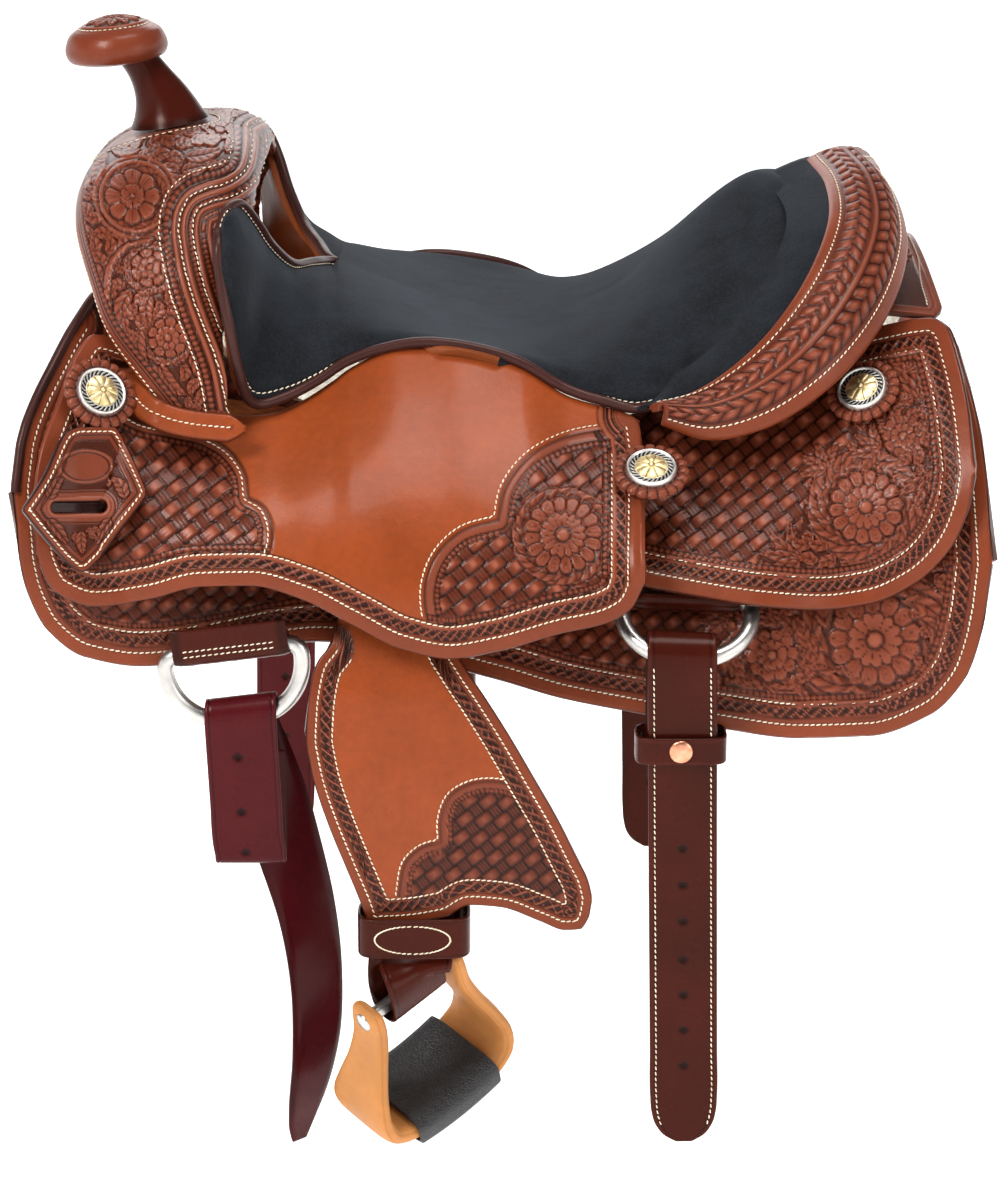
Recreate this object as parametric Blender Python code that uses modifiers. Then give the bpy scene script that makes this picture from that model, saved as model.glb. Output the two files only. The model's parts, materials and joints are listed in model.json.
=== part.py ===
"""Western reining saddle: wooden tree, leather skirts, jockeys and seat, horn, fenders with stirrups, rigging rings and straps.

Frame: X runs from the horn (-X) to the cantle (+X), Y across, with the near (left) side at -Y, and Z up.
The origin is on the centre line, at the crown of the arch that lies on the horse's back.

Leather panels are drawn on a side elevation and laid on the saddle's curved sides.
The elevation is an oblique sheet: one drawing unit is 0.74 mm at the middle plane, seen from 17 degrees above.
"""
import math

import bmesh
import bpy
import numpy as np
from mathutils import Matrix, Vector

# ---------------------------------------------------------------- driving dimensions (metres)
UNIT = 0.00074  # one drawing unit at the saddle's middle plane
SHEET_TILT = math.radians(17)  # slope from which the side sheet is drawn
SHEET_DIST = 2.6  # distance of the drawing's eye point
SHEET_U, SHEET_V = 500.0, 600.0  # middle of the sheet
CROWN = 0.162  # sheet middle to the crown of the arch

SKIRT_T = 0.006
FLEECE_T = 0.010
JOCKEY_T = 0.005
FENDER_T = 0.0045
SEAT_T = 0.009
STRAP_T = 0.0038
BARREL_A = 0.262  # half width of the horse's barrel under the skirts
BARREL_H = 0.27
DEE_WIRE_R = 0.0055
LATIGO_W = 0.048
BILLET_W = 0.046
CONCHO_R = 0.0165
ROSETTE_R = 0.0245
STIRRUP_W = 0.128
STIRRUP_H = 0.118
STIRRUP_YAW, STIRRUP_ROLL, STIRRUP_PITCH = math.radians(38), math.radians(22), math.radians(16)

for ob in list(bpy.data.objects):
    bpy.data.objects.remove(ob, do_unlink=True)

PARTS = bpy.data.collections.new("reining_saddle")
bpy.context.scene.collection.children.link(PARTS)


# ---------------------------------------------------------------- materials
def material(name, colour, rough, metal=0.0):
    mat = bpy.data.materials.get(name) or bpy.data.materials.new(name)
    mat.use_nodes = True
    bsdf = mat.node_tree.nodes["Principled BSDF"]
    bsdf.inputs["Base Color"].default_value = (*colour, 1)
    bsdf.inputs["Roughness"].default_value = rough
    bsdf.inputs["Metallic"].default_value = metal
    mat.diffuse_color = (*colour, 1)
    return mat


LEATHER = ("tooled_leather", (0.23, 0.055, 0.03), 0.45)
SMOOTH = ("smooth_leather", (0.36, 0.12, 0.045), 0.5)
SUEDE = ("black_suede", (0.012, 0.013, 0.015), 0.9)
DARK = ("dark_leather", (0.16, 0.035, 0.022), 0.4)
BURGUNDY = ("latigo_leather", (0.11, 0.018, 0.025), 0.42)
WOOD = ("tree_wood", (0.45, 0.3, 0.16), 0.7)
WOOL = ("wool_fleece", (0.72, 0.66, 0.55), 0.95)
STEEL = ("stainless_steel", (0.55, 0.54, 0.52), 0.3, 1.0)
SILVER = ("silver_and_brass", (0.75, 0.66, 0.48), 0.28, 1.0)
RAWHIDE = ("pale_leather", (0.62, 0.36, 0.16), 0.55)
RUBBER = ("tread_rubber", (0.012, 0.012, 0.014), 0.6)


# ---------------------------------------------------------------- helpers
def link(name, mesh, mat, smooth=True):
    ob = bpy.data.objects.new(name, mesh)
    PARTS.objects.link(ob)
    mesh.materials.append(material(*mat))
    if smooth:
        mesh.shade_smooth()
        mesh.set_sharp_from_angle(angle=math.radians(35))
    return ob


def smoothstep(a, b, x):
    t = np.clip((x - a) / (b - a), 0, 1)
    return t * t * (3 - 2 * t)


def sheet_point(u, v, y):
    """World x and z of the point drawn at (u, v) on the side sheet that lies at distance y from the middle plane."""
    a = (np.asarray(u, float) - SHEET_U) * UNIT
    b = (SHEET_V - np.asarray(v, float)) * UNIT
    s, c = math.sin(SHEET_TILT), math.cos(SHEET_TILT)
    zt = (b * (SHEET_DIST + y * c) - SHEET_DIST * y * s) / (SHEET_DIST * c + b * s)
    x = a * (SHEET_DIST + y * c - zt * s) / SHEET_DIST
    return x, zt - CROWN


def ridge(x):
    """Height of the back line under the saddle: it rises to the withers in front and a little behind."""
    return np.where(x < 0, 0.13 * (x / 0.3) ** 2, 0.085 * (x / 0.3) ** 2)


def barrel(x, z, off=0.0):
    """Half width of the horse's barrel at the outer face of the skirts, or of the layer that lies off above it."""
    h = np.clip((ridge(x) + 0.02 + off - z) / (BARREL_H + off), 0.004, 1.0)
    return (BARREL_A + off) * np.sqrt(1 - (1 - h) ** 2)


def curve(points, at, column=1):
    """Smooth curve through control points (first column rising), read at the values given."""
    p = np.array(points, float)
    xs, ys = p[:, 0], p[:, column]
    at = np.asarray(at, float)
    m = np.zeros(len(xs))
    d = np.diff(ys) / np.diff(xs)
    m[1:-1] = np.where(d[:-1] * d[1:] > 0, 2 * d[:-1] * d[1:] / (d[:-1] + d[1:] + 1e-12), 0)
    m[0], m[-1] = d[0], d[-1]
    i = np.clip(np.searchsorted(xs, at) - 1, 0, len(xs) - 2)
    h = xs[i + 1] - xs[i]
    t = np.clip((at - xs[i]) / h, 0, 1)
    return (2 * t**3 - 3 * t**2 + 1) * ys[i] + (t**3 - 2 * t**2 + t) * h * m[i] + (-2 * t**3 + 3 * t**2) * ys[i + 1] + (t**3 - t**2) * h * m[i + 1]


def columns(u0, u1, n):
    """Column positions, closer together towards both ends, where the outlines are round."""
    t = np.linspace(0, 1, n)
    t = 0.45 * t + 0.55 * (1 - np.cos(np.pi * t)) / 2
    return u0 + (u1 - u0) * t


def lay(u, v, half_width):
    """World points of drawn points on the near side, at half_width(u, v, x, z)."""
    y = np.full(np.shape(u), 0.2)
    for _ in range(14):
        x, z = sheet_point(u, v, -y)
        y = half_width(u, v, x, z)
    return np.stack([x, -y, z], -1)


def grid_mesh(name, pts, flip=False):
    """Open sheet from a grid of points [rows][columns]."""
    rows, cols = pts.shape[:2]
    mesh = bpy.data.meshes.new(name)
    bm = bmesh.new()
    vs = [[bm.verts.new(pts[i, j]) for j in range(cols)] for i in range(rows)]
    for i in range(rows - 1):
        for j in range(cols - 1):
            quad = [vs[i][j], vs[i + 1][j], vs[i + 1][j + 1], vs[i][j + 1]]
            bm.faces.new(quad[::-1] if flip else quad)
    bm.to_mesh(mesh)
    bm.free()
    return mesh


def thicken(ob, t, outward=-1.0, even=True):
    mod = ob.modifiers.new("thickness", "SOLIDIFY")
    mod.thickness = t
    mod.offset = outward
    mod.use_even_offset = even
    return mod


def both_sides(name, pts, t, mat, near=True, far=True):
    """A panel on the near side and its mirror image on the far side. Its drawn face is its outer face."""
    out = []
    if near:
        ob = link(name + "_left", grid_mesh(name + "_left", pts), mat)
        thicken(ob, t)
        out.append(ob)
    if far:
        ob = link(name + "_right", grid_mesh(name + "_right", pts * np.array([1, -1, 1]), flip=True), mat)
        thicken(ob, t)
        out.append(ob)
    return out


def panel_points(top, bottom, n_cols, n_rows, half_width, least=5.0, u_range=None):
    """Grid on the near side between a drawn top edge and a drawn bottom edge."""
    u0, u1 = u_range or (top[0][0], top[-1][0])
    us = columns(u0, u1, n_cols)
    vt, vb = curve(top, us), curve(bottom, us)
    mid = (vt + vb) / 2
    vb = np.maximum(vb, mid + least / 2)
    vt = np.minimum(vt, mid - least / 2)
    t = np.linspace(0, 1, n_rows)[:, None]
    u = np.broadcast_to(us, (n_rows, n_cols))
    v = vt + (vb - vt) * t
    return lay(u, v, half_width)


def ribbon(name, path, across, half_w, thick, mat, closed=False):
    """Flat strap along a path. across[i] is the direction of its width at each point; half_w may vary along it."""
    path = [Vector(p) for p in path]
    n = len(path)
    half_w = [half_w] * n if np.isscalar(half_w) else list(half_w)
    bm = bmesh.new()
    rings = []
    for i, p in enumerate(path):
        a = path[i - 1] if (i or closed) else p
        b = path[(i + 1) % n] if (i < n - 1 or closed) else p
        tangent = (b - a).normalized()
        w = Vector(across[i])
        w = (w - tangent * w.dot(tangent)).normalized()
        nrm = tangent.cross(w).normalized()
        h, k = w * half_w[i], nrm * (thick / 2)
        rings.append([bm.verts.new(q) for q in (p - h - k, p + h - k, p + h + k, p - h + k)])
    last = n if closed else n - 1
    for i in range(last):
        r, s = rings[i], rings[(i + 1) % n]
        for j in range(4):
            bm.faces.new([r[j], s[j], s[(j + 1) % 4], r[(j + 1) % 4]])
    if not closed:
        bm.faces.new(rings[0])
        bm.faces.new(rings[-1][::-1])
    bmesh.ops.recalc_face_normals(bm, faces=bm.faces)
    mesh = bpy.data.meshes.new(name)
    bm.to_mesh(mesh)
    bm.free()
    return link(name, mesh, mat)


def turned(name, profile, steps, mat, matrix, closed=True):
    """Turned piece: profile of (radius, height), from the top down its outer side."""
    bm = bmesh.new()
    vs = [bm.verts.new((r, 0, h)) for r, h in profile]
    for i in range(len(vs) - 1):
        bm.edges.new((vs[i], vs[i + 1]))
    if closed:
        bm.edges.new((vs[-1], vs[0]))
    mesh = bpy.data.meshes.new(name)
    bm.to_mesh(mesh)
    bm.free()
    ob = link(name, mesh, mat, smooth=False)
    ob.matrix_world = matrix
    mod = ob.modifiers.new("turn", "SCREW")
    mod.axis = "Z"
    mod.steps = mod.render_steps = steps
    mod.use_merge_vertices = True
    mod.merge_threshold = 0.0001
    mod.use_smooth_shade = True
    return ob


def wire(name, points, radius, mat, cyclic=False, resolution=2):
    data = bpy.data.curves.new(name, "CURVE")
    data.dimensions = "3D"
    data.bevel_depth = radius
    data.bevel_resolution = resolution
    data.use_fill_caps = True
    spline = data.splines.new("POLY")
    spline.points.add(len(points) - 1)
    for p, q in zip(spline.points, points):
        p.co = (*q, 1)
    spline.use_cyclic_u = cyclic
    data.materials.append(material(*mat))
    ob = bpy.data.objects.new(name, data)
    PARTS.objects.link(ob)
    return ob


def mirrored(ob, name):
    """Mirror image of a finished piece on the other side of the middle plane."""
    mesh = bpy.data.meshes.new_from_object(ob.evaluated_get(bpy.context.evaluated_depsgraph_get()))
    bm = bmesh.new()
    bm.from_mesh(mesh)
    bmesh.ops.transform(bm, matrix=Matrix.Scale(-1, 4, (0, 1, 0)) @ ob.matrix_world, verts=bm.verts)
    bmesh.ops.remove_doubles(bm, verts=bm.verts, dist=0.00001)
    bmesh.ops.reverse_faces(bm, faces=bm.faces)
    bm.to_mesh(mesh)
    bm.free()
    mesh.name = name
    copy = bpy.data.objects.new(name, mesh)
    PARTS.objects.link(copy)
    return copy


def set_origin(ob, point):
    """Moves the piece's origin to its joint without moving the piece."""
    shift = Matrix.Translation(Vector(point))
    ob.data.transform(shift.inverted() @ ob.matrix_world)
    ob.matrix_world = shift


def frame_at(origin, z_axis, x_hint=(1, 0, 0)):
    z = Vector(z_axis).normalized()
    x = Vector(x_hint)
    x = (x - z * x.dot(z)).normalized()
    y = z.cross(x)
    m = Matrix((x, y, z)).transposed().to_4x4()
    m.translation = Vector(origin)
    return m


# ---------------------------------------------------------------- skirts and their fleece
SKIRT_TOP = [(14, 488), (20, 440), (32, 405), (50, 368), (75, 322), (100, 292), (150, 300), (220, 350), (300, 400), (400, 425), (520, 430), (640, 410), (760, 370), (860, 335), (930, 316), (948, 325), (966, 375), (980, 430), (988, 490), (992, 560)]
SKIRT_BOTTOM = [(14, 492), (17, 545), (26, 590), (48, 632), (85, 658), (140, 667), (200, 661), (320, 641), (420, 660), (500, 680), (560, 698), (640, 714), (720, 729), (800, 739), (870, 737), (930, 716), (965, 680), (984, 625), (992, 564)]


def skirt_half(offset):
    return lambda u, v, x, z: barrel(x, z, offset)


skirt = panel_points(SKIRT_TOP, SKIRT_BOTTOM, 32, 10, skirt_half(0.0))
both_sides("skirt", skirt, SKIRT_T, LEATHER)
fleece = panel_points(SKIRT_TOP, SKIRT_BOTTOM, 24, 10, skirt_half(-SKIRT_T - 0.0055), u_range=(36, 970))
both_sides("skirt_fleece", fleece, FLEECE_T, WOOL)

# ---------------------------------------------------------------- rear jockeys
REAR_TOP = [(560, 455), (600, 430), (700, 388), (800, 348), (880, 324), (930, 316), (946, 325), (958, 360), (968, 405), (975, 465)]
REAR_BOTTOM = [(560, 560), (600, 575), (645, 586), (700, 597), (760, 606), (820, 610), (870, 604), (915, 584), (950, 550), (970, 505), (975, 475)]
def rear_half(u, v, x, z):
    """Lies on the skirt, and rises over the tree bar under its upper edge."""
    behind = 0.0142 * smoothstep(600, 486, v)
    over_ring = 0.0142 + 0.0092 * smoothstep(480, 585, v)
    side_of_ring = smoothstep(870, 750, u)
    return barrel(x, z, 0.0082 + behind + (over_ring - behind) * side_of_ring)


rear = panel_points(REAR_TOP, REAR_BOTTOM, 22, 10, rear_half)
both_sides("rear_jockey", rear, JOCKEY_T, LEATHER)

# ---------------------------------------------------------------- side jockeys, which reach from the seat seam down over the fender
SIDE_TOP = [(33, 505), (37, 465), (48, 428), (60, 398), (75, 355), (95, 333), (120, 338), (150, 372), (180, 398), (215, 412), (247, 414), (275, 411), (300, 400), (330, 381), (352, 365), (400, 346), (450, 346), (520, 365), (570, 395), (625, 411), (640, 420), (645, 450)]
SIDE_BOTTOM = [(33, 515), (37, 558), (56, 593), (95, 607), (150, 600), (200, 588), (250, 587), (300, 600), (350, 625), (400, 650), (450, 660), (500, 652), (560, 635), (605, 625), (632, 610), (645, 585)]
SIDE_Y_TOP = [(33, 0.235), (60, 0.200), (100, 0.160), (150, 0.165), (200, 0.176), (250, 0.178), (300, 0.166), (350, 0.154), (400, 0.149), (450, 0.15), (520, 0.156), (570, 0.163), (625, 0.172), (645, 0.180)]
SIDE_Y_BOTTOM = [(33, 0.262), (60, 0.266), (100, 0.269), (200, 0.275), (300, 0.283), (400, 0.287), (500, 0.287), (600, 0.285), (645, 0.283)]


def side_half(u, v, x, z):
    vt, vb = curve(SIDE_TOP, u), curve(SIDE_BOTTOM, u)
    t = np.clip((v - vt) / np.maximum(vb - vt, 8), 0, 1)
    y = curve(SIDE_Y_TOP, u) + (curve(SIDE_Y_BOTTOM, u) - curve(SIDE_Y_TOP, u)) * np.sin(t * np.pi / 2)
    return np.maximum(y, barrel(x, z, 0.0210))


side = panel_points(SIDE_TOP, SIDE_BOTTOM, 32, 9, side_half)
both_sides("side_jockey", side, JOCKEY_T, SMOOTH)

# ---------------------------------------------------------------- seat: two ears beside a hand hole, a narrow waist and a dished back
# Each station: drawn edge (u, v) with its half width, then drawn inner point (u, v) with its half width (0 on the centre line).
SEAT_STATIONS = [
    ((218, 262), 0.195, (219, 233), 0.178),
    ((223, 296), 0.202, (226, 212), 0.166),
    ((230, 330), 0.204, (240, 204), 0.148),
    ((238, 368), 0.199, (256, 222), 0.130),
    ((252, 403), 0.187, (272, 246), 0.106),
    ((285, 397), 0.176, (293, 264), 0.075),
    ((318, 380), 0.166, (314, 262), 0.035),
    ((345, 362), 0.158, (336, 262), 0.0),
    ((380, 349), 0.153, (370, 276), 0.0),
    ((425, 342), 0.152, (420, 294), 0.0),
    ((475, 348), 0.154, (470, 306), 0.0),
    ((520, 362), 0.158, (520, 311), 0.0),
    ((565, 388), 0.164, (570, 306), 0.0),
    ((605, 401), 0.170, (618, 287), 0.0),
    ((642, 408), 0.176, (660, 250), 0.0),
    ((689, 386), 0.184, (695, 209), 0.0),
    ((736, 352), 0.181, (726, 183), 0.0),
    ((777, 306), 0.161, (745, 173), 0.0),
    ((804, 262), 0.130, (757, 172), 0.0),
    ((814, 228), 0.094, (770, 176), 0.0),
    ((809, 204), 0.052, (785, 182), 0.0),
]


def seat_grid(stations, inset, rows=9):
    pts = []
    for k, (edge, ye, mid, ym) in enumerate(stations):
        ex, ez = sheet_point(edge[0], edge[1], -ye)
        mx, mz = sheet_point(mid[0], mid[1], -ym)
        dish = float(smoothstep(600, 720, edge[0]))
        row = []
        for t in np.linspace(0, 1, rows):
            a = t * math.pi / 2
            round_y, round_z = ym + (ye - ym) * math.cos(a), ez + (mz - ez) * math.sin(a)
            flat_y, flat_z = ye + (ym - ye) * t, ez + (mz - ez) * (0.5 - 0.5 * math.cos(t * math.pi)) ** 0.85
            back = 0.022 * math.sin(t * math.pi) * dish
            y = round_y * (1 - dish) + flat_y * dish
            z = round_z * (1 - dish) + flat_z * dish
            x = ex + (mx - ex) * t + back
            row.append((x, -max(y, 0.0), z - inset))
        pts.append(row)
    return np.array(pts)


seat_pts = seat_grid(SEAT_STATIONS, 0.0)
seat_mesh = grid_mesh("seat_pad", seat_pts, flip=True)
seat = link("seat_pad", seat_mesh, SUEDE)
mod = seat.modifiers.new("mirror", "MIRROR")
mod.use_axis = (False, True, False)
mod.use_clip = False
mod.merge_threshold = 0.0001
thicken(seat, SEAT_T, even=False)

# ---------------------------------------------------------------- cantle: tooled binding around the dish, and the cover of its back
RIM_IN = [(641, 412, 0.182), (690, 396, 0.191), (740, 361, 0.189), (784, 311, 0.170), (811, 263, 0.138), (823, 224, 0.101), (818, 191, 0.052), (800, 168, 0.0)]
RIM_OUT = [(652, 434, 0.192), (700, 449, 0.207), (758, 438, 0.212), (815, 405, 0.204), (862, 358, 0.178), (893, 304, 0.138), (903, 254, 0.094), (889, 204, 0.046), (862, 176, 0.0)]


def along(points, n):
    """n drawn points with half width, evenly spaced along a smooth curve through the control points."""
    p = np.array(points, float)
    q = p * np.array([1, 1, 1000])
    s = np.r_[0, np.cumsum(np.linalg.norm(np.diff(q, axis=0), axis=1))]
    at = np.linspace(0, s[-1], n)
    table = np.column_stack([s, p])
    return np.stack([curve(table, at, 1 + i) for i in range(3)], -1)


def world(drawn):
    x, z = sheet_point(drawn[:, 0], drawn[:, 1], -drawn[:, 2])
    return np.stack([x, -drawn[:, 2], z], -1)


N_RIM = 15
rim_in, rim_out = world(along(RIM_IN, N_RIM)), world(along(RIM_OUT, N_RIM))
rows = []
for t in np.linspace(0, 1, 6):
    base = rim_in + (rim_out - rim_in) * t
    lift = math.sin(t * math.pi) * 0.012
    outward = np.array([0.45, 0, 0.75]) + np.stack([np.zeros(N_RIM), base[:, 1] * 3, np.zeros(N_RIM)], -1)
    outward /= np.linalg.norm(outward, axis=1)[:, None]
    rows.append(base + outward * (lift + 0.0095))
binding_pts = np.array(rows)
binding = link("cantle_binding", grid_mesh("cantle_binding", binding_pts), LEATHER)
mod = binding.modifiers.new("mirror", "MIRROR")
mod.use_axis = (False, True, False)
mod.use_clip = False
mod.merge_threshold = 0.0001
thicken(binding, 0.0055)

# back cover: hangs from under the binding's outer edge down to the rear jockeys
rows = []
for k, t in enumerate(np.linspace(0, 1, 4)):
    base = rim_out.copy()
    low_x = base[:, 0] * 0.82 + 0.045
    low_y = base[:, 1] * (0.9 - 0.14 * t)
    floor_z = np.maximum(ridge(low_x) + 0.034 - 0.35 * np.abs(low_y) ** 1.35, 0.1135 - 0.0265 * (np.abs(low_y) / 0.134) ** 1.7)
    top = base * np.array([1, 0.95, 1]) + np.array([-0.006, 0, -0.006])
    low = np.stack([low_x, low_y, np.minimum(floor_z, top[:, 2] - 0.012)], -1)
    rows.append(top + (low - top) * t)
back_pts = np.array(rows)[:, 9:]
back = link("cantle_back", grid_mesh("cantle_back", back_pts), LEATHER)
mod = back.modifiers.new("mirror", "MIRROR")
mod.use_axis = (False, True, False)
mod.use_clip = False
mod.merge_threshold = 0.0001
thicken(back, 0.004)

# rear housing: the leather behind the cantle that crosses the back
HOUSING = [(0.245, 0.300), (0.262, 0.312), (0.285, 0.322)]
n = 15
ys = np.linspace(-0.134, 0.134, n)
rows = []
for t in np.linspace(0, 1, 4):
    x0 = 0.2690 + 0.0170 * np.minimum(np.abs(ys) / 0.09, 1) ** 2
    x1 = 0.299 + 0.005 * (np.abs(ys) / 0.118) ** 1.5 - 0.008 * np.clip((np.abs(ys) - 0.117) / 0.017, 0, 1) ** 2
    x = x0 + (x1 - x0) * t
    z = 0.109 - 0.0265 * (np.abs(ys) / 0.134) ** 1.7 - (x - 0.297) * 0.1
    rows.append(np.stack([x, ys, z], -1))
housing_pts = np.array(rows)
housing = link("rear_housing", grid_mesh("rear_housing", housing_pts), LEATHER)
thicken(housing, 0.0045)

# ---------------------------------------------------------------- tree: bars, fork, cantle board
bar_top = [(150, 392), (220, 398), (320, 412), (460, 425), (600, 422), (740, 395), (860, 352)]
bar_bottom = [(150, 462), (220, 474), (320, 482), (460, 486), (600, 486), (740, 476), (860, 440)]
bars_all = panel_points(bar_top, bar_bottom, 20, 5, skirt_half(0.0145))
bar_obs = both_sides("tree_bar", bars_all, 0.0115, WOOD)

# fork and swell: an oval section swept over the arch from one side to the other
SWELL = [  # half width y, height z, middle x, half length along x, half depth across the section
    (0.2165, 0.026, -0.1985, 0.0175, 0.005),
    (0.2060, 0.050, -0.2095, 0.0270, 0.008),
    (0.1850, 0.082, -0.2240, 0.0385, 0.018),
    (0.1620, 0.111, -0.2290, 0.0465, 0.026),
    (0.129, 0.137, -0.2285, 0.0585, 0.031),
    (0.088, 0.153, -0.2300, 0.0625, 0.032),
    (0.045, 0.159, -0.2300, 0.0640, 0.032),
    (0.000, 0.160, -0.2300, 0.0640, 0.032),
]


def swell_stations():
    near = [(-y, z, x, a, b) for y, z, x, a, b in SWELL]
    far = [(y, z, x, a, b) for y, z, x, a, b in SWELL[:-1]][::-1]
    return near + far


def swell_grid(grow, a0, a1, n_round, stations):
    pts = []
    for i, (y, z, x, a, b) in enumerate(stations):
        p, q = stations[max(i - 1, 0)], stations[min(i + 1, len(stations) - 1)]
        t = Vector((0, q[0] - p[0], q[1] - p[1])).normalized()
        out = Vector((0, -t.z, t.y))
        row = []
        for k in range(n_round):
            g = math.radians(a0 + (a1 - a0) * k / (n_round - 1))
            ca, sa = math.cos(g), math.sin(g)
            sx = math.copysign(abs(ca) ** 0.9, ca) * (a + grow)
            so = math.copysign(abs(sa) ** 0.9, sa) * (b + grow)
            row.append(Vector((x + sx, y, z)) + out * (so + 0.16 * sx * abs(out.z)))
        pts.append(row)
    return np.array(pts)


stations = swell_stations()
cover_pts = swell_grid(0.0, 0, 180, 11, stations)
cover = link("swell_cover", grid_mesh("swell_cover", cover_pts), LEATHER)
thicken(cover, 0.0045)

core_stations = stations[3:-3]
core_pts = swell_grid(-0.0075, 0, 360 * 13 / 14, 14, core_stations)
bm = bmesh.new()
rings = [[bm.verts.new(p) for p in row] for row in core_pts]
for r, s in zip(rings, rings[1:]):
    for j in range(14):
        bm.faces.new([r[j], r[(j + 1) % 14], s[(j + 1) % 14], s[j]])
bm.faces.new(rings[0][::-1])
bm.faces.new(rings[-1])
bmesh.ops.recalc_face_normals(bm, faces=bm.faces)
mesh = bpy.data.meshes.new("tree_fork")
bm.to_mesh(mesh)
bm.free()
fork = link("tree_fork", mesh, WOOD)

# cantle board inside the dished back, between the seat and the back cover
rows = []
for t in np.linspace(0.12, 0.80, 4):
    i0 = rim_in + (rim_out - rim_in) * 0.55
    low = np.stack([i0[:, 0] * 0.80 + 0.020, i0[:, 1] * 0.80, np.minimum(ridge(i0[:, 0] * 0.8) + 0.045, i0[:, 2] - 0.015)], -1)
    top = i0 + np.array([0.0, 0, -0.014])
    rows.append(top + (low - top) * t)
board_pts = np.array(rows)[:, 5:]
board = link("tree_cantle", grid_mesh("tree_cantle", board_pts), WOOD)
mod = board.modifiers.new("mirror", "MIRROR")
mod.use_axis = (False, True, False)
mod.use_clip = False
mod.merge_threshold = 0.0001
thicken(board, 0.008)

# ---------------------------------------------------------------- horn
HORN_BASE = Vector((float(sheet_point(170, 128, 0)[0]), 0, 0.1932))
HORN_TOP = Vector((float(sheet_point(140, 50, 0)[0]), 0, float(sheet_point(140, 50, 0)[1])))
CAP_AT = HORN_TOP + Vector((-0.0170, 0, 0.0085))


def horn_ring(t, radius, steps):
    """Ring of the leaning neck: level on the swell at t = 0, square to the cap at t = 1."""
    low, high = HORN_BASE, CAP_AT + Vector((0.0165, 0, -0.0150))
    c = low + (high - low) * t + Vector((0.0045 * math.sin(math.pi * t), 0, 0))
    tilt = math.radians(-9.1 + 3.4 * t)
    out = []
    for k in range(steps):
        g = 2 * math.pi * k / steps
        out.append(c + Vector((math.cos(g) * radius * math.cos(tilt), math.sin(g) * radius, -math.cos(g) * radius * math.sin(tilt))))
    return out


def neck_solid(name, rings, steps, mat, ring_loop):
    bm = bmesh.new()
    vs = [[bm.verts.new(p) for p in horn_ring(t, radius, steps)] for t, radius in rings]
    pairs = list(zip(vs, vs[1:] + ([vs[0]] if ring_loop else [])))
    for r, s in pairs[: len(vs) if ring_loop else len(vs) - 1]:
        for j in range(steps):
            bm.faces.new([r[j], r[(j + 1) % steps], s[(j + 1) % steps], s[j]])
    if not ring_loop:
        bm.faces.new(vs[0][::-1])
        bm.faces.new(vs[-1])
    bmesh.ops.recalc_face_normals(bm, faces=bm.faces)
    mesh = bpy.data.meshes.new(name)
    bm.to_mesh(mesh)
    bm.free()
    return link(name, mesh, mat)


neck_solid("horn_core", [(0.01, 0.0100), (0.35, 0.0100), (0.7, 0.0100), (0.99, 0.0100)], 14, STEEL, False)
neck_solid(
    "horn_wrap",
    [(0.0, 0.0112), (0.0, 0.0270), (0.12, 0.0246), (0.30, 0.0214), (0.55, 0.0178), (0.80, 0.0150), (1.0, 0.0142), (1.0, 0.0112), (0.7, 0.0112), (0.35, 0.0112)],
    20,
    DARK,
    True,
)
cap_axis = Vector((-0.10, 0, 1)).normalized()
cap_m = frame_at(CAP_AT, cap_axis)
turned(
    "horn_cap",
    [(0.0, 0.0150), (0.0165, 0.0128), (0.0270, 0.0082), (0.0340, 0.0005), (0.0360, -0.0065), (0.0335, -0.0130), (0.0240, -0.0165), (0.0, -0.0165)],
    22,
    LEATHER,
    cap_m,
    closed=False,
)


# ---------------------------------------------------------------- conchos and rosettes on the near side, then the far side
def surface_frame(u, v, half_width, lift):
    """Frame on a panel at a drawn point: its Z points straight out of the leather."""
    d = 6.0
    p = lay(np.array([u]), np.array([v]), half_width)[0]
    pu = lay(np.array([u + d]), np.array([v]), half_width)[0] - lay(np.array([u - d]), np.array([v]), half_width)[0]
    pv = lay(np.array([u]), np.array([v + d]), half_width)[0] - lay(np.array([u]), np.array([v - d]), half_width)[0]
    nrm = Vector(pu).cross(Vector(pv)).normalized()
    if nrm.y > 0:
        nrm = -nrm
    return frame_at(Vector(p) + nrm * lift, nrm), nrm


def disc(name, radius, thick, mat, matrix, dome=0.0, steps=24):
    prof = [(0.0, thick + dome), (radius * 0.55, thick + dome * 0.75), (radius * 0.92, thick + dome * 0.15), (radius, thick * 0.5), (radius, 0.0), (0.0, 0.0)]
    return turned(name, prof, steps, mat, matrix, closed=False)


ORNAMENTS = [
    ("front", 95, 399, side_half, 0.0035),
    ("middle", 651, 476, lambda u, v, x, z: np.maximum(side_half(np.minimum(u, 640), v, x, z), barrel(x, z) + 0.016), 0.0030),
    ("rear", 865, 395, rear_half, 0.0035),
]
CONCHO_FRAMES = {}
for place, u, v, half, lift in ORNAMENTS:
    m, nrm = surface_frame(u, v, half, lift)
    if place == "front":
        m = Matrix.Translation(nrm * 0.0045) @ m
    CONCHO_FRAMES[place] = m
    ros = disc("rosette_%s_left" % place, ROSETTE_R, 0.003, LEATHER, m, steps=20)
    con = disc("concho_%s_left" % place, CONCHO_R, 0.0022, SILVER, m @ Matrix.Translation((0, 0, 0.0036)), dome=0.0035, steps=20)
    mirrored(ros, "rosette_%s_right" % place)
    mirrored(con, "concho_%s_right" % place)

# latigo keeper: slotted kite of leather held by the front concho
KEEPER_TOP = [(22, 508), (40, 480), (66, 432), (80, 428), (112, 428), (122, 440), (134, 465), (146, 492)]
KEEPER_BOTTOM = [(22, 512), (40, 535), (66, 563), (82, 572), (96, 562), (122, 530), (140, 506), (146, 498)]


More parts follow.
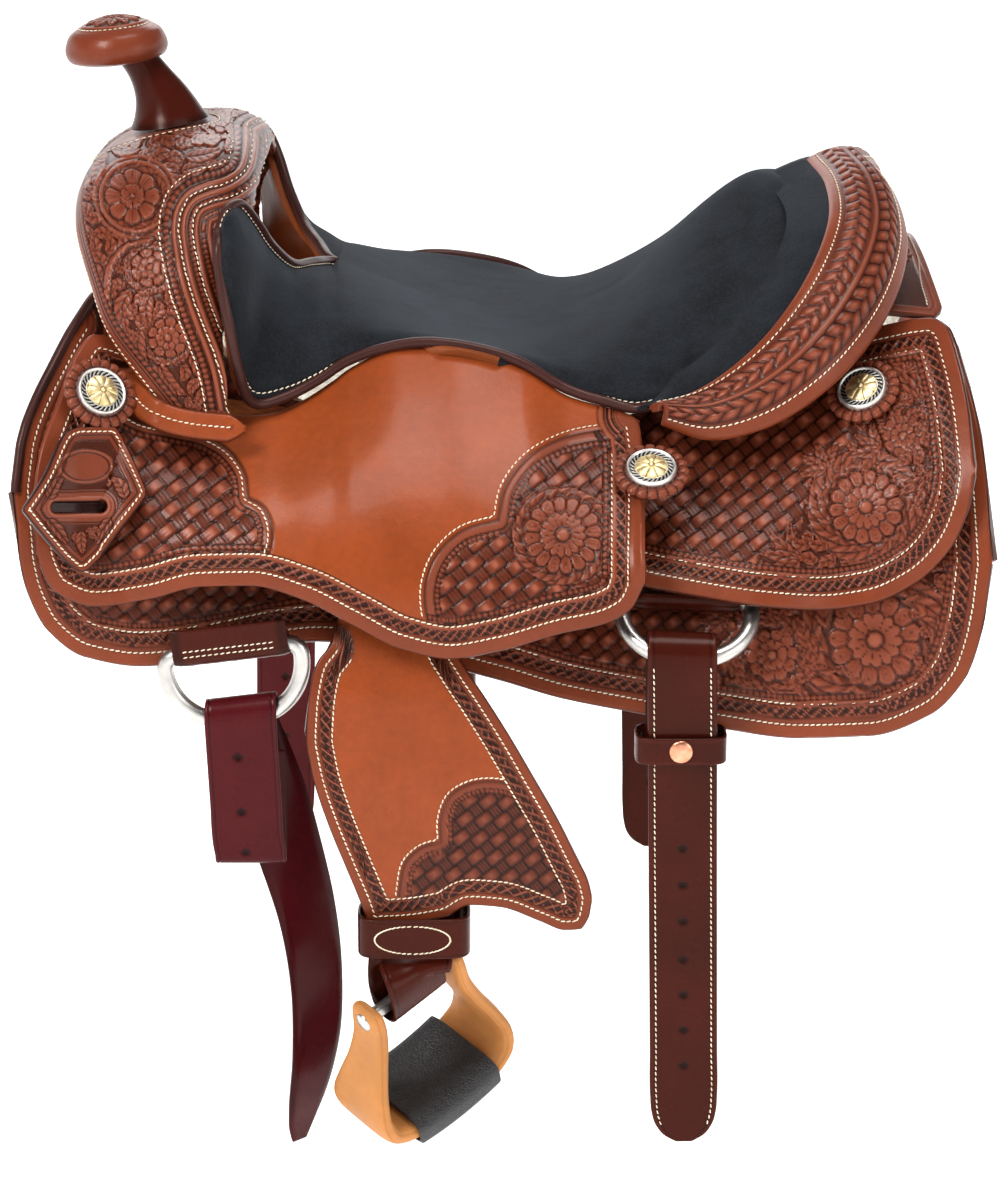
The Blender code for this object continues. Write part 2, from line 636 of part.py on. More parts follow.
def keeper_half(u, v, x, z):
    return side_half(np.maximum(u, 38), v, x, z) + 0.0095 + 0.010 * smoothstep(80, 20, u)


keeper = panel_points(KEEPER_TOP, KEEPER_BOTTOM, 12, 5, keeper_half, least=3.0)
keeper_ob = link("latigo_keeper_left", grid_mesh("latigo_keeper_left", keeper), DARK)
thicken(keeper_ob, 0.004)
slot_m, slot_n = surface_frame(78, 508, keeper_half, 0.0)
keeper_mesh = bpy.data.meshes.new_from_object(keeper_ob.evaluated_get(bpy.context.evaluated_depsgraph_get()))
keeper_ob.modifiers.clear()
keeper_ob.data = keeper_mesh
CUTTERS = bpy.data.collections.new("cutters")
bpy.context.scene.collection.children.link(CUTTERS)
bpy.ops.mesh.primitive_cube_add(size=1)
slot = bpy.context.active_object
slot.name = "keeper_slot_cutter"
for c in list(slot.users_collection):
    c.objects.unlink(slot)
CUTTERS.objects.link(slot)
slot.data.transform(Matrix.Diagonal((0.046, 0.0085, 0.05, 1)))
slot.matrix_world = slot_m
slot.hide_render = True
slot.display_type = "WIRE"
mod = keeper_ob.modifiers.new("slot", "BOOLEAN")
mod.operation = "DIFFERENCE"
mod.solver = "EXACT"
mod.object = slot
bpy.context.view_layer.update()
mirrored(keeper_ob, "latigo_keeper_right")

# ---------------------------------------------------------------- fenders and stirrup leathers
FENDER_TOP = [(306, 732), (308, 700), (316, 664), (332, 640), (345, 565), (352, 500), (400, 494), (430, 500), (440, 560), (450, 640), (462, 662), (487, 700), (512, 740), (535, 780), (558, 820), (578, 860), (588, 880), (592, 896)]
FENDER_BOTTOM = [(306, 745), (313, 780), (326, 820), (343, 862), (360, 902), (370, 926), (400, 925), (445, 918), (470, 906), (500, 908), (540, 922), (565, 931), (580, 930), (589, 918), (592, 903)]
FENDER_Y = [(-0.50, 0.300), (-0.42, 0.297), (-0.30, 0.289), (-0.20, 0.282), (-0.15, 0.272), (-0.10, 0.2500), (-0.05, 0.211), (0.0, 0.173), (0.05, 0.136)]


def fender_half(offset):
    return lambda u, v, x, z: curve(FENDER_Y, z) + offset


fender = panel_points(FENDER_TOP, FENDER_BOTTOM, 26, 13, fender_half(FENDER_T))
FENDER_PIVOT = Vector((-0.078, -0.190, 0.002))
fender_obs = both_sides("fender", fender, FENDER_T, SMOOTH)
for ob, s in zip(fender_obs, (1, -1)):
    set_origin(ob, (FENDER_PIVOT.x, FENDER_PIVOT.y * s, FENDER_PIVOT.z))

# stirrup frame: axes of the hanging stirrup
across = Vector((math.cos(STIRRUP_YAW) * math.cos(STIRRUP_ROLL), math.sin(STIRRUP_YAW) * math.cos(STIRRUP_ROLL), math.sin(STIRRUP_ROLL)))
up0 = (Vector((0, 0, 1)) - across * across.z).normalized()
foot0 = across.cross(up0)  # towards the viewer's side of the tread
up = (up0 * math.cos(STIRRUP_PITCH) + foot0 * math.sin(STIRRUP_PITCH)).normalized()
foot = across.cross(up).normalized()
bx, bz = sheet_point(409, 987.5, -0.292)
STIRRUP_SIZE = 0.95
BOLT = Vector((float(bx), -0.292, float(bz)))


def stirrup_point(a, f, h):
    return BOLT + across * a * STIRRUP_SIZE + foot * f + up * h * STIRRUP_SIZE


# bell of the stirrup: its half section from the bolt eye, out, down and along the tread
BELL = [  # across, height below the bolt, half depth along the foot, half thickness
    (-0.0380, 0.0100, 0.0125, 0.0050),
    (-0.0380, 0.0000, 0.0145, 0.0055),
    (-0.0395, -0.0180, 0.0150, 0.0058),
    (-0.0460, -0.0400, 0.0180, 0.0056),
    (-0.0545, -0.0620, 0.0240, 0.0056),
    (-0.0585, -0.0800, 0.0290, 0.0060),
    (-0.0550, -0.0940, 0.0310, 0.0070),
    (-0.0440, -0.1015, 0.0320, 0.0075),
    (-0.0220, -0.1050, 0.0320, 0.0078),
    (0.0000, -0.1060, 0.0320, 0.0078),
]
bell = BELL + [(-a, h, f, t) for a, h, f, t in BELL[:-1]][::-1]
bm = bmesh.new()
rings = []
for i, (a, h, f, t) in enumerate(bell):
    p, q = bell[max(i - 1, 0)], bell[min(i + 1, len(bell) - 1)]
    tan = Vector((q[0] - p[0], q[1] - p[1])).normalized()
    nx, nh = -tan.y, tan.x
    ring = []
    for df, dt in ((-0.8, -1), (0.8, -1), (1, -0.5), (1, 0.5), (0.8, 1), (-0.8, 1), (-1, 0.5), (-1, -0.5)):
        ring.append(bm.verts.new(stirrup_point(a + nx * dt * t, df * f, h + nh * dt * t)))
    rings.append(ring)
for r, s in zip(rings, rings[1:]):
    for j in range(8):
        bm.faces.new([r[j], s[j], s[(j + 1) % 8], r[(j + 1) % 8]])
bm.faces.new(rings[0])
bm.faces.new(rings[-1][::-1])
bmesh.ops.recalc_face_normals(bm, faces=bm.faces)
mesh = bpy.data.meshes.new("stirrup_left")
bm.to_mesh(mesh)
bm.free()
stirrup = link("stirrup_left", mesh, RAWHIDE)

# bolt with its roller: between the two arms, under the loop of the stirrup leather
bolt = turned("stirrup_bolt_left", [(0.0, 0.0305), (0.0048, 0.0305), (0.0048, -0.0305), (0.0, -0.0305)], 12, STEEL, frame_at(BOLT, across), closed=False)

# tread pad: a sleeve wrapped around the bottom bar
bm = bmesh.new()
inner, outer = [], []
for i, a in enumerate(np.linspace(-0.039, 0.039, 7)):
    h = -0.1060 + 2.3 * (abs(a) ** 2)
    r_out, r_in = [], []
    for df, dt in ((-0.85, -1), (0.85, -1), (1, -0.5), (1, 0.5), (0.85, 1), (-0.85, 1), (-1, 0.5), (-1, -0.5)):
        r_in.append(bm.verts.new(stirrup_point(a, df * 0.0335, h + dt * 0.0098)))
        r_out.append(bm.verts.new(stirrup_point(a, df * 0.0365, h + dt * 0.0125)))
    inner.append(r_in)
    outer.append(r_out)
for r, s in zip(outer, outer[1:]):
    for j in range(8):
        bm.faces.new([r[j], s[j], s[(j + 1) % 8], r[(j + 1) % 8]])
for r, s in zip(inner, inner[1:]):
    for j in range(8):
        bm.faces.new([r[(j + 1) % 8], s[(j + 1) % 8], s[j], r[j]])
for r, s in ((outer[0], inner[0]), (inner[-1], outer[-1])):
    for j in range(8):
        bm.faces.new([r[j], r[(j + 1) % 8], s[(j + 1) % 8], s[j]])
bmesh.ops.recalc_face_normals(bm, faces=bm.faces)
mesh = bpy.data.meshes.new("stirrup_tread_left")
bm.to_mesh(mesh)
bm.free()
tread = link("stirrup_tread_left", mesh, RUBBER)

# stirrup leather: from the tree down behind the fender, round the bolt and back up
inside = lambda z, d: -(float(curve(FENDER_Y, z)) - 0.0035 - d)
path, wide, hw = [], [], []
hobble_x, hobble_z = sheet_point(414, 933, -0.2935)
hobble_x, hobble_z = float(hobble_x), float(hobble_z)
for z in np.linspace(-0.045, hobble_z - 0.004, 9):
    f = (z + 0.015) / (hobble_z + 0.011)
    path.append(Vector((-0.078 + (hobble_x + 0.078) * f, inside(z, 0.0030), z)))
    wide.append(Vector((1, 0, 0)))
    hw.append(0.028)
eye = 0.0048 + 0.0040 + STRAP_T / 2
path.append(BOLT + foot * eye + up * 0.0165)
wide.append(across)
hw.append(0.0236)
for g in np.linspace(0, 180, 11):
    r = math.radians(g)
    path.append(BOLT + foot * (math.cos(r) * eye) - up * (math.sin(r) * eye))
    wide.append(across)
    hw.append(0.0236)
path.append(BOLT - foot * eye + up * 0.0165)
wide.append(across)
hw.append(0.0236)
for k, z in enumerate(np.linspace(hobble_z - 0.004, -0.10, 6)):
    f = (z + 0.015) / (hobble_z + 0.011)
    path.append(Vector((-0.078 + (hobble_x + 0.078) * f, inside(z, 0.0030 + STRAP_T + 0.0015), z)))
    wide.append(Vector((1, 0, 0)))
    hw.append(0.028)
leather = ribbon("stirrup_leather_left", path, wide, hw, STRAP_T, DARK)

# hobble strap: a band round the fender's neck and the stirrup leather
hob = []
for g in range(16):
    r = 2 * math.pi * g / 16
    cx, cy = math.cos(r), math.sin(r)
    hob.append(Vector((hobble_x + math.copysign(abs(cx) ** 0.35, cx) * 0.0362, -0.2855 + math.copysign(abs(cy) ** 0.5, cy) * 0.0190, hobble_z)))
hobble = ribbon("hobble_strap_left", hob, [Vector((0, 0, 1))] * 16, 0.0100, 0.0032, DARK, closed=True)

bpy.context.view_layer.update()
for ob in (stirrup, bolt, tread, leather, hobble):
    mirrored(ob, ob.name.replace("_left", "_right"))
bpy.context.view_layer.update()


# ---------------------------------------------------------------- rigging rings, their keepers and the straps on them
def dee_points(bar_a, bar_b, drop, slope, bulge=1.0, n=15):
    """Closed D: a straight bar from a to b, and a round bow below it that lies along the slope."""
    a, b = Vector(bar_a), Vector(bar_b)
    mid, half = (a + b) / 2, (b - a) / 2
    down = Vector((0, -math.sin(slope), -math.cos(slope)))
    down = (down - half.normalized() * down.dot(half.normalized())).normalized()
    pts = []
    for k in range(n):
        r = math.pi * k / (n - 1)
        c, s = math.cos(r), math.sin(r)
        pts.append(mid - half * c * bulge + down * (math.copysign(abs(s) ** 0.82, s) * drop))
    inner = [mid + half * f for f in (0.93, 0.6, 0.2, -0.2, -0.6, -0.93)]
    lift = [p - down * 0.0055 for p in inner]
    return pts + lift, down


def keeper_loop(name, a, b, down, rise_in, rise_out, ring_down, width=0.84):
    """Leather wrapped round a ring's bar: the fold lies under the bar, and both ends go up against the skirt."""
    a, b = Vector(a), Vector(b)
    along_bar = (b - a).normalized()
    upw = -down
    r = DEE_WIRE_R + 0.0008 + 0.0012
    mid = (a + b) / 2 - ring_down * 0.0055
    inner = along_bar.cross(upw).normalized()
    inner = inner if inner.y > 0 else -inner
    path = [mid + inner * r + upw * rise_in]
    for g in np.linspace(0, 180, 9):
        t = math.radians(g)
        path.append(mid + inner * (math.cos(t) * r) - upw * (math.sin(t) * r))
    path.append(mid - inner * r + upw * rise_out)
    hw = (b - a).length / 2 * width
    return ribbon(name, path, [along_bar] * len(path), hw, 0.0024, DARK)


def bar_end(u, v, y):
    x, z = sheet_point(u, v, -y)
    return Vector((float(x), -y, float(z)))


FRONT_Y = 0.2655
fa, fb = bar_end(164, 664, FRONT_Y), bar_end(301, 648, FRONT_Y)
front_pts, front_down = dee_points(fa, fb, 0.046, 0.0)
front_dee = wire("front_dee_left", front_pts, DEE_WIRE_R, STEEL, cyclic=True)
front_keeper = keeper_loop("front_dee_keeper_left", fa, fb, front_down, 0.006, 0.018, front_down)

REAR_BAR_Y, REAR_SLOPE = 0.2414, math.radians(53)
ra, rb = bar_end(621, 603, REAR_BAR_Y), bar_end(752, 608, REAR_BAR_Y)
rear_pts, rear_down = dee_points(ra, rb, 0.045, REAR_SLOPE)
rear_dee = wire("rear_dee_left", rear_pts, DEE_WIRE_R, STEEL, cyclic=True)
rear_keeper = keeper_loop("rear_dee_keeper_left", ra, rb, Vector((0, -0.62, -0.785)), 0.002, 0.001, rear_down, 0.80)

# latigo: its tail comes up behind the ring, over the bow, down in front, folds back and ends behind the front run
front_bow = (fa + fb) / 2 + front_down * 0.046
rear_bow = (ra + rb) / 2 + rear_down * 0.045
REAR_Y = -rear_bow.y
r = DEE_WIRE_R + 0.0021 + STRAP_T / 2
cx = float(sheet_point(241, 700, -FRONT_Y)[0])


def sheet_z(v, y):
    return float(sheet_point(500, v, -y)[1])


tail, wide, hw = [], [], []
TAIL = [(1140, 299, 0.251, 52, 0.008), (1105, 306, 0.251, 52, 0.018), (1050, 316, 0.250, 50, 0.0235), (980, 317, 0.249, 46, 0.024), (910, 307, 0.249, 40, 0.024), (850, 290, 0.250, 30, 0.024), (800, 274, 0.2515, 20, 0.024), (760, 258, 0.253, 8, 0.024)]
for v, u, y, twist, w in TAIL:
    tail.append(bar_end(u, v, y))
    wide.append(Vector((math.cos(math.radians(twist)), math.sin(math.radians(twist)), 0)))
    hw.append(w)
for g in np.linspace(0, 180, 9):
    t = math.radians(g)
    tail.append(Vector((cx, front_bow.y + math.cos(t) * r, front_bow.z + 0.001 + math.sin(t) * (r + 0.006))))
    wide.append((fb - fa).normalized())
    hw.append(0.024)
front_y = front_bow.y - r
low_z = sheet_z(862, 0.27)
fold = 0.0075
for f in (0.3, 0.6, 0.9):
    tail.append(Vector((cx + 0.004 * f, front_y, front_bow.z + (low_z + fold - front_bow.z) * f)))
    wide.append(Vector((1, 0, 0)))
    hw.append(0.024)
for g in np.linspace(0, 170, 7):
    t = math.radians(g)
    tail.append(Vector((cx + 0.005, front_y + fold / 2 * (1 - math.cos(t)) , low_z + fold - math.sin(t) * fold * 0.8)))
    wide.append(Vector((1, 0, 0)))
    hw.append(0.024)
for z in (low_z + 0.03, low_z + 0.06, low_z + 0.080):
    tail.append(Vector((cx + 0.005, front_y + fold * 0.95, z)))
    wide.append(Vector((1, 0, 0)))
    hw.append(0.024)
latigo = ribbon("latigo_left", tail, wide, hw, STRAP_T * 0.8, BURGUNDY)


def hanging_billet(name, bow, bar, u_top, u_low, y, mat, width, tip_v, ease):
    """A doubled strap: up behind the ring, over its bow and down in front to a rounded tip."""
    rr = DEE_WIRE_R + 0.0021 + STRAP_T / 2 + ease
    xs = float(sheet_point(u_top, 640, -y)[0])
    xl = float(sheet_point(u_low, 1100, -y)[0])
    zl = sheet_z(tip_v, y)
    pts, wd, h = [], [], []
    z_short = bow.z - 0.085
    for z, dy in ((z_short, 0.008), (bow.z - 0.055, 0.007), (bow.z - 0.030, 0.003)):
        pts.append(Vector((xs, bow.y + ease + rr - dy * (ease > 0), z)))
        wd.append(Vector((1, 0, 0)))
        h.append(width / 2)
    for g in np.linspace(0, 180, 9):
        t = math.radians(g)
        pts.append(Vector((xs, bow.y + ease + math.cos(t) * rr, bow.z + 0.001 + math.sin(t) * (rr + 0.006 - ease))))
        wd.append(bar)
        h.append(width / 2)
    for f in (0.08, 0.2, 0.4, 0.6, 0.8, 0.93, 0.985, 1.0):
        z = bow.z + (zl - bow.z) * f
        pts.append(Vector((xs + (xl - xs) * f, bow.y + ease - rr + 0.004 * smoothstep(0.05, 0.4, f), z)))
        wd.append(Vector((1, 0, 0)))
        h.append(width / 2 * (1.0 if f < 0.9 else (0.86 if f < 0.97 else (0.5 if f < 0.99 else 0.22))))
    return ribbon(name, pts, wd, h, STRAP_T, mat)


rear_billet = hanging_billet("rear_billet_left", rear_bow, (rb - ra).normalized(), 682, 684, REAR_Y, DARK, BILLET_W, 1138, 0.0040)

# keeper band on the rear billet, below the ring
kz = sheet_z(743, 0.274)
kx = float(sheet_point(680, 733, -0.268)[0])
kb = []
for g in range(16):
    t = 2 * math.pi * g / 16
    c, s = math.cos(t), math.sin(t)
    kb.append(Vector((kx + math.copysign(abs(c) ** 0.4, c) * 0.0290, rear_bow.y + 0.0015 + math.copysign(abs(s) ** 0.45, s) * 0.0160, kz)))
billet_keeper = ribbon("billet_keeper_left", kb, [Vector((0, 0, 1))] * 16, 0.0095, 0.0030, DARK, closed=True)

bpy.context.view_layer.update()
for ob in (front_dee, front_keeper, rear_dee, rear_keeper, rear_billet, billet_keeper):
    mirrored(ob, ob.name.replace("_left", "_right"))

# off billet: the far side's plain strap on the front ring
off = hanging_billet("off_billet_right", front_bow, (fb - fa).normalized(), 238, 240, FRONT_Y, BURGUNDY, LATIGO_W, 1105, 0.0)
bpy.context.view_layer.update()
flip = mirrored(off, "off_billet_right_mirrored")
off_mesh = off.data
off.data = flip.data
bpy.data.objects.remove(flip)
bpy.context.view_layer.update()
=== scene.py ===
import json
import math

import bmesh
import bpy
import numpy as np
from mathutils import Matrix, Vector

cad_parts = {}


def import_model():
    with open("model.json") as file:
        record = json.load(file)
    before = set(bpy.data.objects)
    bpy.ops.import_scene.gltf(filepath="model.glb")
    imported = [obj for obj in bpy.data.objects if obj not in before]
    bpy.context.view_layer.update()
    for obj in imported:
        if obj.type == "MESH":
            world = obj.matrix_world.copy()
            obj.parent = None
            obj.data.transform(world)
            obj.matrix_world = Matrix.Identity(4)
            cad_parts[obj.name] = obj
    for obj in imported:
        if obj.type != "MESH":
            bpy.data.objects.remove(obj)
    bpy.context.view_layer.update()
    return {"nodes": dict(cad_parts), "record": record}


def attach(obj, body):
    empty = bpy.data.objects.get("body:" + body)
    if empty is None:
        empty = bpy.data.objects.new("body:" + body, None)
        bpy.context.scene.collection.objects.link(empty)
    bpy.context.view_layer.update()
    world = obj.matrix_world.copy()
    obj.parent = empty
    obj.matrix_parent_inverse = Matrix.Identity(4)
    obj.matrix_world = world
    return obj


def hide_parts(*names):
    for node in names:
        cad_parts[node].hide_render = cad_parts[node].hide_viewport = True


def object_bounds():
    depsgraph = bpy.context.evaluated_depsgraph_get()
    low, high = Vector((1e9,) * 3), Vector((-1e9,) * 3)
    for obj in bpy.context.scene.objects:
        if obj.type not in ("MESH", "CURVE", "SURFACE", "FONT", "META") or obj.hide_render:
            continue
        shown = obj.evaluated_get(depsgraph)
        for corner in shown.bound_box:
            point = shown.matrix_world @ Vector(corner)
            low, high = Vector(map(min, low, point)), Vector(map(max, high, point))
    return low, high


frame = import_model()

# ---------------------------------------------------------------- the drawing sheet, as in the part
UNIT = 0.00074
SHEET_TILT = math.radians(17)
SHEET_DIST = 2.6
SHEET_U, SHEET_V = 500.0, 600.0
CROWN = 0.162
BARREL_A, BARREL_H = 0.262, 0.27
DEE_WIRE_R = 0.0055
STRAP_T = 0.0038
SIN, COS = math.sin(SHEET_TILT), math.cos(SHEET_TILT)


def smoothstep(a, b, x):
    t = np.clip((x - a) / (b - a), 0, 1)
    return t * t * (3 - 2 * t)


def sheet_point(u, v, y):
    a = (np.asarray(u, float) - SHEET_U) * UNIT
    b = (SHEET_V - np.asarray(v, float)) * UNIT
    zt = (b * (SHEET_DIST + y * COS) - SHEET_DIST * y * SIN) / (SHEET_DIST * COS + b * SIN)
    x = a * (SHEET_DIST + y * COS - zt * SIN) / SHEET_DIST
    return x, zt - CROWN


def sheet_uv(p):
    """Where a world point is drawn on the near side's sheet; points of the far side are folded over."""
    x, y, z = p[..., 0], -np.abs(p[..., 1]), p[..., 2] + CROWN
    k = SHEET_DIST / (SHEET_DIST + y * COS - z * SIN)
    return SHEET_U + x * k / UNIT, SHEET_V - (z * COS + y * SIN) * k / UNIT


def ridge(x):
    return np.where(x < 0, 0.13 * (x / 0.3) ** 2, 0.085 * (x / 0.3) ** 2)


def barrel(x, z, off=0.0):
    h = np.clip((ridge(x) + 0.02 + off - z) / (BARREL_H + off), 0.004, 1.0)
    return (BARREL_A + off) * np.sqrt(1 - (1 - h) ** 2)


def curve(points, at, column=1):
    p = np.array(points, float)
    xs, ys = p[:, 0], p[:, column]
    at = np.asarray(at, float)
    m = np.zeros(len(xs))
    d = np.diff(ys) / np.diff(xs)
    m[1:-1] = np.where(d[:-1] * d[1:] > 0, 2 * d[:-1] * d[1:] / (d[:-1] + d[1:] + 1e-12), 0)
    m[0], m[-1] = d[0], d[-1]
    i = np.clip(np.searchsorted(xs, at) - 1, 0, len(xs) - 2)
    h = xs[i + 1] - xs[i]
    t = np.clip((at - xs[i]) / h, 0, 1)
    return (2 * t**3 - 3 * t**2 + 1) * ys[i] + (t**3 - 2 * t**2 + t) * h * m[i] + (-2 * t**3 + 3 * t**2) * ys[i + 1] + (t**3 - t**2) * h * m[i + 1]


def smooth_line(points, n):
    """n points along a smooth curve through the control points, of any number of columns."""
    p = np.array(points, float)
    s = np.r_[0, np.cumsum(np.linalg.norm(np.diff(p, axis=0), axis=1))]
    table = np.column_stack([s, p])
    at = np.linspace(0, s[-1], n)
    return np.stack([spline(table, at, 1 + i) for i in range(p.shape[1])], -1)


def spline(table, at, column):
    """Like curve, but it may overshoot a little, so that bends stay round."""
    xs, ys = table[:, 0], table[:, column]
    m = np.gradient(ys, xs) if len(xs) > 2 else np.full(len(xs), (ys[-1] - ys[0]) / max(xs[-1] - xs[0], 1e-9))
    i = np.clip(np.searchsorted(xs, at) - 1, 0, len(xs) - 2)
    h = xs[i + 1] - xs[i]
    t = np.clip((at - xs[i]) / h, 0, 1)
    return (2 * t**3 - 3 * t**2 + 1) * ys[i] + (t**3 - 2 * t**2 + t) * h * m[i] + (-2 * t**3 + 3 * t**2) * ys[i + 1] + (t**3 - t**2) * h * m[i + 1]


def columns(u0, u1, n):
    t = np.linspace(0, 1, n)
    t = 0.80 * t + 0.20 * (1 - np.cos(np.pi * t)) / 2
    return u0 + (u1 - u0) * t


def lay(u, v, half_width):
    y = np.full(np.shape(u), 0.2)
    for _ in range(14):
        x, z = sheet_point(u, v, -y)
        y = half_width(u, v, x, z)
    return np.stack([x, -y, z], -1)


# ---------------------------------------------------------------- outlines, as in the part
SKIRT_TOP = [(14, 488), (20, 440), (32, 405), (50, 368), (75, 322), (100, 292), (150, 300), (220, 350), (300, 400), (400, 425), (520, 430), (640, 410), (760, 370), (860, 335), (930, 316), (948, 325), (966, 375), (980, 430), (988, 490), (992, 560)]
SKIRT_BOTTOM = [(14, 492), (17, 545), (26, 590), (48, 632), (85, 658), (140, 667), (200, 661), (320, 641), (420, 660), (500, 680), (560, 698), (640, 714), (720, 729), (800, 739), (870, 737), (930, 716), (965, 680), (984, 625), (992, 564)]
REAR_TOP = [(560, 455), (600, 430), (700, 388), (800, 348), (880, 324), (930, 316), (946, 325), (958, 360), (968, 405), (975, 465)]
REAR_BOTTOM = [(560, 560), (600, 575), (645, 586), (700, 597), (760, 606), (820, 610), (870, 604), (915, 584), (950, 550), (970, 505), (975, 475)]
SIDE_TOP = [(33, 505), (37, 465), (48, 428), (60, 398), (75, 355), (95, 333), (120, 338), (150, 372), (180, 398), (215, 412), (247, 414), (275, 411), (300, 400), (330, 381), (352, 365), (400, 346), (450, 346), (520, 365), (570, 395), (625, 411), (640, 420), (645, 450)]
SIDE_BOTTOM = [(33, 515), (37, 558), (56, 593), (95, 607), (150, 600), (200, 588), (250, 587), (300, 600), (350, 625), (400, 650), (450, 660), (500, 652), (560, 635), (605, 625), (632, 610), (645, 585)]
SIDE_Y_TOP = [(33, 0.235), (60, 0.200), (100, 0.160), (150, 0.165), (200, 0.176), (250, 0.178), (300, 0.166), (350, 0.154), (400, 0.149), (450, 0.15), (520, 0.156), (570, 0.163), (625, 0.172), (645, 0.180)]
SIDE_Y_BOTTOM = [(33, 0.262), (60, 0.266), (100, 0.269), (200, 0.275), (300, 0.283), (400, 0.287), (500, 0.287), (600, 0.285), (645, 0.283)]
FENDER_TOP = [(306, 732), (308, 700), (316, 664), (332, 640), (345, 565), (352, 500), (400, 494), (430, 500), (440, 560), (450, 640), (462, 662), (487, 700), (512, 740), (535, 780), (558, 820), (578, 860), (588, 880), (592, 896)]
FENDER_BOTTOM = [(306, 745), (313, 780), (326, 820), (343, 862), (360, 902), (370, 926), (400, 925), (445, 918), (470, 906), (500, 908), (540, 922), (565, 931), (580, 930), (589, 918), (592, 903)]
FENDER_Y = [(-0.50, 0.300), (-0.42, 0.297), (-0.30, 0.289), (-0.20, 0.282), (-0.15, 0.272), (-0.10, 0.2500), (-0.05, 0.211), (0.0, 0.173), (0.05, 0.136)]
KEEPER_TOP = [(22, 508), (40, 480), (66, 432), (80, 428), (112, 428), (122, 440), (134, 465), (146, 492)]
KEEPER_BOTTOM = [(22, 512), (40, 535), (66, 563), (82, 572), (96, 562), (122, 530), (140, 506), (146, 498)]


def skirt_half(offset):
    return lambda u, v, x, z: barrel(x, z, offset)


def rear_half(u, v, x, z):
    behind = 0.0142 * smoothstep(600, 486, v)
    over_ring = 0.0142 + 0.0092 * smoothstep(480, 585, v)
    side_of_ring = smoothstep(870, 750, u)
    return barrel(x, z, 0.0082 + behind + (over_ring - behind) * side_of_ring)


def side_half(u, v, x, z):
    vt, vb = curve(SIDE_TOP, u), curve(SIDE_BOTTOM, u)
    t = np.clip((v - vt) / np.maximum(vb - vt, 8), 0, 1)
    y = curve(SIDE_Y_TOP, u) + (curve(SIDE_Y_BOTTOM, u) - curve(SIDE_Y_TOP, u)) * np.sin(t * np.pi / 2)
    return np.maximum(y, barrel(x, z, 0.0210))


def fender_half(u, v, x, z):
    return curve(FENDER_Y, z) + 0.0045


def keeper_half(u, v, x, z):
    return side_half(np.maximum(u, 38), v, x, z) + 0.0095 + 0.010 * smoothstep(80, 20, u)


# ---------------------------------------------------------------- materials
def attribute(nodes, name):
    n = nodes.new("ShaderNodeAttribute")
    n.attribute_name = name
    return n.outputs["Fac"]


def mix(nodes, links, fac, a, b, kind="MIX"):
    n = nodes.new("ShaderNodeMix")
    n.data_type = "RGBA"
    n.blend_type = kind
    for value, socket in ((fac, n.inputs[0]), (a, n.inputs[6]), (b, n.inputs[7])):
        if hasattr(value, "is_linked"):
            links.new(value, socket)
        elif isinstance(value, (int, float)):
            socket.default_value = value
        else:
            socket.default_value = (*value, 1)
    return n.outputs[2]


def noise(nodes, links, scale, detail=4.0, rough=0.55, stretch=None):
    coord = nodes.new("ShaderNodeTexCoord")
    out = coord.outputs["Object"]
    if stretch:
        m = nodes.new("ShaderNodeMapping")
        m.inputs["Scale"].default_value = stretch
        links.new(out, m.inputs["Vector"])
        out = m.outputs["Vector"]
    n = nodes.new("ShaderNodeTexNoise")
    n.inputs["Scale"].default_value = scale
    n.inputs["Detail"].default_value = detail
    n.inputs["Roughness"].default_value = rough
    links.new(out, n.inputs["Vector"])
    return n.outputs["Fac"]


def ramp(nodes, links, value, stops):
    n = nodes.new("ShaderNodeValToRGB")
    while len(n.color_ramp.elements) < len(stops):
        n.color_ramp.elements.new(0.5)
    for e, (at, c) in zip(n.color_ramp.elements, stops):
        e.position = at
        e.color = (c, c, c, 1) if isinstance(c, (int, float)) else (*c, 1)
    links.new(value, n.inputs["Fac"])
    return n.outputs["Color"]


def bump(nodes, links, height, strength, distance, normal=None):
    n = nodes.new("ShaderNodeBump")
    n.inputs["Strength"].default_value = strength
    n.inputs["Distance"].default_value = distance
    links.new(height, n.inputs["Height"])
    if normal:
        links.new(normal, n.inputs["Normal"])
    return n.outputs["Normal"]


def new_material(name):
    mat = bpy.data.materials.new(name)
    mat.use_nodes = True
    nodes, links = mat.node_tree.nodes, mat.node_tree.links
    return mat, nodes, links, nodes["Principled BSDF"]


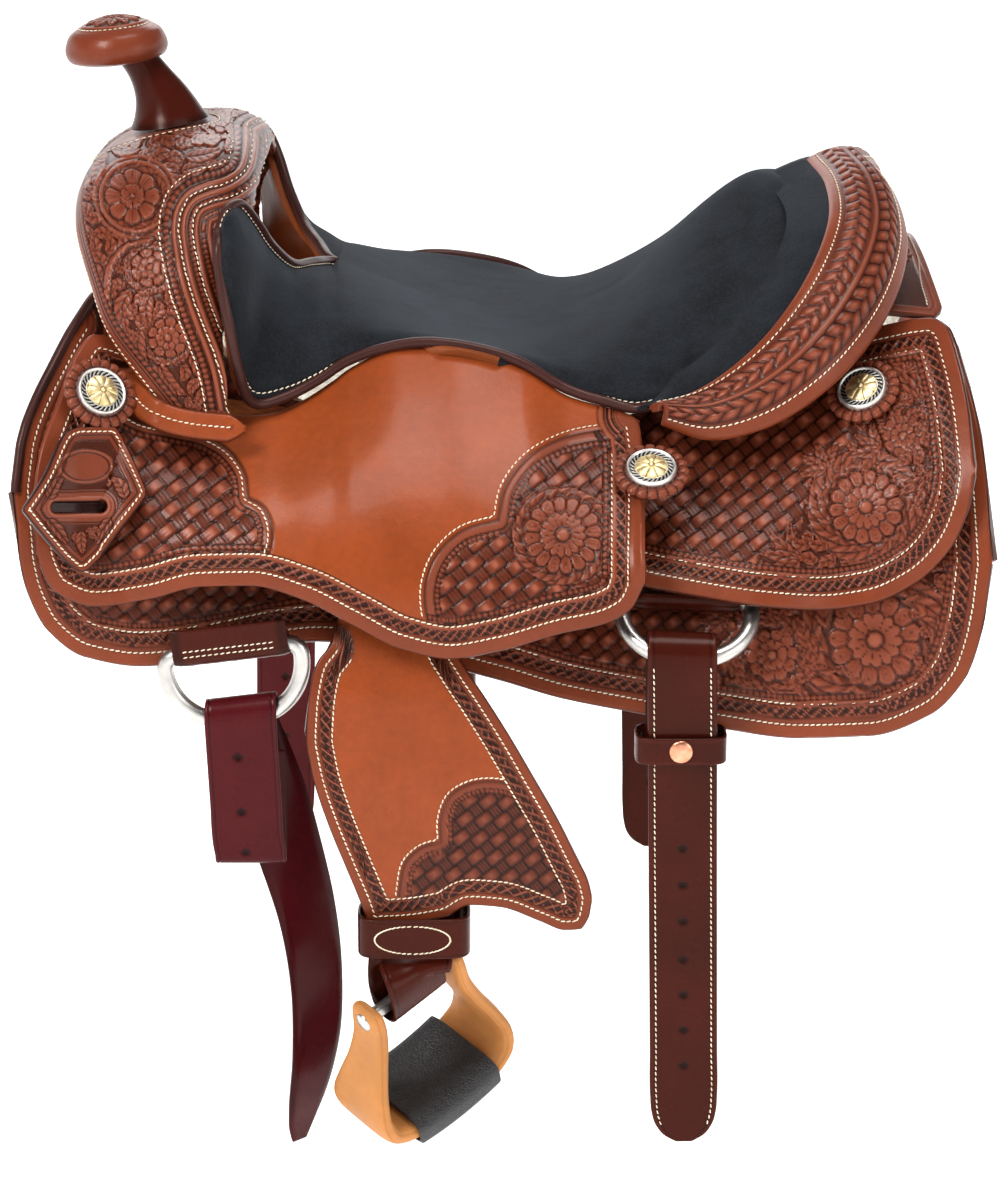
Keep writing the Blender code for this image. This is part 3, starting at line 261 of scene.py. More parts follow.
def leather(name, colour, worn, dark, rough=(0.34, 0.52), coat=0.25, grain=1.0, tan=None, shine=0.19):
    """Oiled leather: mottled colour, dark recesses (tint) that are partly antique dye and partly painted shade, paler
    crowns (worn) that are partly wear and partly painted highlight, fine grain.
    """
    mat, nodes, links, bsdf = new_material(name)
    cloud = ramp(nodes, links, noise(nodes, links, 16, 5), [(0.32, 0.0), (0.70, 1.0)])
    fine = ramp(nodes, links, noise(nodes, links, 180, 3), [(0.35, 0.0), (0.68, 1.0)])
    base = mix(nodes, links, cloud, tuple(c * 0.80 for c in colour), tuple(min(c * 1.14, 1) for c in colour))
    if tan:
        smooth = mix(nodes, links, cloud, tuple(c * 0.84 for c in tan), tuple(c * 1.10 for c in tan))
        base = mix(nodes, links, attribute(nodes, "smooth"), base, smooth)
    base = mix(nodes, links, mix_value(nodes, links, fine, 0.16), base, tuple(c * 0.55 for c in colour))
    # Paler crowns: partly wear, partly painted highlight. Darker recesses: partly antique dye, partly painted shade.
    base = mix(nodes, links, attribute(nodes, "worn"), base, worn)
    base = mix(nodes, links, attribute(nodes, "tint"), base, dark)
    links.new(base, bsdf.inputs["Base Color"])
    r = ramp(nodes, links, noise(nodes, links, 40, 4), [(0.30, rough[0]), (0.72, rough[1])])
    links.new(r, bsdf.inputs["Roughness"])
    bsdf.inputs["Coat Weight"].default_value = coat * 0.26
    bsdf.inputs["Specular Tint"].default_value = (1.0, 0.66, 0.56, 1)
    bsdf.inputs["Coat Roughness"].default_value = 0.16
    bsdf.inputs["Specular IOR Level"].default_value = shine
    pores = bump(nodes, links, noise(nodes, links, 900, 3, 0.6), 0.35 * grain, 0.0004)
    normal = bump(nodes, links, noise(nodes, links, 210, 4, 0.6), 0.22 * grain, 0.0010, pores)
    links.new(normal, bsdf.inputs["Normal"])
    return mat


def mix_value(nodes, links, value, factor):
    n = nodes.new("ShaderNodeMath")
    n.operation = "MULTIPLY"
    links.new(value, n.inputs[0])
    n.inputs[1].default_value = factor
    return n.outputs[0]


TOOLED = leather("tooled_leather_look", (0.142, 0.0275, 0.0112), (0.31, 0.090, 0.050), (0.010, 0.0022, 0.0013), rough=(0.26, 0.42), coat=0.5, tan=(0.262, 0.0495, 0.0112))
DARK = leather("dark_leather_look", (0.043, 0.0058, 0.0028), (0.12, 0.026, 0.015), (0.008, 0.002, 0.0014), rough=(0.20, 0.32), coat=0.25, grain=0.25, shine=0.10)
BURGUNDY = leather("latigo_look", (0.058, 0.0044, 0.0066), (0.12, 0.017, 0.022), (0.008, 0.0015, 0.002), rough=(0.20, 0.32), coat=0.25, grain=0.2, shine=0.10)
PALE = leather("pale_leather_look", (0.54, 0.225, 0.066), (0.66, 0.34, 0.13), (0.16, 0.055, 0.02), rough=(0.42, 0.58), coat=0.12, grain=0.8)
WELT = leather("welt_look", (0.040, 0.0135, 0.0115), (0.14, 0.07, 0.055), (0.015, 0.006, 0.005), rough=(0.30, 0.44), coat=0.3, grain=0.6)
EDGE = leather("cut_edge_look", (0.22, 0.055, 0.016), (0.42, 0.15, 0.05), (0.05, 0.015, 0.008), rough=(0.40, 0.55), coat=0.15, grain=0.7)

SUEDE, nodes, links, bsdf = new_material("suede_look")
nap = ramp(nodes, links, noise(nodes, links, 30, 6, 0.65), [(0.30, 0.0), (0.72, 1.0)])
tone = mix(nodes, links, nap, (0.0030, 0.0034, 0.0042), (0.0125, 0.0145, 0.0180))
speck = ramp(nodes, links, noise(nodes, links, 520, 3, 0.7), [(0.42, 0.0), (0.70, 1.0)])
tone = mix(nodes, links, mix_value(nodes, links, speck, 0.30), tone, (0.028, 0.031, 0.037))
links.new(tone, bsdf.inputs["Base Color"])
bsdf.inputs["Roughness"].default_value = 0.92
bsdf.inputs["Sheen Weight"].default_value = 0.12
bsdf.inputs["Sheen Roughness"].default_value = 0.45
bsdf.inputs["Sheen Tint"].default_value = (0.62, 0.70, 0.82, 1)
bsdf.inputs["Specular IOR Level"].default_value = 0.12
links.new(bump(nodes, links, noise(nodes, links, 700, 4, 0.7), 0.5, 0.0006, bump(nodes, links, noise(nodes, links, 45, 4), 0.15, 0.002)), bsdf.inputs["Normal"])

THREAD, nodes, links, bsdf = new_material("thread_look")
links.new(mix(nodes, links, ramp(nodes, links, noise(nodes, links, 130, 3), [(0.3, 0.0), (0.7, 1.0)]), (0.60, 0.46, 0.30), (0.88, 0.78, 0.60)), bsdf.inputs["Base Color"])
bsdf.inputs["Roughness"].default_value = 0.6
links.new(bump(nodes, links, noise(nodes, links, 1500, 2), 0.4, 0.0003), bsdf.inputs["Normal"])

WOOL, nodes, links, bsdf = new_material("wool_look")
links.new(mix(nodes, links, ramp(nodes, links, noise(nodes, links, 90, 6, 0.7), [(0.3, 0.0), (0.7, 1.0)]), (0.42, 0.36, 0.27), (0.84, 0.79, 0.68)), bsdf.inputs["Base Color"])
bsdf.inputs["Roughness"].default_value = 0.95
bsdf.inputs["Sheen Weight"].default_value = 0.4
links.new(bump(nodes, links, noise(nodes, links, 260, 6, 0.75), 0.9, 0.003), bsdf.inputs["Normal"])

STEEL, nodes, links, bsdf = new_material("satin_steel_look")
links.new(mix(nodes, links, ramp(nodes, links, noise(nodes, links, 60, 4), [(0.3, 0.0), (0.7, 1.0)]), (0.46, 0.44, 0.41), (0.62, 0.60, 0.57)), bsdf.inputs["Base Color"])
bsdf.inputs["Metallic"].default_value = 1.0
links.new(ramp(nodes, links, noise(nodes, links, 220, 4, stretch=(1, 1, 6)), [(0.3, 0.27), (0.7, 0.40)]), bsdf.inputs["Roughness"])
links.new(bump(nodes, links, noise(nodes, links, 800, 2, stretch=(1, 1, 8)), 0.12, 0.0002), bsdf.inputs["Normal"])

COPPER, nodes, links, bsdf = new_material("copper_look")
links.new(mix(nodes, links, ramp(nodes, links, noise(nodes, links, 150, 4), [(0.3, 0.0), (0.7, 1.0)]), (0.62, 0.24, 0.13), (0.86, 0.42, 0.27)), bsdf.inputs["Base Color"])
bsdf.inputs["Metallic"].default_value = 1.0
bsdf.inputs["Roughness"].default_value = 0.3
links.new(bump(nodes, links, noise(nodes, links, 400, 2), 0.1, 0.0003), bsdf.inputs["Normal"])

CONCHO, nodes, links, bsdf = new_material("concho_look")
age = ramp(nodes, links, noise(nodes, links, 260, 4), [(0.3, 0.0), (0.7, 1.0)])
silver = mix(nodes, links, age, (0.60, 0.58, 0.54), (0.86, 0.84, 0.80))
gold = mix(nodes, links, age, (0.66, 0.47, 0.20), (0.92, 0.76, 0.44))
metal = mix(nodes, links, attribute(nodes, "smooth"), silver, gold)
links.new(mix(nodes, links, attribute(nodes, "tint"), metal, (0.012, 0.011, 0.010)), bsdf.inputs["Base Color"])
bsdf.inputs["Metallic"].default_value = 1.0
links.new(ramp(nodes, links, noise(nodes, links, 300, 3), [(0.3, 0.36), (0.7, 0.50)]), bsdf.inputs["Roughness"])

TREAD, nodes, links, bsdf = new_material("tread_look")
links.new(mix(nodes, links, ramp(nodes, links, noise(nodes, links, 200, 4), [(0.3, 0.0), (0.7, 1.0)]), (0.008, 0.008, 0.009), (0.022, 0.022, 0.025)), bsdf.inputs["Base Color"])
bsdf.inputs["Roughness"].default_value = 0.45
vor = nodes.new("ShaderNodeTexVoronoi")
vor.inputs["Scale"].default_value = 620
coord = nodes.new("ShaderNodeTexCoord")
links.new(coord.outputs["Object"], vor.inputs["Vector"])
links.new(bump(nodes, links, vor.outputs["Distance"], 0.8, -0.0009), bsdf.inputs["Normal"])

TREE, nodes, links, bsdf = new_material("tree_look")
links.new(mix(nodes, links, ramp(nodes, links, noise(nodes, links, 30, 5, stretch=(1, 9, 9)), [(0.3, 0.0), (0.7, 1.0)]), (0.30, 0.075, 0.02), (0.50, 0.16, 0.045)), bsdf.inputs["Base Color"])
bsdf.inputs["Roughness"].default_value = 0.5
links.new(bump(nodes, links, noise(nodes, links, 120, 4), 0.25, 0.0008), bsdf.inputs["Normal"])


# ---------------------------------------------------------------- mesh building
LOOKS = bpy.data.collections.new("looks")
bpy.context.scene.collection.children.link(LOOKS)
BODY_OF = {n: b for b, names in frame["record"]["behaviour"]["bodies"].items() for n in names}


def raw_mesh(name, verts, quads, ngons=(), attrs=None, sharp=40):
    mesh = bpy.data.meshes.new(name)
    quads = np.asarray(quads, np.int32).reshape(-1, 4)
    sizes = np.r_[np.full(len(quads), 4, np.int32), np.array([len(g) for g in ngons], np.int32)].astype(np.int32)
    loops = np.concatenate([quads.ravel()] + [np.asarray(g, np.int32) for g in ngons]) if len(ngons) else quads.ravel()
    starts = np.r_[0, np.cumsum(sizes)[:-1]].astype(np.int32)
    mesh.vertices.add(len(verts))
    mesh.vertices.foreach_set("co", np.asarray(verts, np.float32).ravel())
    mesh.loops.add(len(loops))
    mesh.loops.foreach_set("vertex_index", loops.astype(np.int32))
    mesh.polygons.add(len(sizes))
    mesh.polygons.foreach_set("loop_start", starts)
    mesh.update(calc_edges=True)
    for key, values in (attrs or {}).items():
        a = mesh.attributes.new(key, "FLOAT", "POINT")
        a.data.foreach_set("value", np.asarray(values, np.float32).ravel())
    mesh.shade_smooth()
    if sharp:
        mesh.set_sharp_from_angle(angle=math.radians(sharp))
    return mesh


def add(name, mesh, mat, body, nodes=()):
    ob = bpy.data.objects.new(name, mesh)
    LOOKS.objects.link(ob)
    mesh.materials.append(mat)
    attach(ob, body)
    if nodes:
        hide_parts(*nodes)
    return ob


def grid_normals(P):
    n = np.cross(np.gradient(P, axis=0), np.gradient(P, axis=1))
    return n / np.maximum(np.linalg.norm(n, axis=-1), 1e-12)[..., None]


def coarse(n, k):
    return np.unique(np.r_[np.arange(0, n - 1, k), n - 1])


def shell_arrays(P, H, thick, attrs, k=7, N=None):
    """Closed shell: a fine outer face with relief H, and a coarse inner face at the thickness below."""
    rows, cols = P.shape[:2]
    N = grid_normals(P) if N is None else N
    top = P + N * H[..., None]
    ri, ci = coarse(rows, k), coarse(cols, k)
    under = (P - N * (thick[..., None] if np.ndim(thick) else thick))[ri][:, ci]
    idx = np.arange(rows * cols).reshape(rows, cols)
    base = rows * cols
    low = base + np.arange(len(ri) * len(ci)).reshape(len(ri), len(ci))
    quads = np.stack([idx[:-1, :-1], idx[1:, :-1], idx[1:, 1:], idx[:-1, 1:]], -1).reshape(-1, 4)
    lowq = np.stack([low[:-1, :-1], low[:-1, 1:], low[1:, 1:], low[1:, :-1]], -1).reshape(-1, 4)
    ngons = []
    for a in range(len(ci) - 1):
        j0, j1 = ci[a], ci[a + 1]
        ngons.append(list(idx[0, j0 : j1 + 1]) + [low[0, a + 1], low[0, a]])
        ngons.append(list(idx[-1, j0 : j1 + 1][::-1]) + [low[-1, a], low[-1, a + 1]])
    for a in range(len(ri) - 1):
        i0, i1 = ri[a], ri[a + 1]
        ngons.append(list(idx[i0 : i1 + 1, 0][::-1]) + [low[a, 0], low[a + 1, 0]])
        ngons.append(list(idx[i0 : i1 + 1, -1]) + [low[a + 1, -1], low[a, -1]])
    verts = np.concatenate([top.reshape(-1, 3), under.reshape(-1, 3)])
    full = {}
    for key, val in attrs.items():
        full[key] = np.concatenate([np.asarray(val, float).ravel(), np.asarray(val, float)[ri][:, ci].ravel()])
    return verts, np.concatenate([quads, lowq]), ngons, full


def flip(verts, quads, ngons):
    return verts * np.array([1, -1, 1]), quads[:, ::-1], [g[::-1] for g in ngons]


def shell(name, P, H, thick, mat, body, nodes=(), attrs=None, k=7, mirror=True, N=None, sharp=50):
    """The near side's shell and its mirror image. body and nodes carry _left in their names where there are two."""
    at = {"tint": np.zeros(P.shape[:2]), "worn": np.zeros(P.shape[:2]), "smooth": np.zeros(P.shape[:2])}
    at.update(attrs or {})
    verts, quads, ngons, full = shell_arrays(P, H, thick, at, k, N)
    out = [add(name, raw_mesh(name, verts, quads, ngons, full, sharp), mat, body, nodes)]
    if mirror:
        v2, q2, n2 = flip(verts, quads, ngons)
        other = name.replace("_left", "_right")
        out.append(add(other, raw_mesh(other, v2, q2, n2, full, sharp), mat, body.replace("_left", "_right"), [n.replace("_left", "_right") for n in nodes]))
    return out


def clones(name, verts, quads, mat, body, attrs=None, mirror=True, sharp=60, nodes=()):
    """A set of closed solids given as arrays, and its mirror image."""
    out = [add(name, raw_mesh(name, verts, quads, (), attrs, sharp), mat, body, nodes)]
    if mirror:
        other = name.replace("_left", "_right")
        out.append(add(other, raw_mesh(other, verts * np.array([1, -1, 1]), np.asarray(quads)[:, ::-1], (), attrs, sharp), mat, body.replace("_left", "_right"), [n.replace("_left", "_right") for n in nodes]))
    return out


# ---------------------------------------------------------------- drawing on the sheet
def seg_dist(u, v, line):
    """Distance of each point from a polyline, and the length along it at the nearest place."""
    p = np.array(line, float)
    a, d = p[:-1], np.diff(p, axis=0)
    length = np.maximum(np.hypot(d[:, 0], d[:, 1]), 1e-9)
    start = np.r_[0, np.cumsum(length)[:-1]]
    uu, vv = np.ravel(u).astype(np.float32), np.ravel(v).astype(np.float32)
    best = np.full(len(uu), 1e9, np.float32)
    arc = np.zeros(len(uu), np.float32)
    for (ax, ay), (dx, dy), ln, s in zip(a, d, length, start):
        wx, wy = uu - ax, vv - ay
        t = np.clip((wx * dx + wy * dy) / ln**2, 0, 1)
        e = np.hypot(wx - t * dx, wy - t * dy)
        m = e < best
        best = np.where(m, e, best)
        arc = np.where(m, s + t * ln, arc)
    return best.reshape(np.shape(u)), arc.reshape(np.shape(u))


def inside(u, v, poly):
    p = np.array(poly, float)
    c = np.zeros(np.shape(u), bool)
    for (x1, y1), (x2, y2) in zip(p, np.roll(p, -1, axis=0)):
        if y1 == y2:
            continue
        c ^= ((y1 > v) != (y2 > v)) & (u < (x2 - x1) * (v - y1) / (y2 - y1) + x1)
    return c


class Field:
    """Height (mm), dark recesses (antique dye and painted shade), paler crowns (wear and painted highlight) and smooth
    tan over a grid of drawn points.
    """

    def __init__(self, u, v):
        self.u, self.v = u, v
        self.h = np.zeros(u.shape)
        self.tint = np.zeros(u.shape)
        self.worn = np.zeros(u.shape)
        self.smooth = np.zeros(u.shape)

    def put(self, mask, h, tint, worn=None):
        m = np.clip(mask, 0, 1)
        self.h = self.h * (1 - m) + h * m
        self.tint = self.tint * (1 - m) + tint * m
        self.worn = self.worn * (1 - m) + (0 if worn is None else worn) * m
        self.smooth = self.smooth * (1 - m)

    def attrs(self):
        return {"tint": np.clip(self.tint, 0, 1), "worn": np.clip(self.worn, 0, 1), "smooth": np.clip(self.smooth, 0, 1)}


def weave(u, v, pitch=16.0, angle=38):
    """Basket stamping: long bars that rise over short ribbed ones."""
    c, s = math.cos(math.radians(angle)), math.sin(math.radians(angle))
    p, q = (u * c - v * s) / pitch, (u * s + v * c) / (pitch * 0.84)
    ip, iq = np.floor(p), np.floor(q)
    fp, fq = p - ip - 0.5, q - iq - 0.5
    over = (ip + iq) % 2 == 0
    al = np.where(over, np.abs(fp), 1 - np.abs(fp))
    bar = np.sqrt(np.clip(1 - (al / 0.67) ** 2, 0, 1)) * smoothstep(0.475, 0.385, np.abs(fq))
    bl = np.where(~over, np.abs(fq), 1 - np.abs(fq))
    low = 0.66 * np.sqrt(np.clip(1 - (bl / 0.62) ** 2, 0, 1)) * smoothstep(0.44, 0.34, np.abs(fp))
    rib = np.cos(fp * 2 * math.pi * 4.5)
    top = bar >= low
    h = np.where(top, bar + 0.04 * np.cos(fq * 2 * math.pi * 3) * (bar > 0.3), low + 0.06 * rib * (low > 0.25))
    # Colour: painted shade where the long bars fall away at their ends, darker lower bars and gaps, and paler crowns
    # on the long bars that are partly wear and partly painted highlight.
    fall = np.clip((al - 0.30) / 0.37, 0, 1)
    tint = np.where(top, np.clip(fall**1.6 * 0.95 + smoothstep(0.33, 0.46, np.abs(fq)) * 0.85, 0, 1), np.clip(0.30 + 0.22 * (rib < -0.1) + smoothstep(0.28, 0.42, np.abs(fp)) + smoothstep(0.22, 0.60, bl) * 0.5, 0, 1))
    tint = np.maximum(tint, smoothstep(0.34, 0.10, h))
    worn = np.where(top, smoothstep(0.30, 0.04, al) * smoothstep(0.36, 0.12, np.abs(fq)) * 0.75, 0.0)
    return h, tint, worn


def plait(s, w, pitch=15.0):
    """Two rows of overlapping leaves that meet on the middle line, w from -1 to 1 across the band."""
    col = np.where(w < 0, 0.0, 0.5)
    x = np.abs(w)
    ph = (s / pitch + col - 0.55 * x) % 1 - 0.5
    body = np.sqrt(np.clip(1 - (ph / 0.47) ** 2, 0, 1)) * np.sqrt(np.clip(1 - ((x - 0.46) / 0.52) ** 2, 0, 1))
    h = body**0.8
    tint = np.clip(1.15 - 1.6 * body, 0, 1)
    worn = smoothstep(0.80, 1.0, body) * 0.55
    return h, tint, worn


def stamp(f, mask, h, tint, worn, deep):
    f.put(mask, h * deep - deep * 0.55, tint, worn)


def rope(f, d, s, lo, hi, pitch=12.0, mask=1.0):
    """Band of crossed ropes between two distances from a line."""
    w = (d - lo) / (hi - lo)
    band = (w > 0) & (w < 1)
    ph = (s / pitch) % 1
    a = np.abs(((ph - w * 0.9 + 0.5) % 1) - 0.5)
    b = np.abs(((ph + w * 0.9 + 0.5) % 1) - 0.5)
    ridge_h = np.maximum(smoothstep(0.17, 0.04, a), 0.75 * smoothstep(0.11, 0.02, b))
    h = -0.5 + 0.85 * ridge_h
    tint = np.clip(0.95 - ridge_h * 1.1, 0, 1)
    f.put(band * mask, h, tint, ridge_h * 0.75)


def line_groove(f, d, at, width, deep=0.35, mask=1.0, dark=0.85):
    m = smoothstep(width, 0, np.abs(d - at)) * mask
    f.h = f.h - deep * m
    f.tint = np.maximum(f.tint, m * dark)


def ridge_line(f, d, at, width, high=0.35, mask=1.0):
    m = smoothstep(width, width * 0.2, np.abs(d - at)) * mask
    f.h = f.h + high * m
    f.worn = np.maximum(f.worn, m * 0.45)
    f.tint = f.tint * (1 - 0.8 * m)


def scallops(f, d, s, at, width, pitch=6.5, mask=1.0):
    """Row of little shells next to a line."""
    w = (d - at) / width
    band = (w > -1) & (w < 1)
    ph = np.abs((s / pitch) % 1 - 0.5) * 2
    r = np.hypot(w, (1 - ph) * 0.9)
    h = 0.45 * smoothstep(1.0, 0.25, r) - 0.25
    f.put(band * mask, h, np.clip(smoothstep(0.45, 1.0, r) * 1.0, 0, 1), smoothstep(0.5, 0.0, r) * 0.5)


def near(f, cx, cy, r):
    m = np.hypot(f.u - cx, f.v - cy) < r
    return np.nonzero(m)


def flower(f, cx, cy, r, petals=12, rot=0.0, layers=2, squash=1.0, deep=1.0):
    ii = near(f, cx, cy, r * 1.25)
    if not len(ii[0]):
        return
    du, dv = f.u[ii] - cx, (f.v[ii] - cy) / squash
    rho, th = np.hypot(du, dv) / r, np.arctan2(dv, du) + rot
    lobe = np.abs(np.cos(petals * th / 2))
    edge = 0.80 + 0.20 * lobe**0.5
    m = smoothstep(1.03, 0.97, rho / edge)
    groove = smoothstep(0.30, 0.04, lobe)
    mid = smoothstep(0.06, 0.01, np.abs(np.sin(petals * th / 2)) * rho) * (rho > 0.5)
    h = 0.35 + 0.75 * np.clip(rho / edge, 0, 1) ** 1.3 - 0.75 * groove - 0.35 * mid + 0.10 * np.cos(petals * 3 * th) * (rho > 0.35)
    t = np.clip(groove * 0.95 + mid * 0.7 + smoothstep(0.55, 0.2, rho) * 0.3, 0, 1)
    if layers > 1:
        lobe2 = np.abs(np.cos(petals * th / 2 + math.pi / 2))
        e2 = 0.50 + 0.10 * lobe2
        m2 = smoothstep(1.04, 0.96, rho / e2)
        g2 = smoothstep(0.30, 0.05, lobe2)
        rim2 = smoothstep(0.10, 0.0, np.abs(rho / e2 - 1.04))
        h = h * (1 - m2) + m2 * (0.55 + 0.6 * np.clip(rho / e2, 0, 1) - 0.5 * g2)
        t = np.maximum(t * (1 - m2) + m2 * g2 * 0.85, rim2 * 0.9)
        h = h - 0.35 * rim2
    bead = smoothstep(0.17, 0.13, rho)
    ring = smoothstep(0.06, 0.0, np.abs(rho - 0.20))
    h = h * (1 - bead) + bead * (0.85 + 0.5 * np.sqrt(np.clip(1 - (rho / 0.17) ** 2, 0, 1)))
    t = np.maximum(t * (1 - bead), ring * 0.95)
    halo = smoothstep(1.22, 1.0, rho / edge) * (1 - m)
    f.h[ii] = f.h[ii] * (1 - m) * (1 - halo * 0.6) - 0.5 * halo * (1 - m) + m * h * deep
    f.tint[ii] = np.maximum(f.tint[ii] * (1 - m), halo * 0.95) * (1 - m) + m * t
    f.worn[ii] = f.worn[ii] * (1 - m) + m * np.clip((h - 0.75) * 0.9, 0, 0.7)
    f.smooth[ii] *= 1 - np.maximum(m, halo)


def leaf(f, spine, width, veins=7, high=0.9, point=0.75):
    """Carved leaf along a spine; veins slant back from its middle rib."""
    line = smooth_line(spine, 14)
    lo, hi = line.min(0) - width * 1.3, line.max(0) + width * 1.3
    ii = np.nonzero((f.u > lo[0]) & (f.u < hi[0]) & (f.v > lo[1]) & (f.v < hi[1]))
    if not len(ii[0]):
        return
    u, v = f.u[ii], f.v[ii]
    d, s = seg_dist(u, v, line)
    total = np.linalg.norm(np.diff(line, axis=0), axis=1).sum()
    t = s / total
    lobes = 1 + 0.16 * np.abs(np.sin(t * math.pi * veins))
    w = width * np.clip(np.sin(np.pi * np.clip(t, 0, 1) ** point), 0, 1) ** 0.75 * lobes + 0.6
    q = d / w
    m = smoothstep(1.08, 0.92, q)
    rib = smoothstep(0.14, 0.03, q)
    vein = 0.5 + 0.5 * np.cos(2 * np.pi * (t * veins * 1.3 - q * 0.7))
    h = high * (0.55 + 0.45 * q) * (1 - 0.45 * rib) - 0.20 * (vein < 0.25) + 0.12 * vein
    halo = smoothstep(1.6, 1.05, q) * (1 - m)
    f.h[ii] = f.h[ii] * (1 - m) - 0.45 * halo + m * h
    f.tint[ii] = np.maximum(f.tint[ii] * (1 - m), halo * 0.85) * (1 - m) + m * np.clip(rib * 0.85 + smoothstep(0.25, 0.0, vein) * 0.55, 0, 1)
    f.worn[ii] = f.worn[ii] * (1 - m) + m * np.clip(vein * q * 0.55, 0, 0.6)
    f.smooth[ii] *= 1 - np.maximum(m, halo)


def swirl(f, cx, cy, r, n=11, turn=1, squash=1.0, reach=1.75, start=0.0):
    """Leaves that turn round a flower."""
    for k in range(n):
        a0 = start + 2 * math.pi * k / n
        pts = []
        for t in np.linspace(0, 1, 5):
            a = a0 + turn * t * 1.15
            rr = r * (1.08 + (reach - 1.08) * t**0.8)
            pts.append((cx + rr * math.cos(a), cy + rr * math.sin(a) * squash))
        leaf(f, pts, r * 0.17, veins=4, high=0.75)


def fan(f, x, y, direction, length, n=5, spread=80, width=5.0, bend=0.35):
    for k in range(n):
        g = math.radians(direction + spread * (k / (n - 1) - 0.5))
        side = (k / (n - 1) - 0.5) * bend * 2
        pts = []
        for t in np.linspace(0, 1, 4):
            a = g + side * t
            pts.append((x + length * t * math.cos(a), y - length * t * math.sin(a)))
        leaf(f, pts, width, veins=3, high=0.8)


def ground(f, mask):
    """Matted background between carved leaves."""
    dots = 0.5 + 0.5 * np.sin(f.u * 2.1) * np.sin(f.v * 2.1)
    f.put(mask, -0.55 + 0.16 * dots, 0.80 - 0.2 * dots, 0)


def fill_leaves(f, mask, pitch=15.0, size=9.0, width=4.6, seed=3, centres=(), rounds=2):
    """Small curling leaves wherever the carved ground is still bare."""
    rng = np.random.default_rng(seed)
    for turn in range(rounds):
        bare = (f.h < -0.30) & (mask > 0.5)
        if not bare.any():
            return
        lo = np.array([f.u[bare].min(), f.v[bare].min()]) - 4
        size_px = np.ceil(np.array([f.u[bare].max(), f.v[bare].max()]) + 4 - lo).astype(int) + 2
        bins = lambda m: np.histogram2d(f.u[m], f.v[m], bins=(size_px // 2 + 1), range=[[lo[0], lo[0] + 2 * (size_px[0] // 2 + 1)], [lo[1], lo[1] + 2 * (size_px[1] // 2 + 1)]])[0] > 0
        free, taken = bins(bare), bins(~bare)
        step = pitch * (1.0 if turn == 0 else 0.62)
        grow = size * (1.0 if turn == 0 else 0.62)
        wide = width * (1.0 if turn == 0 else 0.72)
        row = 0
        for y in np.arange(lo[1], lo[1] + size_px[1], step * 0.86):
            row += 1
            for x in np.arange(lo[0] + (row % 2) * step / 2, lo[0] + size_px[0], step):
                jx, jy, ja, jb = rng.uniform(-1, 1, 4)
                cx, cy = x + jx * step * 0.14, y + jy * step * 0.14
                i, j = int((cx - lo[0]) / 2), int((cy - lo[1]) / 2)
                if i < 0 or j < 0 or i >= free.shape[0] or j >= free.shape[1] or not free[i, j]:
                    continue
                if taken[max(i - 1, 0) : i + 2, max(j - 1, 0) : j + 2].sum() > 2:
                    continue
                if centres:
                    c = min(centres, key=lambda q: math.hypot(q[0] - cx, q[1] - cy))
                    a = math.atan2(cy - c[1], cx - c[0]) + 0.75 + 0.35 * ja
                else:
                    a = 1.1 * math.sin(cx * 0.045) + 1.3 * math.cos(cy * 0.05) + 0.6 * ja
                bend = 0.55 if jb > 0 else -0.55
                pts = []
                for q in np.linspace(-1, 1, 5):
                    g = a + bend * q
                    pts.append((cx + grow * q * math.cos(g), cy + grow * q * math.sin(g)))
                leaf(f, pts, wide, veins=3, high=0.85)


def offset_line(line, dist, side, n=None):
    """Polyline at a distance to one side of another, without the loops that tight bends make."""
    p = smooth_line(line, n) if n else np.array(line, float)
    t = np.gradient(p, axis=0)
    t /= np.maximum(np.linalg.norm(t, axis=1), 1e-9)[:, None]
    q = p + np.stack([t[:, 1], -t[:, 0]], -1) * dist * side
    d, _ = seg_dist(q[:, 0], q[:, 1], p)
    return q[d > abs(dist) - 0.6]


def resample(line, pitch):
    p = np.array(line, float)
    s = np.r_[0, np.cumsum(np.linalg.norm(np.diff(p, axis=0), axis=1))]
    at = np.arange(0, s[-1], pitch)
    return np.stack([np.interp(at, s, p[:, i]) for i in range(p.shape[1])], -1)


CAP_RINGS = [(-0.50, 0.30), (-0.36, 0.86), (0.0, 1.0), (0.36, 0.86), (0.50, 0.30)]


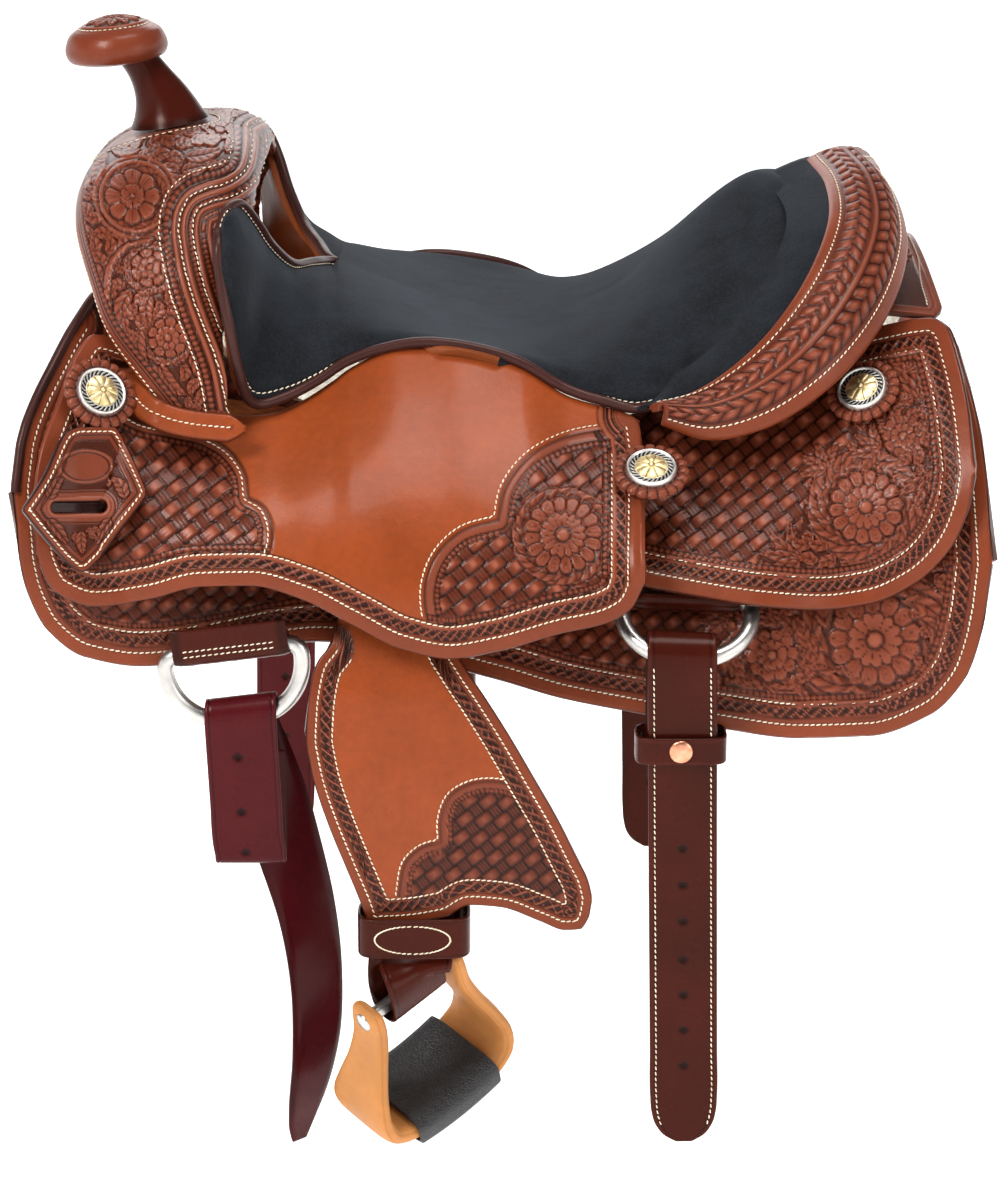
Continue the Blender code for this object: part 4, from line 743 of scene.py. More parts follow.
def stitch_solids(points, normals, length, radius, lift=0.0003, slant=0.16):
    """Closed thread beads along a world polyline whose points are a stitch pitch apart."""
    p = np.asarray(points, float)
    n = np.asarray(normals, float)
    t = np.gradient(p, axis=0)
    t /= np.maximum(np.linalg.norm(t, axis=1), 1e-9)[:, None]
    side = np.cross(n, t)
    side /= np.maximum(np.linalg.norm(side, axis=1), 1e-9)[:, None]
    t = t + side * slant
    verts, quads = [], []
    sides = 6
    ring_pts = []
    for at, r in CAP_RINGS:
        for k in range(sides):
            g = 2 * math.pi * k / sides
            ring_pts.append((at, r * math.cos(g), r * math.sin(g)))
    ring_pts = np.array(ring_pts)
    c = p + n * (lift + radius * 0.35)
    nn = np.cross(t, side)
    nn *= np.sign((nn * n).sum(1))[:, None]
    V = c[:, None, :] + t[:, None, :] * (ring_pts[None, :, 0:1] * length) + side[:, None, :] * (ring_pts[None, :, 1:2] * radius) + n[:, None, :] * (ring_pts[None, :, 2:3] * radius * 0.8)
    tips = np.stack([c - t * length * 0.54, c + t * length * 0.54], 1)
    m = len(CAP_RINGS)
    per = m * sides + 2
    allv = np.concatenate([V, tips], 1)
    base_q = []
    for i in range(m - 1):
        for k in range(sides):
            base_q.append((i * sides + k, i * sides + (k + 1) % sides, (i + 1) * sides + (k + 1) % sides, (i + 1) * sides + k))
    tri = []
    for k in range(sides):
        tri.append((m * sides, (k + 1) % sides, k))
        tri.append((m * sides + 1, (m - 1) * sides + k, (m - 1) * sides + (k + 1) % sides))
    base_q, tri = np.array(base_q), np.array(tri)
    off = (np.arange(len(p)) * per)[:, None, None]
    return allv.reshape(-1, 3), (base_q[None] + off).reshape(-1, 4), (tri[None] + off).reshape(-1, 3)


class Stitches:
    """Collects the thread of one body into one piece."""

    def __init__(self, name, body):
        self.name, self.body = name, body
        self.v, self.q, self.t, self.n = [], [], [], 0

    def world(self, points, normals, length=0.0032, radius=0.00052, lift=0.0003):
        if len(points) < 3:
            return
        v, q, t = stitch_solids(points, normals, length, radius, lift)
        self.v.append(v)
        self.q.append(q + self.n)
        self.t.append(t + self.n)
        self.n += len(v)

    def drawn(self, line, half, pitch=6.0, lift=0.0003, length=None, radius=0.00052, keep=None):
        p = resample(line, pitch)
        if keep is not None:
            p = p[keep(p[:, 0], p[:, 1])]
        if len(p) < 3:
            return
        P = lay(p[:, 0], p[:, 1], half)
        A = lay(p[:, 0] + 1.5, p[:, 1], half) - lay(p[:, 0] - 1.5, p[:, 1], half)
        B = lay(p[:, 0], p[:, 1] + 1.5, half) - lay(p[:, 0], p[:, 1] - 1.5, half)
        N = np.cross(B, A)
        N /= np.maximum(np.linalg.norm(N, axis=1), 1e-12)[:, None]
        N *= np.where(N[:, 1:2] > 0, -1, 1)
        gaps = np.hypot(*np.diff(p, axis=0).T)
        cuts = np.nonzero(gaps > pitch * 1.8)[0] + 1
        for part in np.split(np.arange(len(p)), cuts):
            if len(part) > 2:
                self.world(P[part], N[part], length or pitch * UNIT * 0.70, radius, lift)

    def finish(self, mirror=True):
        if not self.v:
            return
        v, q, t = np.concatenate(self.v), np.concatenate(self.q), np.concatenate(self.t)
        for side in ((1, -1) if mirror else (1,)):
            name = self.name if side == 1 else self.name.replace("_left", "_right")
            body = self.body if side == 1 else self.body.replace("_left", "_right")
            vv = v * np.array([1, side, 1])
            qq, tt = (q, t) if side == 1 else (q[:, ::-1], t[:, ::-1])
            mesh = raw_mesh(name, vv, qq, list(tt), None, 0)
            add(name, mesh, THREAD, body, ())


def tube(path, radius, sides=10, closed=False, flat=1.0, ref=None):
    """Round tube along points. radius may vary. Returns vertices and quads, ends capped with a small ring fan."""
    p = np.asarray(path, float)
    n = len(p)
    r = np.broadcast_to(np.asarray(radius, float), (n,))
    if closed:
        t = np.roll(p, -1, axis=0) - np.roll(p, 1, axis=0)
    else:
        t = np.gradient(p, axis=0)
    t /= np.maximum(np.linalg.norm(t, axis=1), 1e-12)[:, None]
    a = np.array(ref if ref is not None else (0.0, 1.0, 0.13))
    if np.ndim(a) == 1:
        a = np.broadcast_to(a, (n, 3))
    a = a - t * (a * t).sum(1)[:, None]
    a /= np.maximum(np.linalg.norm(a, axis=1), 1e-12)[:, None]
    b = np.cross(t, a)
    g = 2 * np.pi * np.arange(sides) / sides
    ring = a[:, None] * np.cos(g)[None, :, None] * flat + b[:, None] * np.sin(g)[None, :, None]
    V = (p[:, None] + ring * r[:, None, None]).reshape(-1, 3)
    q = []
    last = n if closed else n - 1
    for i in range(last):
        for k in range(sides):
            i2, k2 = (i + 1) % n, (k + 1) % sides
            q.append((i * sides + k, i * sides + k2, i2 * sides + k2, i2 * sides + k))
    ngons = []
    if not closed:
        ngons = [list(range(sides))[::-1], list(range((n - 1) * sides, n * sides))]
    return V, np.array(q), ngons


def tube_piece(name, path, radius, mat, body, nodes=(), sides=10, closed=False, mirror=True, flat=1.0, ref=None):
    V, q, ng = tube(path, radius, sides, closed, flat, ref)
    zero = {"tint": np.zeros(len(V)), "worn": np.zeros(len(V)), "smooth": np.zeros(len(V))}
    out = [add(name, raw_mesh(name, V, q, ng, zero, 60), mat, body, nodes)]
    if mirror:
        V2, q2, ng2 = flip(V, q, ng)
        other = name.replace("_left", "_right")
        out.append(add(other, raw_mesh(other, V2, q2, ng2, zero, 60), mat, body.replace("_left", "_right"), [m.replace("_left", "_right") for m in nodes]))
    return out


def panel_grid(top, bottom, n_cols, n_rows, least=5.0, u_range=None):
    u0, u1 = u_range or (top[0][0], top[-1][0])
    us = columns(u0, u1, n_cols)
    vt, vb = curve(top, us), curve(bottom, us)
    mid = (vt + vb) / 2
    vb = np.maximum(vb, mid + least / 2)
    vt = np.minimum(vt, mid - least / 2)
    t = np.linspace(0, 1, n_rows)[:, None]
    u = np.broadcast_to(us, (n_rows, n_cols)).copy()
    v = vt + (vb - vt) * t
    return u, v


def outline(top, bottom, n=150, least=5.0):
    us = columns(top[0][0], top[-1][0], n)
    vt, vb = curve(top, us), curve(bottom, us)
    mid = (vt + vb) / 2
    return np.stack([us, np.minimum(vt, mid - least / 2)], -1), np.stack([us, np.maximum(vb, mid + least / 2)], -1)


def rounded(d_px, radius):
    """Height lost next to a cut edge, in metres."""
    x = np.clip(1 - d_px * UNIT / radius, 0, 1)
    return -radius * (1 - np.sqrt(np.clip(1 - x**2, 0, 1)))


def edge_look(f, d):
    f.tint = np.maximum(f.tint, smoothstep(2.4, 0.3, d) * 0.75)


MM = 0.001

# ---------------------------------------------------------------- skirts
thread = Stitches("skirt_thread_left", "saddle")
u, v = panel_grid(SKIRT_TOP, SKIRT_BOTTOM, 470, 190)
f = Field(u, v)
half = skirt_half(0.0)
top_line, bottom_line = outline(SKIRT_TOP, SKIRT_BOTTOM)
hem = np.concatenate([top_line[:12][::-1], bottom_line, top_line[-40:][::-1]])
full_edge = np.concatenate([top_line[::-1], bottom_line])
d, s = seg_dist(u, v, hem)
de, _ = seg_dist(u, v, full_edge)
h, t, w = weave(u, v, 15.5, 38)
stamp(f, np.ones_like(u), h, t, w, 1.4)
carved = inside(u, v, [(690, 560), (720, 590), (742, 640), (715, 690), (700, 740), (1000, 760), (1000, 300), (925, 300), (925, 560)])
ground(f, carved * 1.0)
swirl(f, 875, 640, 46, 13, 1, 0.95, 1.75)
flower(f, 875, 640, 46, 13, 0.2, 2)
swirl(f, 772, 655, 26, 10, -1, 0.95, 1.8)
flower(f, 772, 655, 26, 10, 0.1, 2)
for x, y, g, ln in ((715, 668, 200, 30), (820, 700, 250, 30), (945, 560, 80, 46), (950, 500, 85, 40), (940, 640, 20, 28), (830, 600, 120, 30), (952, 440, 90, 36), (728, 620, 150, 30)):
    fan(f, x, y, g, ln, 5, 100, 5.0)
fill_leaves(f, carved * (d > 36), 17.0, 10.0, 5.2, 11, [(875, 640), (772, 655)])
near_front = smoothstep(150, 60, u) * 0.0
scallops(f, d, s, 41, 3.5)
ridge_line(f, d, 36.5, 2.2, 0.3)
line_groove(f, d, 33, 1.6)
f.put((d < 33) * 1.0, 0.0, 0.0, 0.05)
rope(f, d, s, 21.5, 31.0, 11.5)
line_groove(f, d, 20.0, 1.4)
line_groove(f, d, 14.0, 1.5, 0.3, 1.0, 0.5)
f.smooth = np.maximum(f.smooth, smoothstep(14, 12, d) * 0.35)
edge_look(f, de)
P = lay(u, v, half)
f.tint = np.maximum(f.tint, 0)
shell("skirt_look_left", P, f.h * MM + rounded(de, 0.0022), 0.006, TOOLED, "saddle", ["skirt_left"], f.attrs())
for dist in (14.0, 34.8):
    thread.drawn(offset_line(hem, dist, 1), half, lift=0.0 if dist > 20 else -0.0001)
thread.finish()

# wool under the skirts
us, vs = panel_grid(SKIRT_TOP, SKIRT_BOTTOM, 220, 90, u_range=(30, 976))
us = 503 + (us - 503) * 0.955
v_mid, v_all = (vs[:1] + vs[-1:]) / 2, np.abs(vs[-1:] - vs[:1])
vs = v_mid + (vs - v_mid) * np.clip(1 - 34 / np.maximum(v_all, 1), 0.25, 1)
P = lay(us, vs, skirt_half(-0.0062))
rng = np.random.default_rng(5)
fuzz = sum(np.sin(us * a + 3 * np.sin(vs * b)) * np.sin(vs * c + 2 * np.sin(us * e)) for a, b, c, e in rng.uniform(0.15, 0.9, (5, 4))) / 5
inner = lay(us, vs, skirt_half(-0.0062 - 0.0125))
wool = inner - grid_normals(inner) * (0.0012 * fuzz)[..., None]
wv = wool[:, ::-1]
wP = np.stack([wv[..., 0], wv[..., 1], wv[..., 2]], -1)
shell("skirt_fleece_look_left", wP, np.zeros(us.shape), 0.0105, WOOL, "saddle", ["skirt_fleece_left"], None, k=6)

# ---------------------------------------------------------------- rear jockeys
thread = Stitches("rear_jockey_thread_left", "saddle")
u, v = panel_grid(REAR_TOP, REAR_BOTTOM, 300, 205)
f = Field(u, v)
top_line, bottom_line = outline(REAR_TOP, REAR_BOTTOM)
hem = np.concatenate([bottom_line, top_line[100:][::-1]])
full_edge = np.concatenate([top_line[::-1], bottom_line])
d, s = seg_dist(u, v, hem)
de, _ = seg_dist(u, v, full_edge)
h, t, w = weave(u, v, 16.0, 38)
stamp(f, np.ones_like(u), h, t, w, 1.4)
carved = inside(u, v, [(740, 600), (760, 556), (800, 535), (806, 500), (815, 470), (830, 452), (848, 444), (850, 420), (860, 350), (980, 300), (1000, 640), (740, 640)])
ground(f, carved * 1.0)
swirl(f, 866, 507, 36, 14, 1, 0.98, 1.62)
flower(f, 866, 507, 37, 14, 0.1, 2)
flower(f, 903, 436, 21, 9, 0.3, 2)
for x, y, g, ln, n in ((812, 580, 200, 54, 6), (800, 560, 170, 40, 5), (850, 590, 265, 22, 4), (918, 400, 95, 44, 5), (905, 372, 80, 40, 5), (930, 470, 280, 42, 5), (880, 450, 170, 30, 4), (934, 520, 300, 32, 4), (912, 566, 330, 26, 4), (826, 470, 130, 28, 4), (925, 350, 70, 30, 4)):
    fan(f, x, y, g, ln, n, 90, 4.6)
fill_leaves(f, carved * (d > 34), 17.0, 10.0, 5.2, 7, [(866, 507), (903, 436)])
scallops(f, d, s, 38.5, 3.3)
ridge_line(f, d, 34, 2.2, 0.35)
line_groove(f, d, 31, 1.5)
f.put((d < 31) * 1.0, 0.0, 0.0, 0.05)
rope(f, d, s, 19.5, 28.5, 11.0)
line_groove(f, d, 18.3, 1.3)
f.smooth = np.maximum(f.smooth, smoothstep(14.5, 12.5, d) * 0.22)
line_groove(f, d, 14.8, 1.4, 0.3, 1.0, 0.5)
edge_look(f, de)
P = lay(u, v, rear_half)
shell("rear_jockey_look_left", P, f.h * MM + rounded(de, 0.0022), 0.0048, TOOLED, "saddle", ["rear_jockey_left"], f.attrs())
for dist in (14.8, 32.4):
    thread.drawn(offset_line(hem, dist, 1), rear_half, lift=0.0)
thread.finish()

# ---------------------------------------------------------------- side jockeys
thread = Stitches("side_jockey_thread_left", "saddle")
u, v = panel_grid(SIDE_TOP, SIDE_BOTTOM, 440, 190)
f = Field(u, v)
f.smooth[:] = 1.0
top_line, bottom_line = outline(SIDE_TOP, SIDE_BOTTOM)
hem = np.concatenate([top_line[:26][::-1], bottom_line, top_line[-5:][::-1]])
full_edge = np.concatenate([top_line[::-1], bottom_line])
d, s = seg_dist(u, v, hem)
de, _ = seg_dist(u, v, full_edge)
FRONT_LOBES = smooth_line([(112, 404), (140, 421), (172, 428), (205, 436), (231, 452), (245, 473), (248, 497)], 40)
FRONT_LOBES = np.concatenate([FRONT_LOBES, smooth_line([(248, 497), (262, 505), (271, 522), (272, 543), (262, 566), (250, 580)], 30)])
front_area = inside(u, v, np.concatenate([FRONT_LOBES, [(240, 640), (20, 640), (20, 380), (90, 380)]]))
REAR_LOBES = smooth_line([(440, 655), (428, 622), (425, 588), (436, 556), (460, 532), (498, 520)], 40)
REAR_LOBES = np.concatenate([REAR_LOBES, smooth_line([(498, 520), (504, 490), (526, 459), (560, 439), (600, 430), (650, 431)], 40)])
rear_area = inside(u, v, np.concatenate([REAR_LOBES, [(700, 431), (700, 700), (440, 700)]]))
dl, sl = seg_dist(u, v, FRONT_LOBES)
dr, sr = seg_dist(u, v, REAR_LOBES)
in_field = d > 33
h, t, w = weave(u, v, 17.0, 38)
for area, dd, ss in ((front_area, dl, sl), (rear_area, dr, sr)):
    m = area & in_field & (dd > 9.5)
    stamp(f, m * 1.0, h, t, w, 1.5)
swirl(f, 563, 536, 36, 12, 1, 0.95, 1.32)
flower(f, 563, 535, 39, 16, 0.1, 2, 0.98, 1.1)
for area, dd, ss in ((front_area, dl, sl), (rear_area, dr, sr)):
    scallops(f, dd, ss, 12.5, 3.2, 6.2, area & in_field)
    f.put((area & (dd < 9.0) & in_field) * 1.0, 0.25 * np.sin(np.clip(dd / 9.0, 0, 1) * math.pi), 0.0, 0.25)
    f.tint = np.maximum(f.tint, smoothstep(3.2, 0.2, dd) * in_field * 0.75)
    f.h = f.h - 0.5 * smoothstep(2.6, 0.0, dd) * in_field
    line_groove(f, dd, 9.3, 1.3, 0.35, (area & in_field) * 1.0)
tooled_side = np.maximum(smoothstep(6, 0, np.where(front_area | rear_area, 0, 99)), 0)
line_groove(f, d, 34.5, 1.4, 0.30)
scal = (front_area | rear_area) & (d > 35) & (d < 44)
scallops(f, d, s, 39.5, 3.2, 6.2, scal)
f.put((d < 33) * 1.0, 0.05, 0.0, 0.06)
f.smooth = np.where(d < 33, 0.22, f.smooth)
ridge_line(f, d, 31.5, 2.0, 0.22)
rope(f, d, s, 19.5, 28.5, 11.5)
line_groove(f, d, 18.4, 1.3)
line_groove(f, d, 15.2, 1.3, 0.25, 1.0, 0.45)
edge_look(f, np.where(v > (curve(SIDE_TOP, u) + 14), de, 99))
P = lay(u, v, side_half)
shell("side_jockey_look_left", P, f.h * MM + rounded(de, 0.0022), 0.0048, TOOLED, "saddle", ["side_jockey_left"], f.attrs())
for dist in (15.2, 33.0):
    thread.drawn(offset_line(hem, dist, 1), side_half, lift=0.0002)
clear = lambda a, b: seg_dist(a, b, hem)[0] > 36
thread.drawn(offset_line(FRONT_LOBES, 4.6, -1), side_half, pitch=5.6, lift=0.0004, keep=clear)
thread.drawn(offset_line(REAR_LOBES, 4.6, 1), side_half, pitch=5.6, lift=0.0004, keep=clear)
thread.finish()

# ---------------------------------------------------------------- fenders
thread = Stitches("fender_thread_left", "fender_swing_left")
u, v = panel_grid(FENDER_TOP, FENDER_BOTTOM, 185, 290)
f = Field(u, v)
f.smooth[:] = 1.0
top_line, bottom_line = outline(FENDER_TOP, FENDER_BOTTOM)
full_edge = np.concatenate([top_line[::-1], bottom_line])
low = top_line[:, 1] > 640
hem = np.concatenate([top_line[(top_line[:, 0] < 330) & low][::-1], bottom_line, top_line[(top_line[:, 0] > 440) & low][::-1]])
d, s = seg_dist(u, v, hem)
de, _ = seg_dist(u, v, full_edge)
LOBES = smooth_line([(398, 925), (400, 888), (406, 862), (421, 848), (441, 842)], 30)
LOBES = np.concatenate([LOBES, smooth_line([(441, 842), (441, 818), (450, 796), (470, 784), (500, 782), (530, 792)], 30)])
area = inside(u, v, np.concatenate([LOBES, [(620, 800), (620, 960), (398, 960)]]))
dd, ss = seg_dist(u, v, LOBES)
in_field = d > 27
h, t, w = weave(u, v, 14.5, 38)
stamp(f, (area & in_field & (dd > 7)) * 1.0, h, np.clip(t + 0.25, 0, 1), w * 0.5, 1.0)
scallops(f, dd, ss, 9.5, 2.6, 5.4, area & in_field)
f.put((area & (dd < 6.5) & in_field) * 1.0, 0.2, 0.1, 0.15)
f.tint = np.maximum(f.tint, smoothstep(2.8, 0.2, dd) * in_field * 0.75)
f.h = f.h - 0.4 * smoothstep(2.2, 0.0, dd) * in_field
f.put((d < 27) * 1.0, 0.05, 0.08, 0.03)
f.smooth = np.where(d < 27, 0.35, f.smooth)
rope(f, d, s, 14.5, 23.5, 11.0)
line_groove(f, d, 13.3, 1.2)
line_groove(f, d, 24.8, 1.2)
line_groove(f, d, 9.6, 1.2, 0.25, 1.0, 0.45)
edge_look(f, de)
P = lay(u, v, fender_half)
shell("fender_look_left", P, f.h * MM + rounded(de, 0.002), 0.0043, TOOLED, "fender_swing_left", ["fender_left"], f.attrs())
thread.drawn(offset_line(hem, 9.6, 1), fender_half, pitch=5.6, lift=0.0001)
thread.drawn(offset_line(hem, 26.2, 1), fender_half, pitch=5.6, lift=0.0002)
thread.drawn(offset_line(LOBES, 3.4, 1), fender_half, pitch=5.2, lift=0.0003, keep=lambda a, b: seg_dist(a, b, hem)[0] > 28)

thread.finish()

# ---------------------------------------------------------------- seat
SEAT_STATIONS = [
    ((218, 262), 0.195, (219, 233), 0.178),
    ((223, 296), 0.202, (226, 212), 0.166),
    ((230, 330), 0.204, (240, 204), 0.148),
    ((238, 368), 0.199, (256, 222), 0.130),
    ((252, 403), 0.187, (272, 246), 0.106),
    ((285, 397), 0.176, (293, 264), 0.075),
    ((318, 380), 0.166, (314, 262), 0.035),
    ((345, 362), 0.158, (336, 262), 0.0),
    ((380, 349), 0.153, (370, 276), 0.0),
    ((425, 342), 0.152, (420, 294), 0.0),
    ((475, 348), 0.154, (470, 306), 0.0),
    ((520, 362), 0.158, (520, 311), 0.0),
    ((565, 388), 0.164, (570, 306), 0.0),
    ((605, 401), 0.170, (618, 287), 0.0),
    ((642, 408), 0.176, (660, 250), 0.0),
    ((689, 386), 0.184, (695, 209), 0.0),
    ((736, 352), 0.181, (726, 183), 0.0),
    ((777, 306), 0.161, (745, 173), 0.0),
    ((804, 262), 0.130, (757, 172), 0.0),
    ((814, 228), 0.094, (770, 176), 0.0),
    ((809, 204), 0.052, (785, 182), 0.0),
]
table = np.array([(e[0], e[1], ye, m[0], m[1], ym) for e, ye, m, ym in SEAT_STATIONS])
k_at = np.arange(len(table), dtype=float)
k_fine = np.unique(np.r_[np.linspace(0, 7, 75), np.linspace(7, 20, 150)])
st = np.stack([curve(np.column_stack([k_at, table[:, i]]), k_fine, 1) if i == 5 else spline(np.column_stack([k_at, table[:, i]]), k_fine, 1) for i in range(6)], -1)
st[k_fine >= 7, 5] = 0.0


def seat_at(t):
    """World points of the seat's near half at fractions t from its lower edge (0) to the middle or the inner edge (1)."""
    ex, ez = sheet_point(st[:, 0], st[:, 1], -st[:, 2])
    mx, mz = sheet_point(st[:, 3], st[:, 4], -st[:, 5])
    t = np.asarray(t, float)
    dish = smoothstep(600, 720, st[:, 0])
    ye, ym = st[:, 2], st[:, 5]
    a = t * math.pi / 2
    round_y, round_z = ym + (ye - ym) * np.cos(a), ez + (mz - ez) * np.sin(a)
    flat_y, flat_z = ye + (ym - ye) * t, ez + (mz - ez) * (0.5 - 0.5 * np.cos(t * math.pi)) ** 0.85
    back = 0.022 * np.sin(t * math.pi) * dish
    y = round_y * (1 - dish) + flat_y * dish
    z = round_z * (1 - dish) + flat_z * dish
    x = ex + (mx - ex) * t + back
    return np.stack([x, -np.maximum(y, 0.0), z], -1)


ts = np.unique(np.r_[np.linspace(0, 0.09, 12), np.linspace(0.09, 0.91, 46), np.linspace(0.91, 1, 12)])
P = np.stack([seat_at(np.full(len(st), t)) for t in ts], 1)  # stations, across
P = P[:, ::-1].transpose(1, 0, 2)  # rows run from the middle down to the lower edge
soft = smoothstep(13.0, 15.5, k_fine)[None, 1:-1, None] * np.minimum((len(ts) - 1 - np.arange(len(ts) - 1)) / 8.0, 1)[:, None, None]
for _ in range(160):
    upper = np.concatenate([P[1:2] * np.array([1, -1, 1]), P[:-2]], 0)
    mean = (upper[:, 1:-1] + P[1:, 1:-1] + P[:-1, :-2] + P[:-1, 2:]) / 4
    P[:-1, 1:-1] += (mean - P[:-1, 1:-1]) * soft * 0.8
    P[0, :, 1] = np.where(k_fine >= 7, 0.0, P[0, :, 1])
tt = ts[::-1][:, None]
width = np.linalg.norm(np.diff(P, axis=0), axis=-1).sum(0)
d_low, d_mid = tt * width, (1 - tt) * width
ear = (k_fine < 7)[None, :]
d_edge = np.minimum(d_low, np.where(ear, d_mid, 9.0))
d_front = np.r_[0, np.cumsum(np.linalg.norm(np.diff(P, axis=1), axis=-1).mean(0))][None, :]
d_edge = np.minimum(d_edge, d_front)
x = np.clip(1 - d_edge / 0.0065, 0, 1)
puff = 0.0026 * smoothstep(0.004, 0.045, d_edge)
tuck = -0.0040 * (1 - np.sqrt(np.clip(1 - x**2, 0, 1)))
sewn = -0.0012 * np.exp(-(((d_edge - 0.0078) / 0.0016) ** 2))
N = grid_normals(P)
N = np.where((np.abs(P[..., 1:2]) < 1e-9), N * np.array([1, 0, 1]), N)
N /= np.maximum(np.linalg.norm(N, axis=-1), 1e-12)[..., None]
verts, quads, ngons, full = shell_arrays(P, puff + tuck + sewn, 0.0085, {"tint": smoothstep(0.009, 0.002, d_edge) * 0.0}, 5, N)
n_top = P.shape[0] * P.shape[1]


def seat_half(side):
    v2, q2, g2 = (verts, quads, ngons) if side == 1 else flip(verts, quads, ngons)
    bm = bmesh.new()
    vs = [bm.verts.new(p) for p in v2]
    bm.verts.ensure_lookup_table()
    mid = np.abs(v2[:, 1]) < 1e-7
    for k, g in enumerate(list(q2) + list(g2)):
        if mid[list(g)].all():
            continue
        try:
            face = bm.faces.new([vs[i] for i in g])
        except ValueError:
            continue
        face.smooth = True
        face.material_index = 0 if max(g) < n_top or v2[list(g), 0].mean() > 0.0 else 1
    return bm


bm = seat_half(1)
other = seat_half(-1)
tmp = bpy.data.meshes.new("seat_other")
other.to_mesh(tmp)
other.free()
bm.from_mesh(tmp)
bpy.data.meshes.remove(tmp)
bmesh.ops.remove_doubles(bm, verts=[w for w in bm.verts if abs(w.co.y) < 1e-6], dist=1e-5)
bmesh.ops.delete(bm, geom=[w for w in bm.verts if not w.link_faces], context="VERTS")
mesh = bpy.data.meshes.new("seat_pad_look")
bm.to_mesh(mesh)
bm.free()
mesh.set_sharp_from_angle(angle=math.radians(60))
mesh.materials.append(SUEDE)
seat = bpy.data.objects.new("seat_pad_look", mesh)
LOOKS.objects.link(seat)
mesh.materials.append(EDGE)
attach(seat, "saddle")
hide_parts("seat_pad")

# rolled welt round the seat and its ears
low_edge = P[-1, k_fine <= 14.2][::-1]
front_edge = P[::-1, 0]
inner_edge = P[0, k_fine <= 7]
loop = np.concatenate([low_edge, front_edge[1:-1], inner_edge])
step = np.r_[0, np.cumsum(np.linalg.norm(np.diff(loop, axis=0), axis=1))]
at = np.linspace(0, step[-1], 330)
loop = np.stack([np.interp(at, step, loop[:, i]) for i in range(3)], -1)
for _ in range(6):
    loop[1:-1] = (loop[:-2] + 2 * loop[1:-1] + loop[2:]) / 4
loop[-1, 1] = 0.0
tube_piece("seat_welt_left", loop, 0.0037, WELT, "saddle", (), 12)

thread = Stitches("seat_thread_left", "saddle")


def seat_line(rows_from_low, ks, dist):
    t = np.clip(dist / width, 0, 0.45)
    pts = seat_at(t if rows_from_low else 1 - t)
    pts2 = seat_at(np.clip(t + 0.02, 0, 1) if rows_from_low else 1 - t - 0.02)
    sel = (k_fine >= ks[0]) & (k_fine <= ks[1])
    p = pts[sel]
    along_t = np.gradient(p, axis=0)
    n = np.cross(pts2[sel] - p, along_t)
    n /= np.maximum(np.linalg.norm(n, axis=1), 1e-12)[:, None]
    n *= np.where((n * np.array([0, -1, 0.6])).sum(1) < 0, -1, 1)[:, None]
    return p, n


def sew(thread, p, n, pitch, lift=0.0002, length=None):
    s = np.r_[0, np.cumsum(np.linalg.norm(np.diff(p, axis=0), axis=1))]
    at = np.arange(pitch / 2, s[-1], pitch)
    q = np.stack([np.interp(at, s, p[:, i]) for i in range(3)], -1)
    m = np.stack([np.interp(at, s, n[:, i]) for i in range(3)], -1)
    m /= np.maximum(np.linalg.norm(m, axis=1), 1e-12)[:, None]
    thread.world(q, m, length or pitch * 0.70, 0.0005, lift)


for low_side, ks in ((True, (0.35, 14.2)), (False, (0.35, 7.0))):
    p, n = seat_line(low_side, ks, 0.0078)
    sew(thread, p, n, 0.0043, 0.0004)
thread.finish()

# ---------------------------------------------------------------- cantle binding, back cover and rear housing
RIM_IN = [(641, 412, 0.182), (690, 396, 0.191), (740, 361, 0.189), (784, 311, 0.170), (811, 263, 0.138), (823, 224, 0.101), (818, 191, 0.052), (800, 168, 0.0)]
RIM_OUT = [(652, 434, 0.192), (700, 449, 0.207), (758, 438, 0.212), (815, 405, 0.204), (862, 358, 0.178), (893, 304, 0.138), (903, 254, 0.094), (889, 204, 0.046), (862, 176, 0.0)]


def along(points, n):
    p = np.array(points, float)
    q = p * np.array([1, 1, 1000])
    s = np.r_[0, np.cumsum(np.linalg.norm(np.diff(q, axis=0), axis=1))]
    at = np.linspace(0, s[-1], n)
    tab = np.column_stack([s, p])
    return np.stack([spline(tab, at, 1 + i) for i in range(3)], -1)


def world(drawn):
    x, z = sheet_point(drawn[:, 0], drawn[:, 1], -drawn[:, 2])
    return np.stack([x, -drawn[:, 2], z], -1)


def both_halves(near_pts):
    """Near half of a grid (columns up to the middle plane) and its mirror image, as one grid."""
    far = near_pts[:, ::-1][:, 1:] * np.array([1, -1, 1])
    return np.concatenate([near_pts, far], 1)


NR = 300
rim_in, rim_out = world(along(RIM_IN, NR)), world(along(RIM_OUT, NR))
rim_in[-1, 1] = rim_out[-1, 1] = 0.0
rows = []
for t in np.linspace(-0.02, 1, 62):
    base = rim_in + (rim_out - rim_in) * t
    lift = math.sin(np.clip(t, 0, 1) * math.pi) * 0.0125
    outward = np.array([0.45, 0, 0.75]) + np.stack([np.zeros(NR), base[:, 1] * 3, np.zeros(NR)], -1)
    outward /= np.linalg.norm(outward, axis=1)[:, None]
    rows.append(base + outward * (lift + 0.0085))
near_P = np.array(rows)
P = both_halves(near_P)
t = np.linspace(0, 1, 62)[:, None]
wide = np.linalg.norm(np.diff(P, axis=0), axis=-1).sum(0)[None, :] / UNIT
s_mid = np.r_[0, np.cumsum(np.linalg.norm(np.diff(P[30], axis=0), axis=1))][None, :] / UNIT
s_all = np.abs(s_mid - s_mid[0, -1] / 2) + 0 * t
dpx = t * wide
f = Field(s_all, dpx)
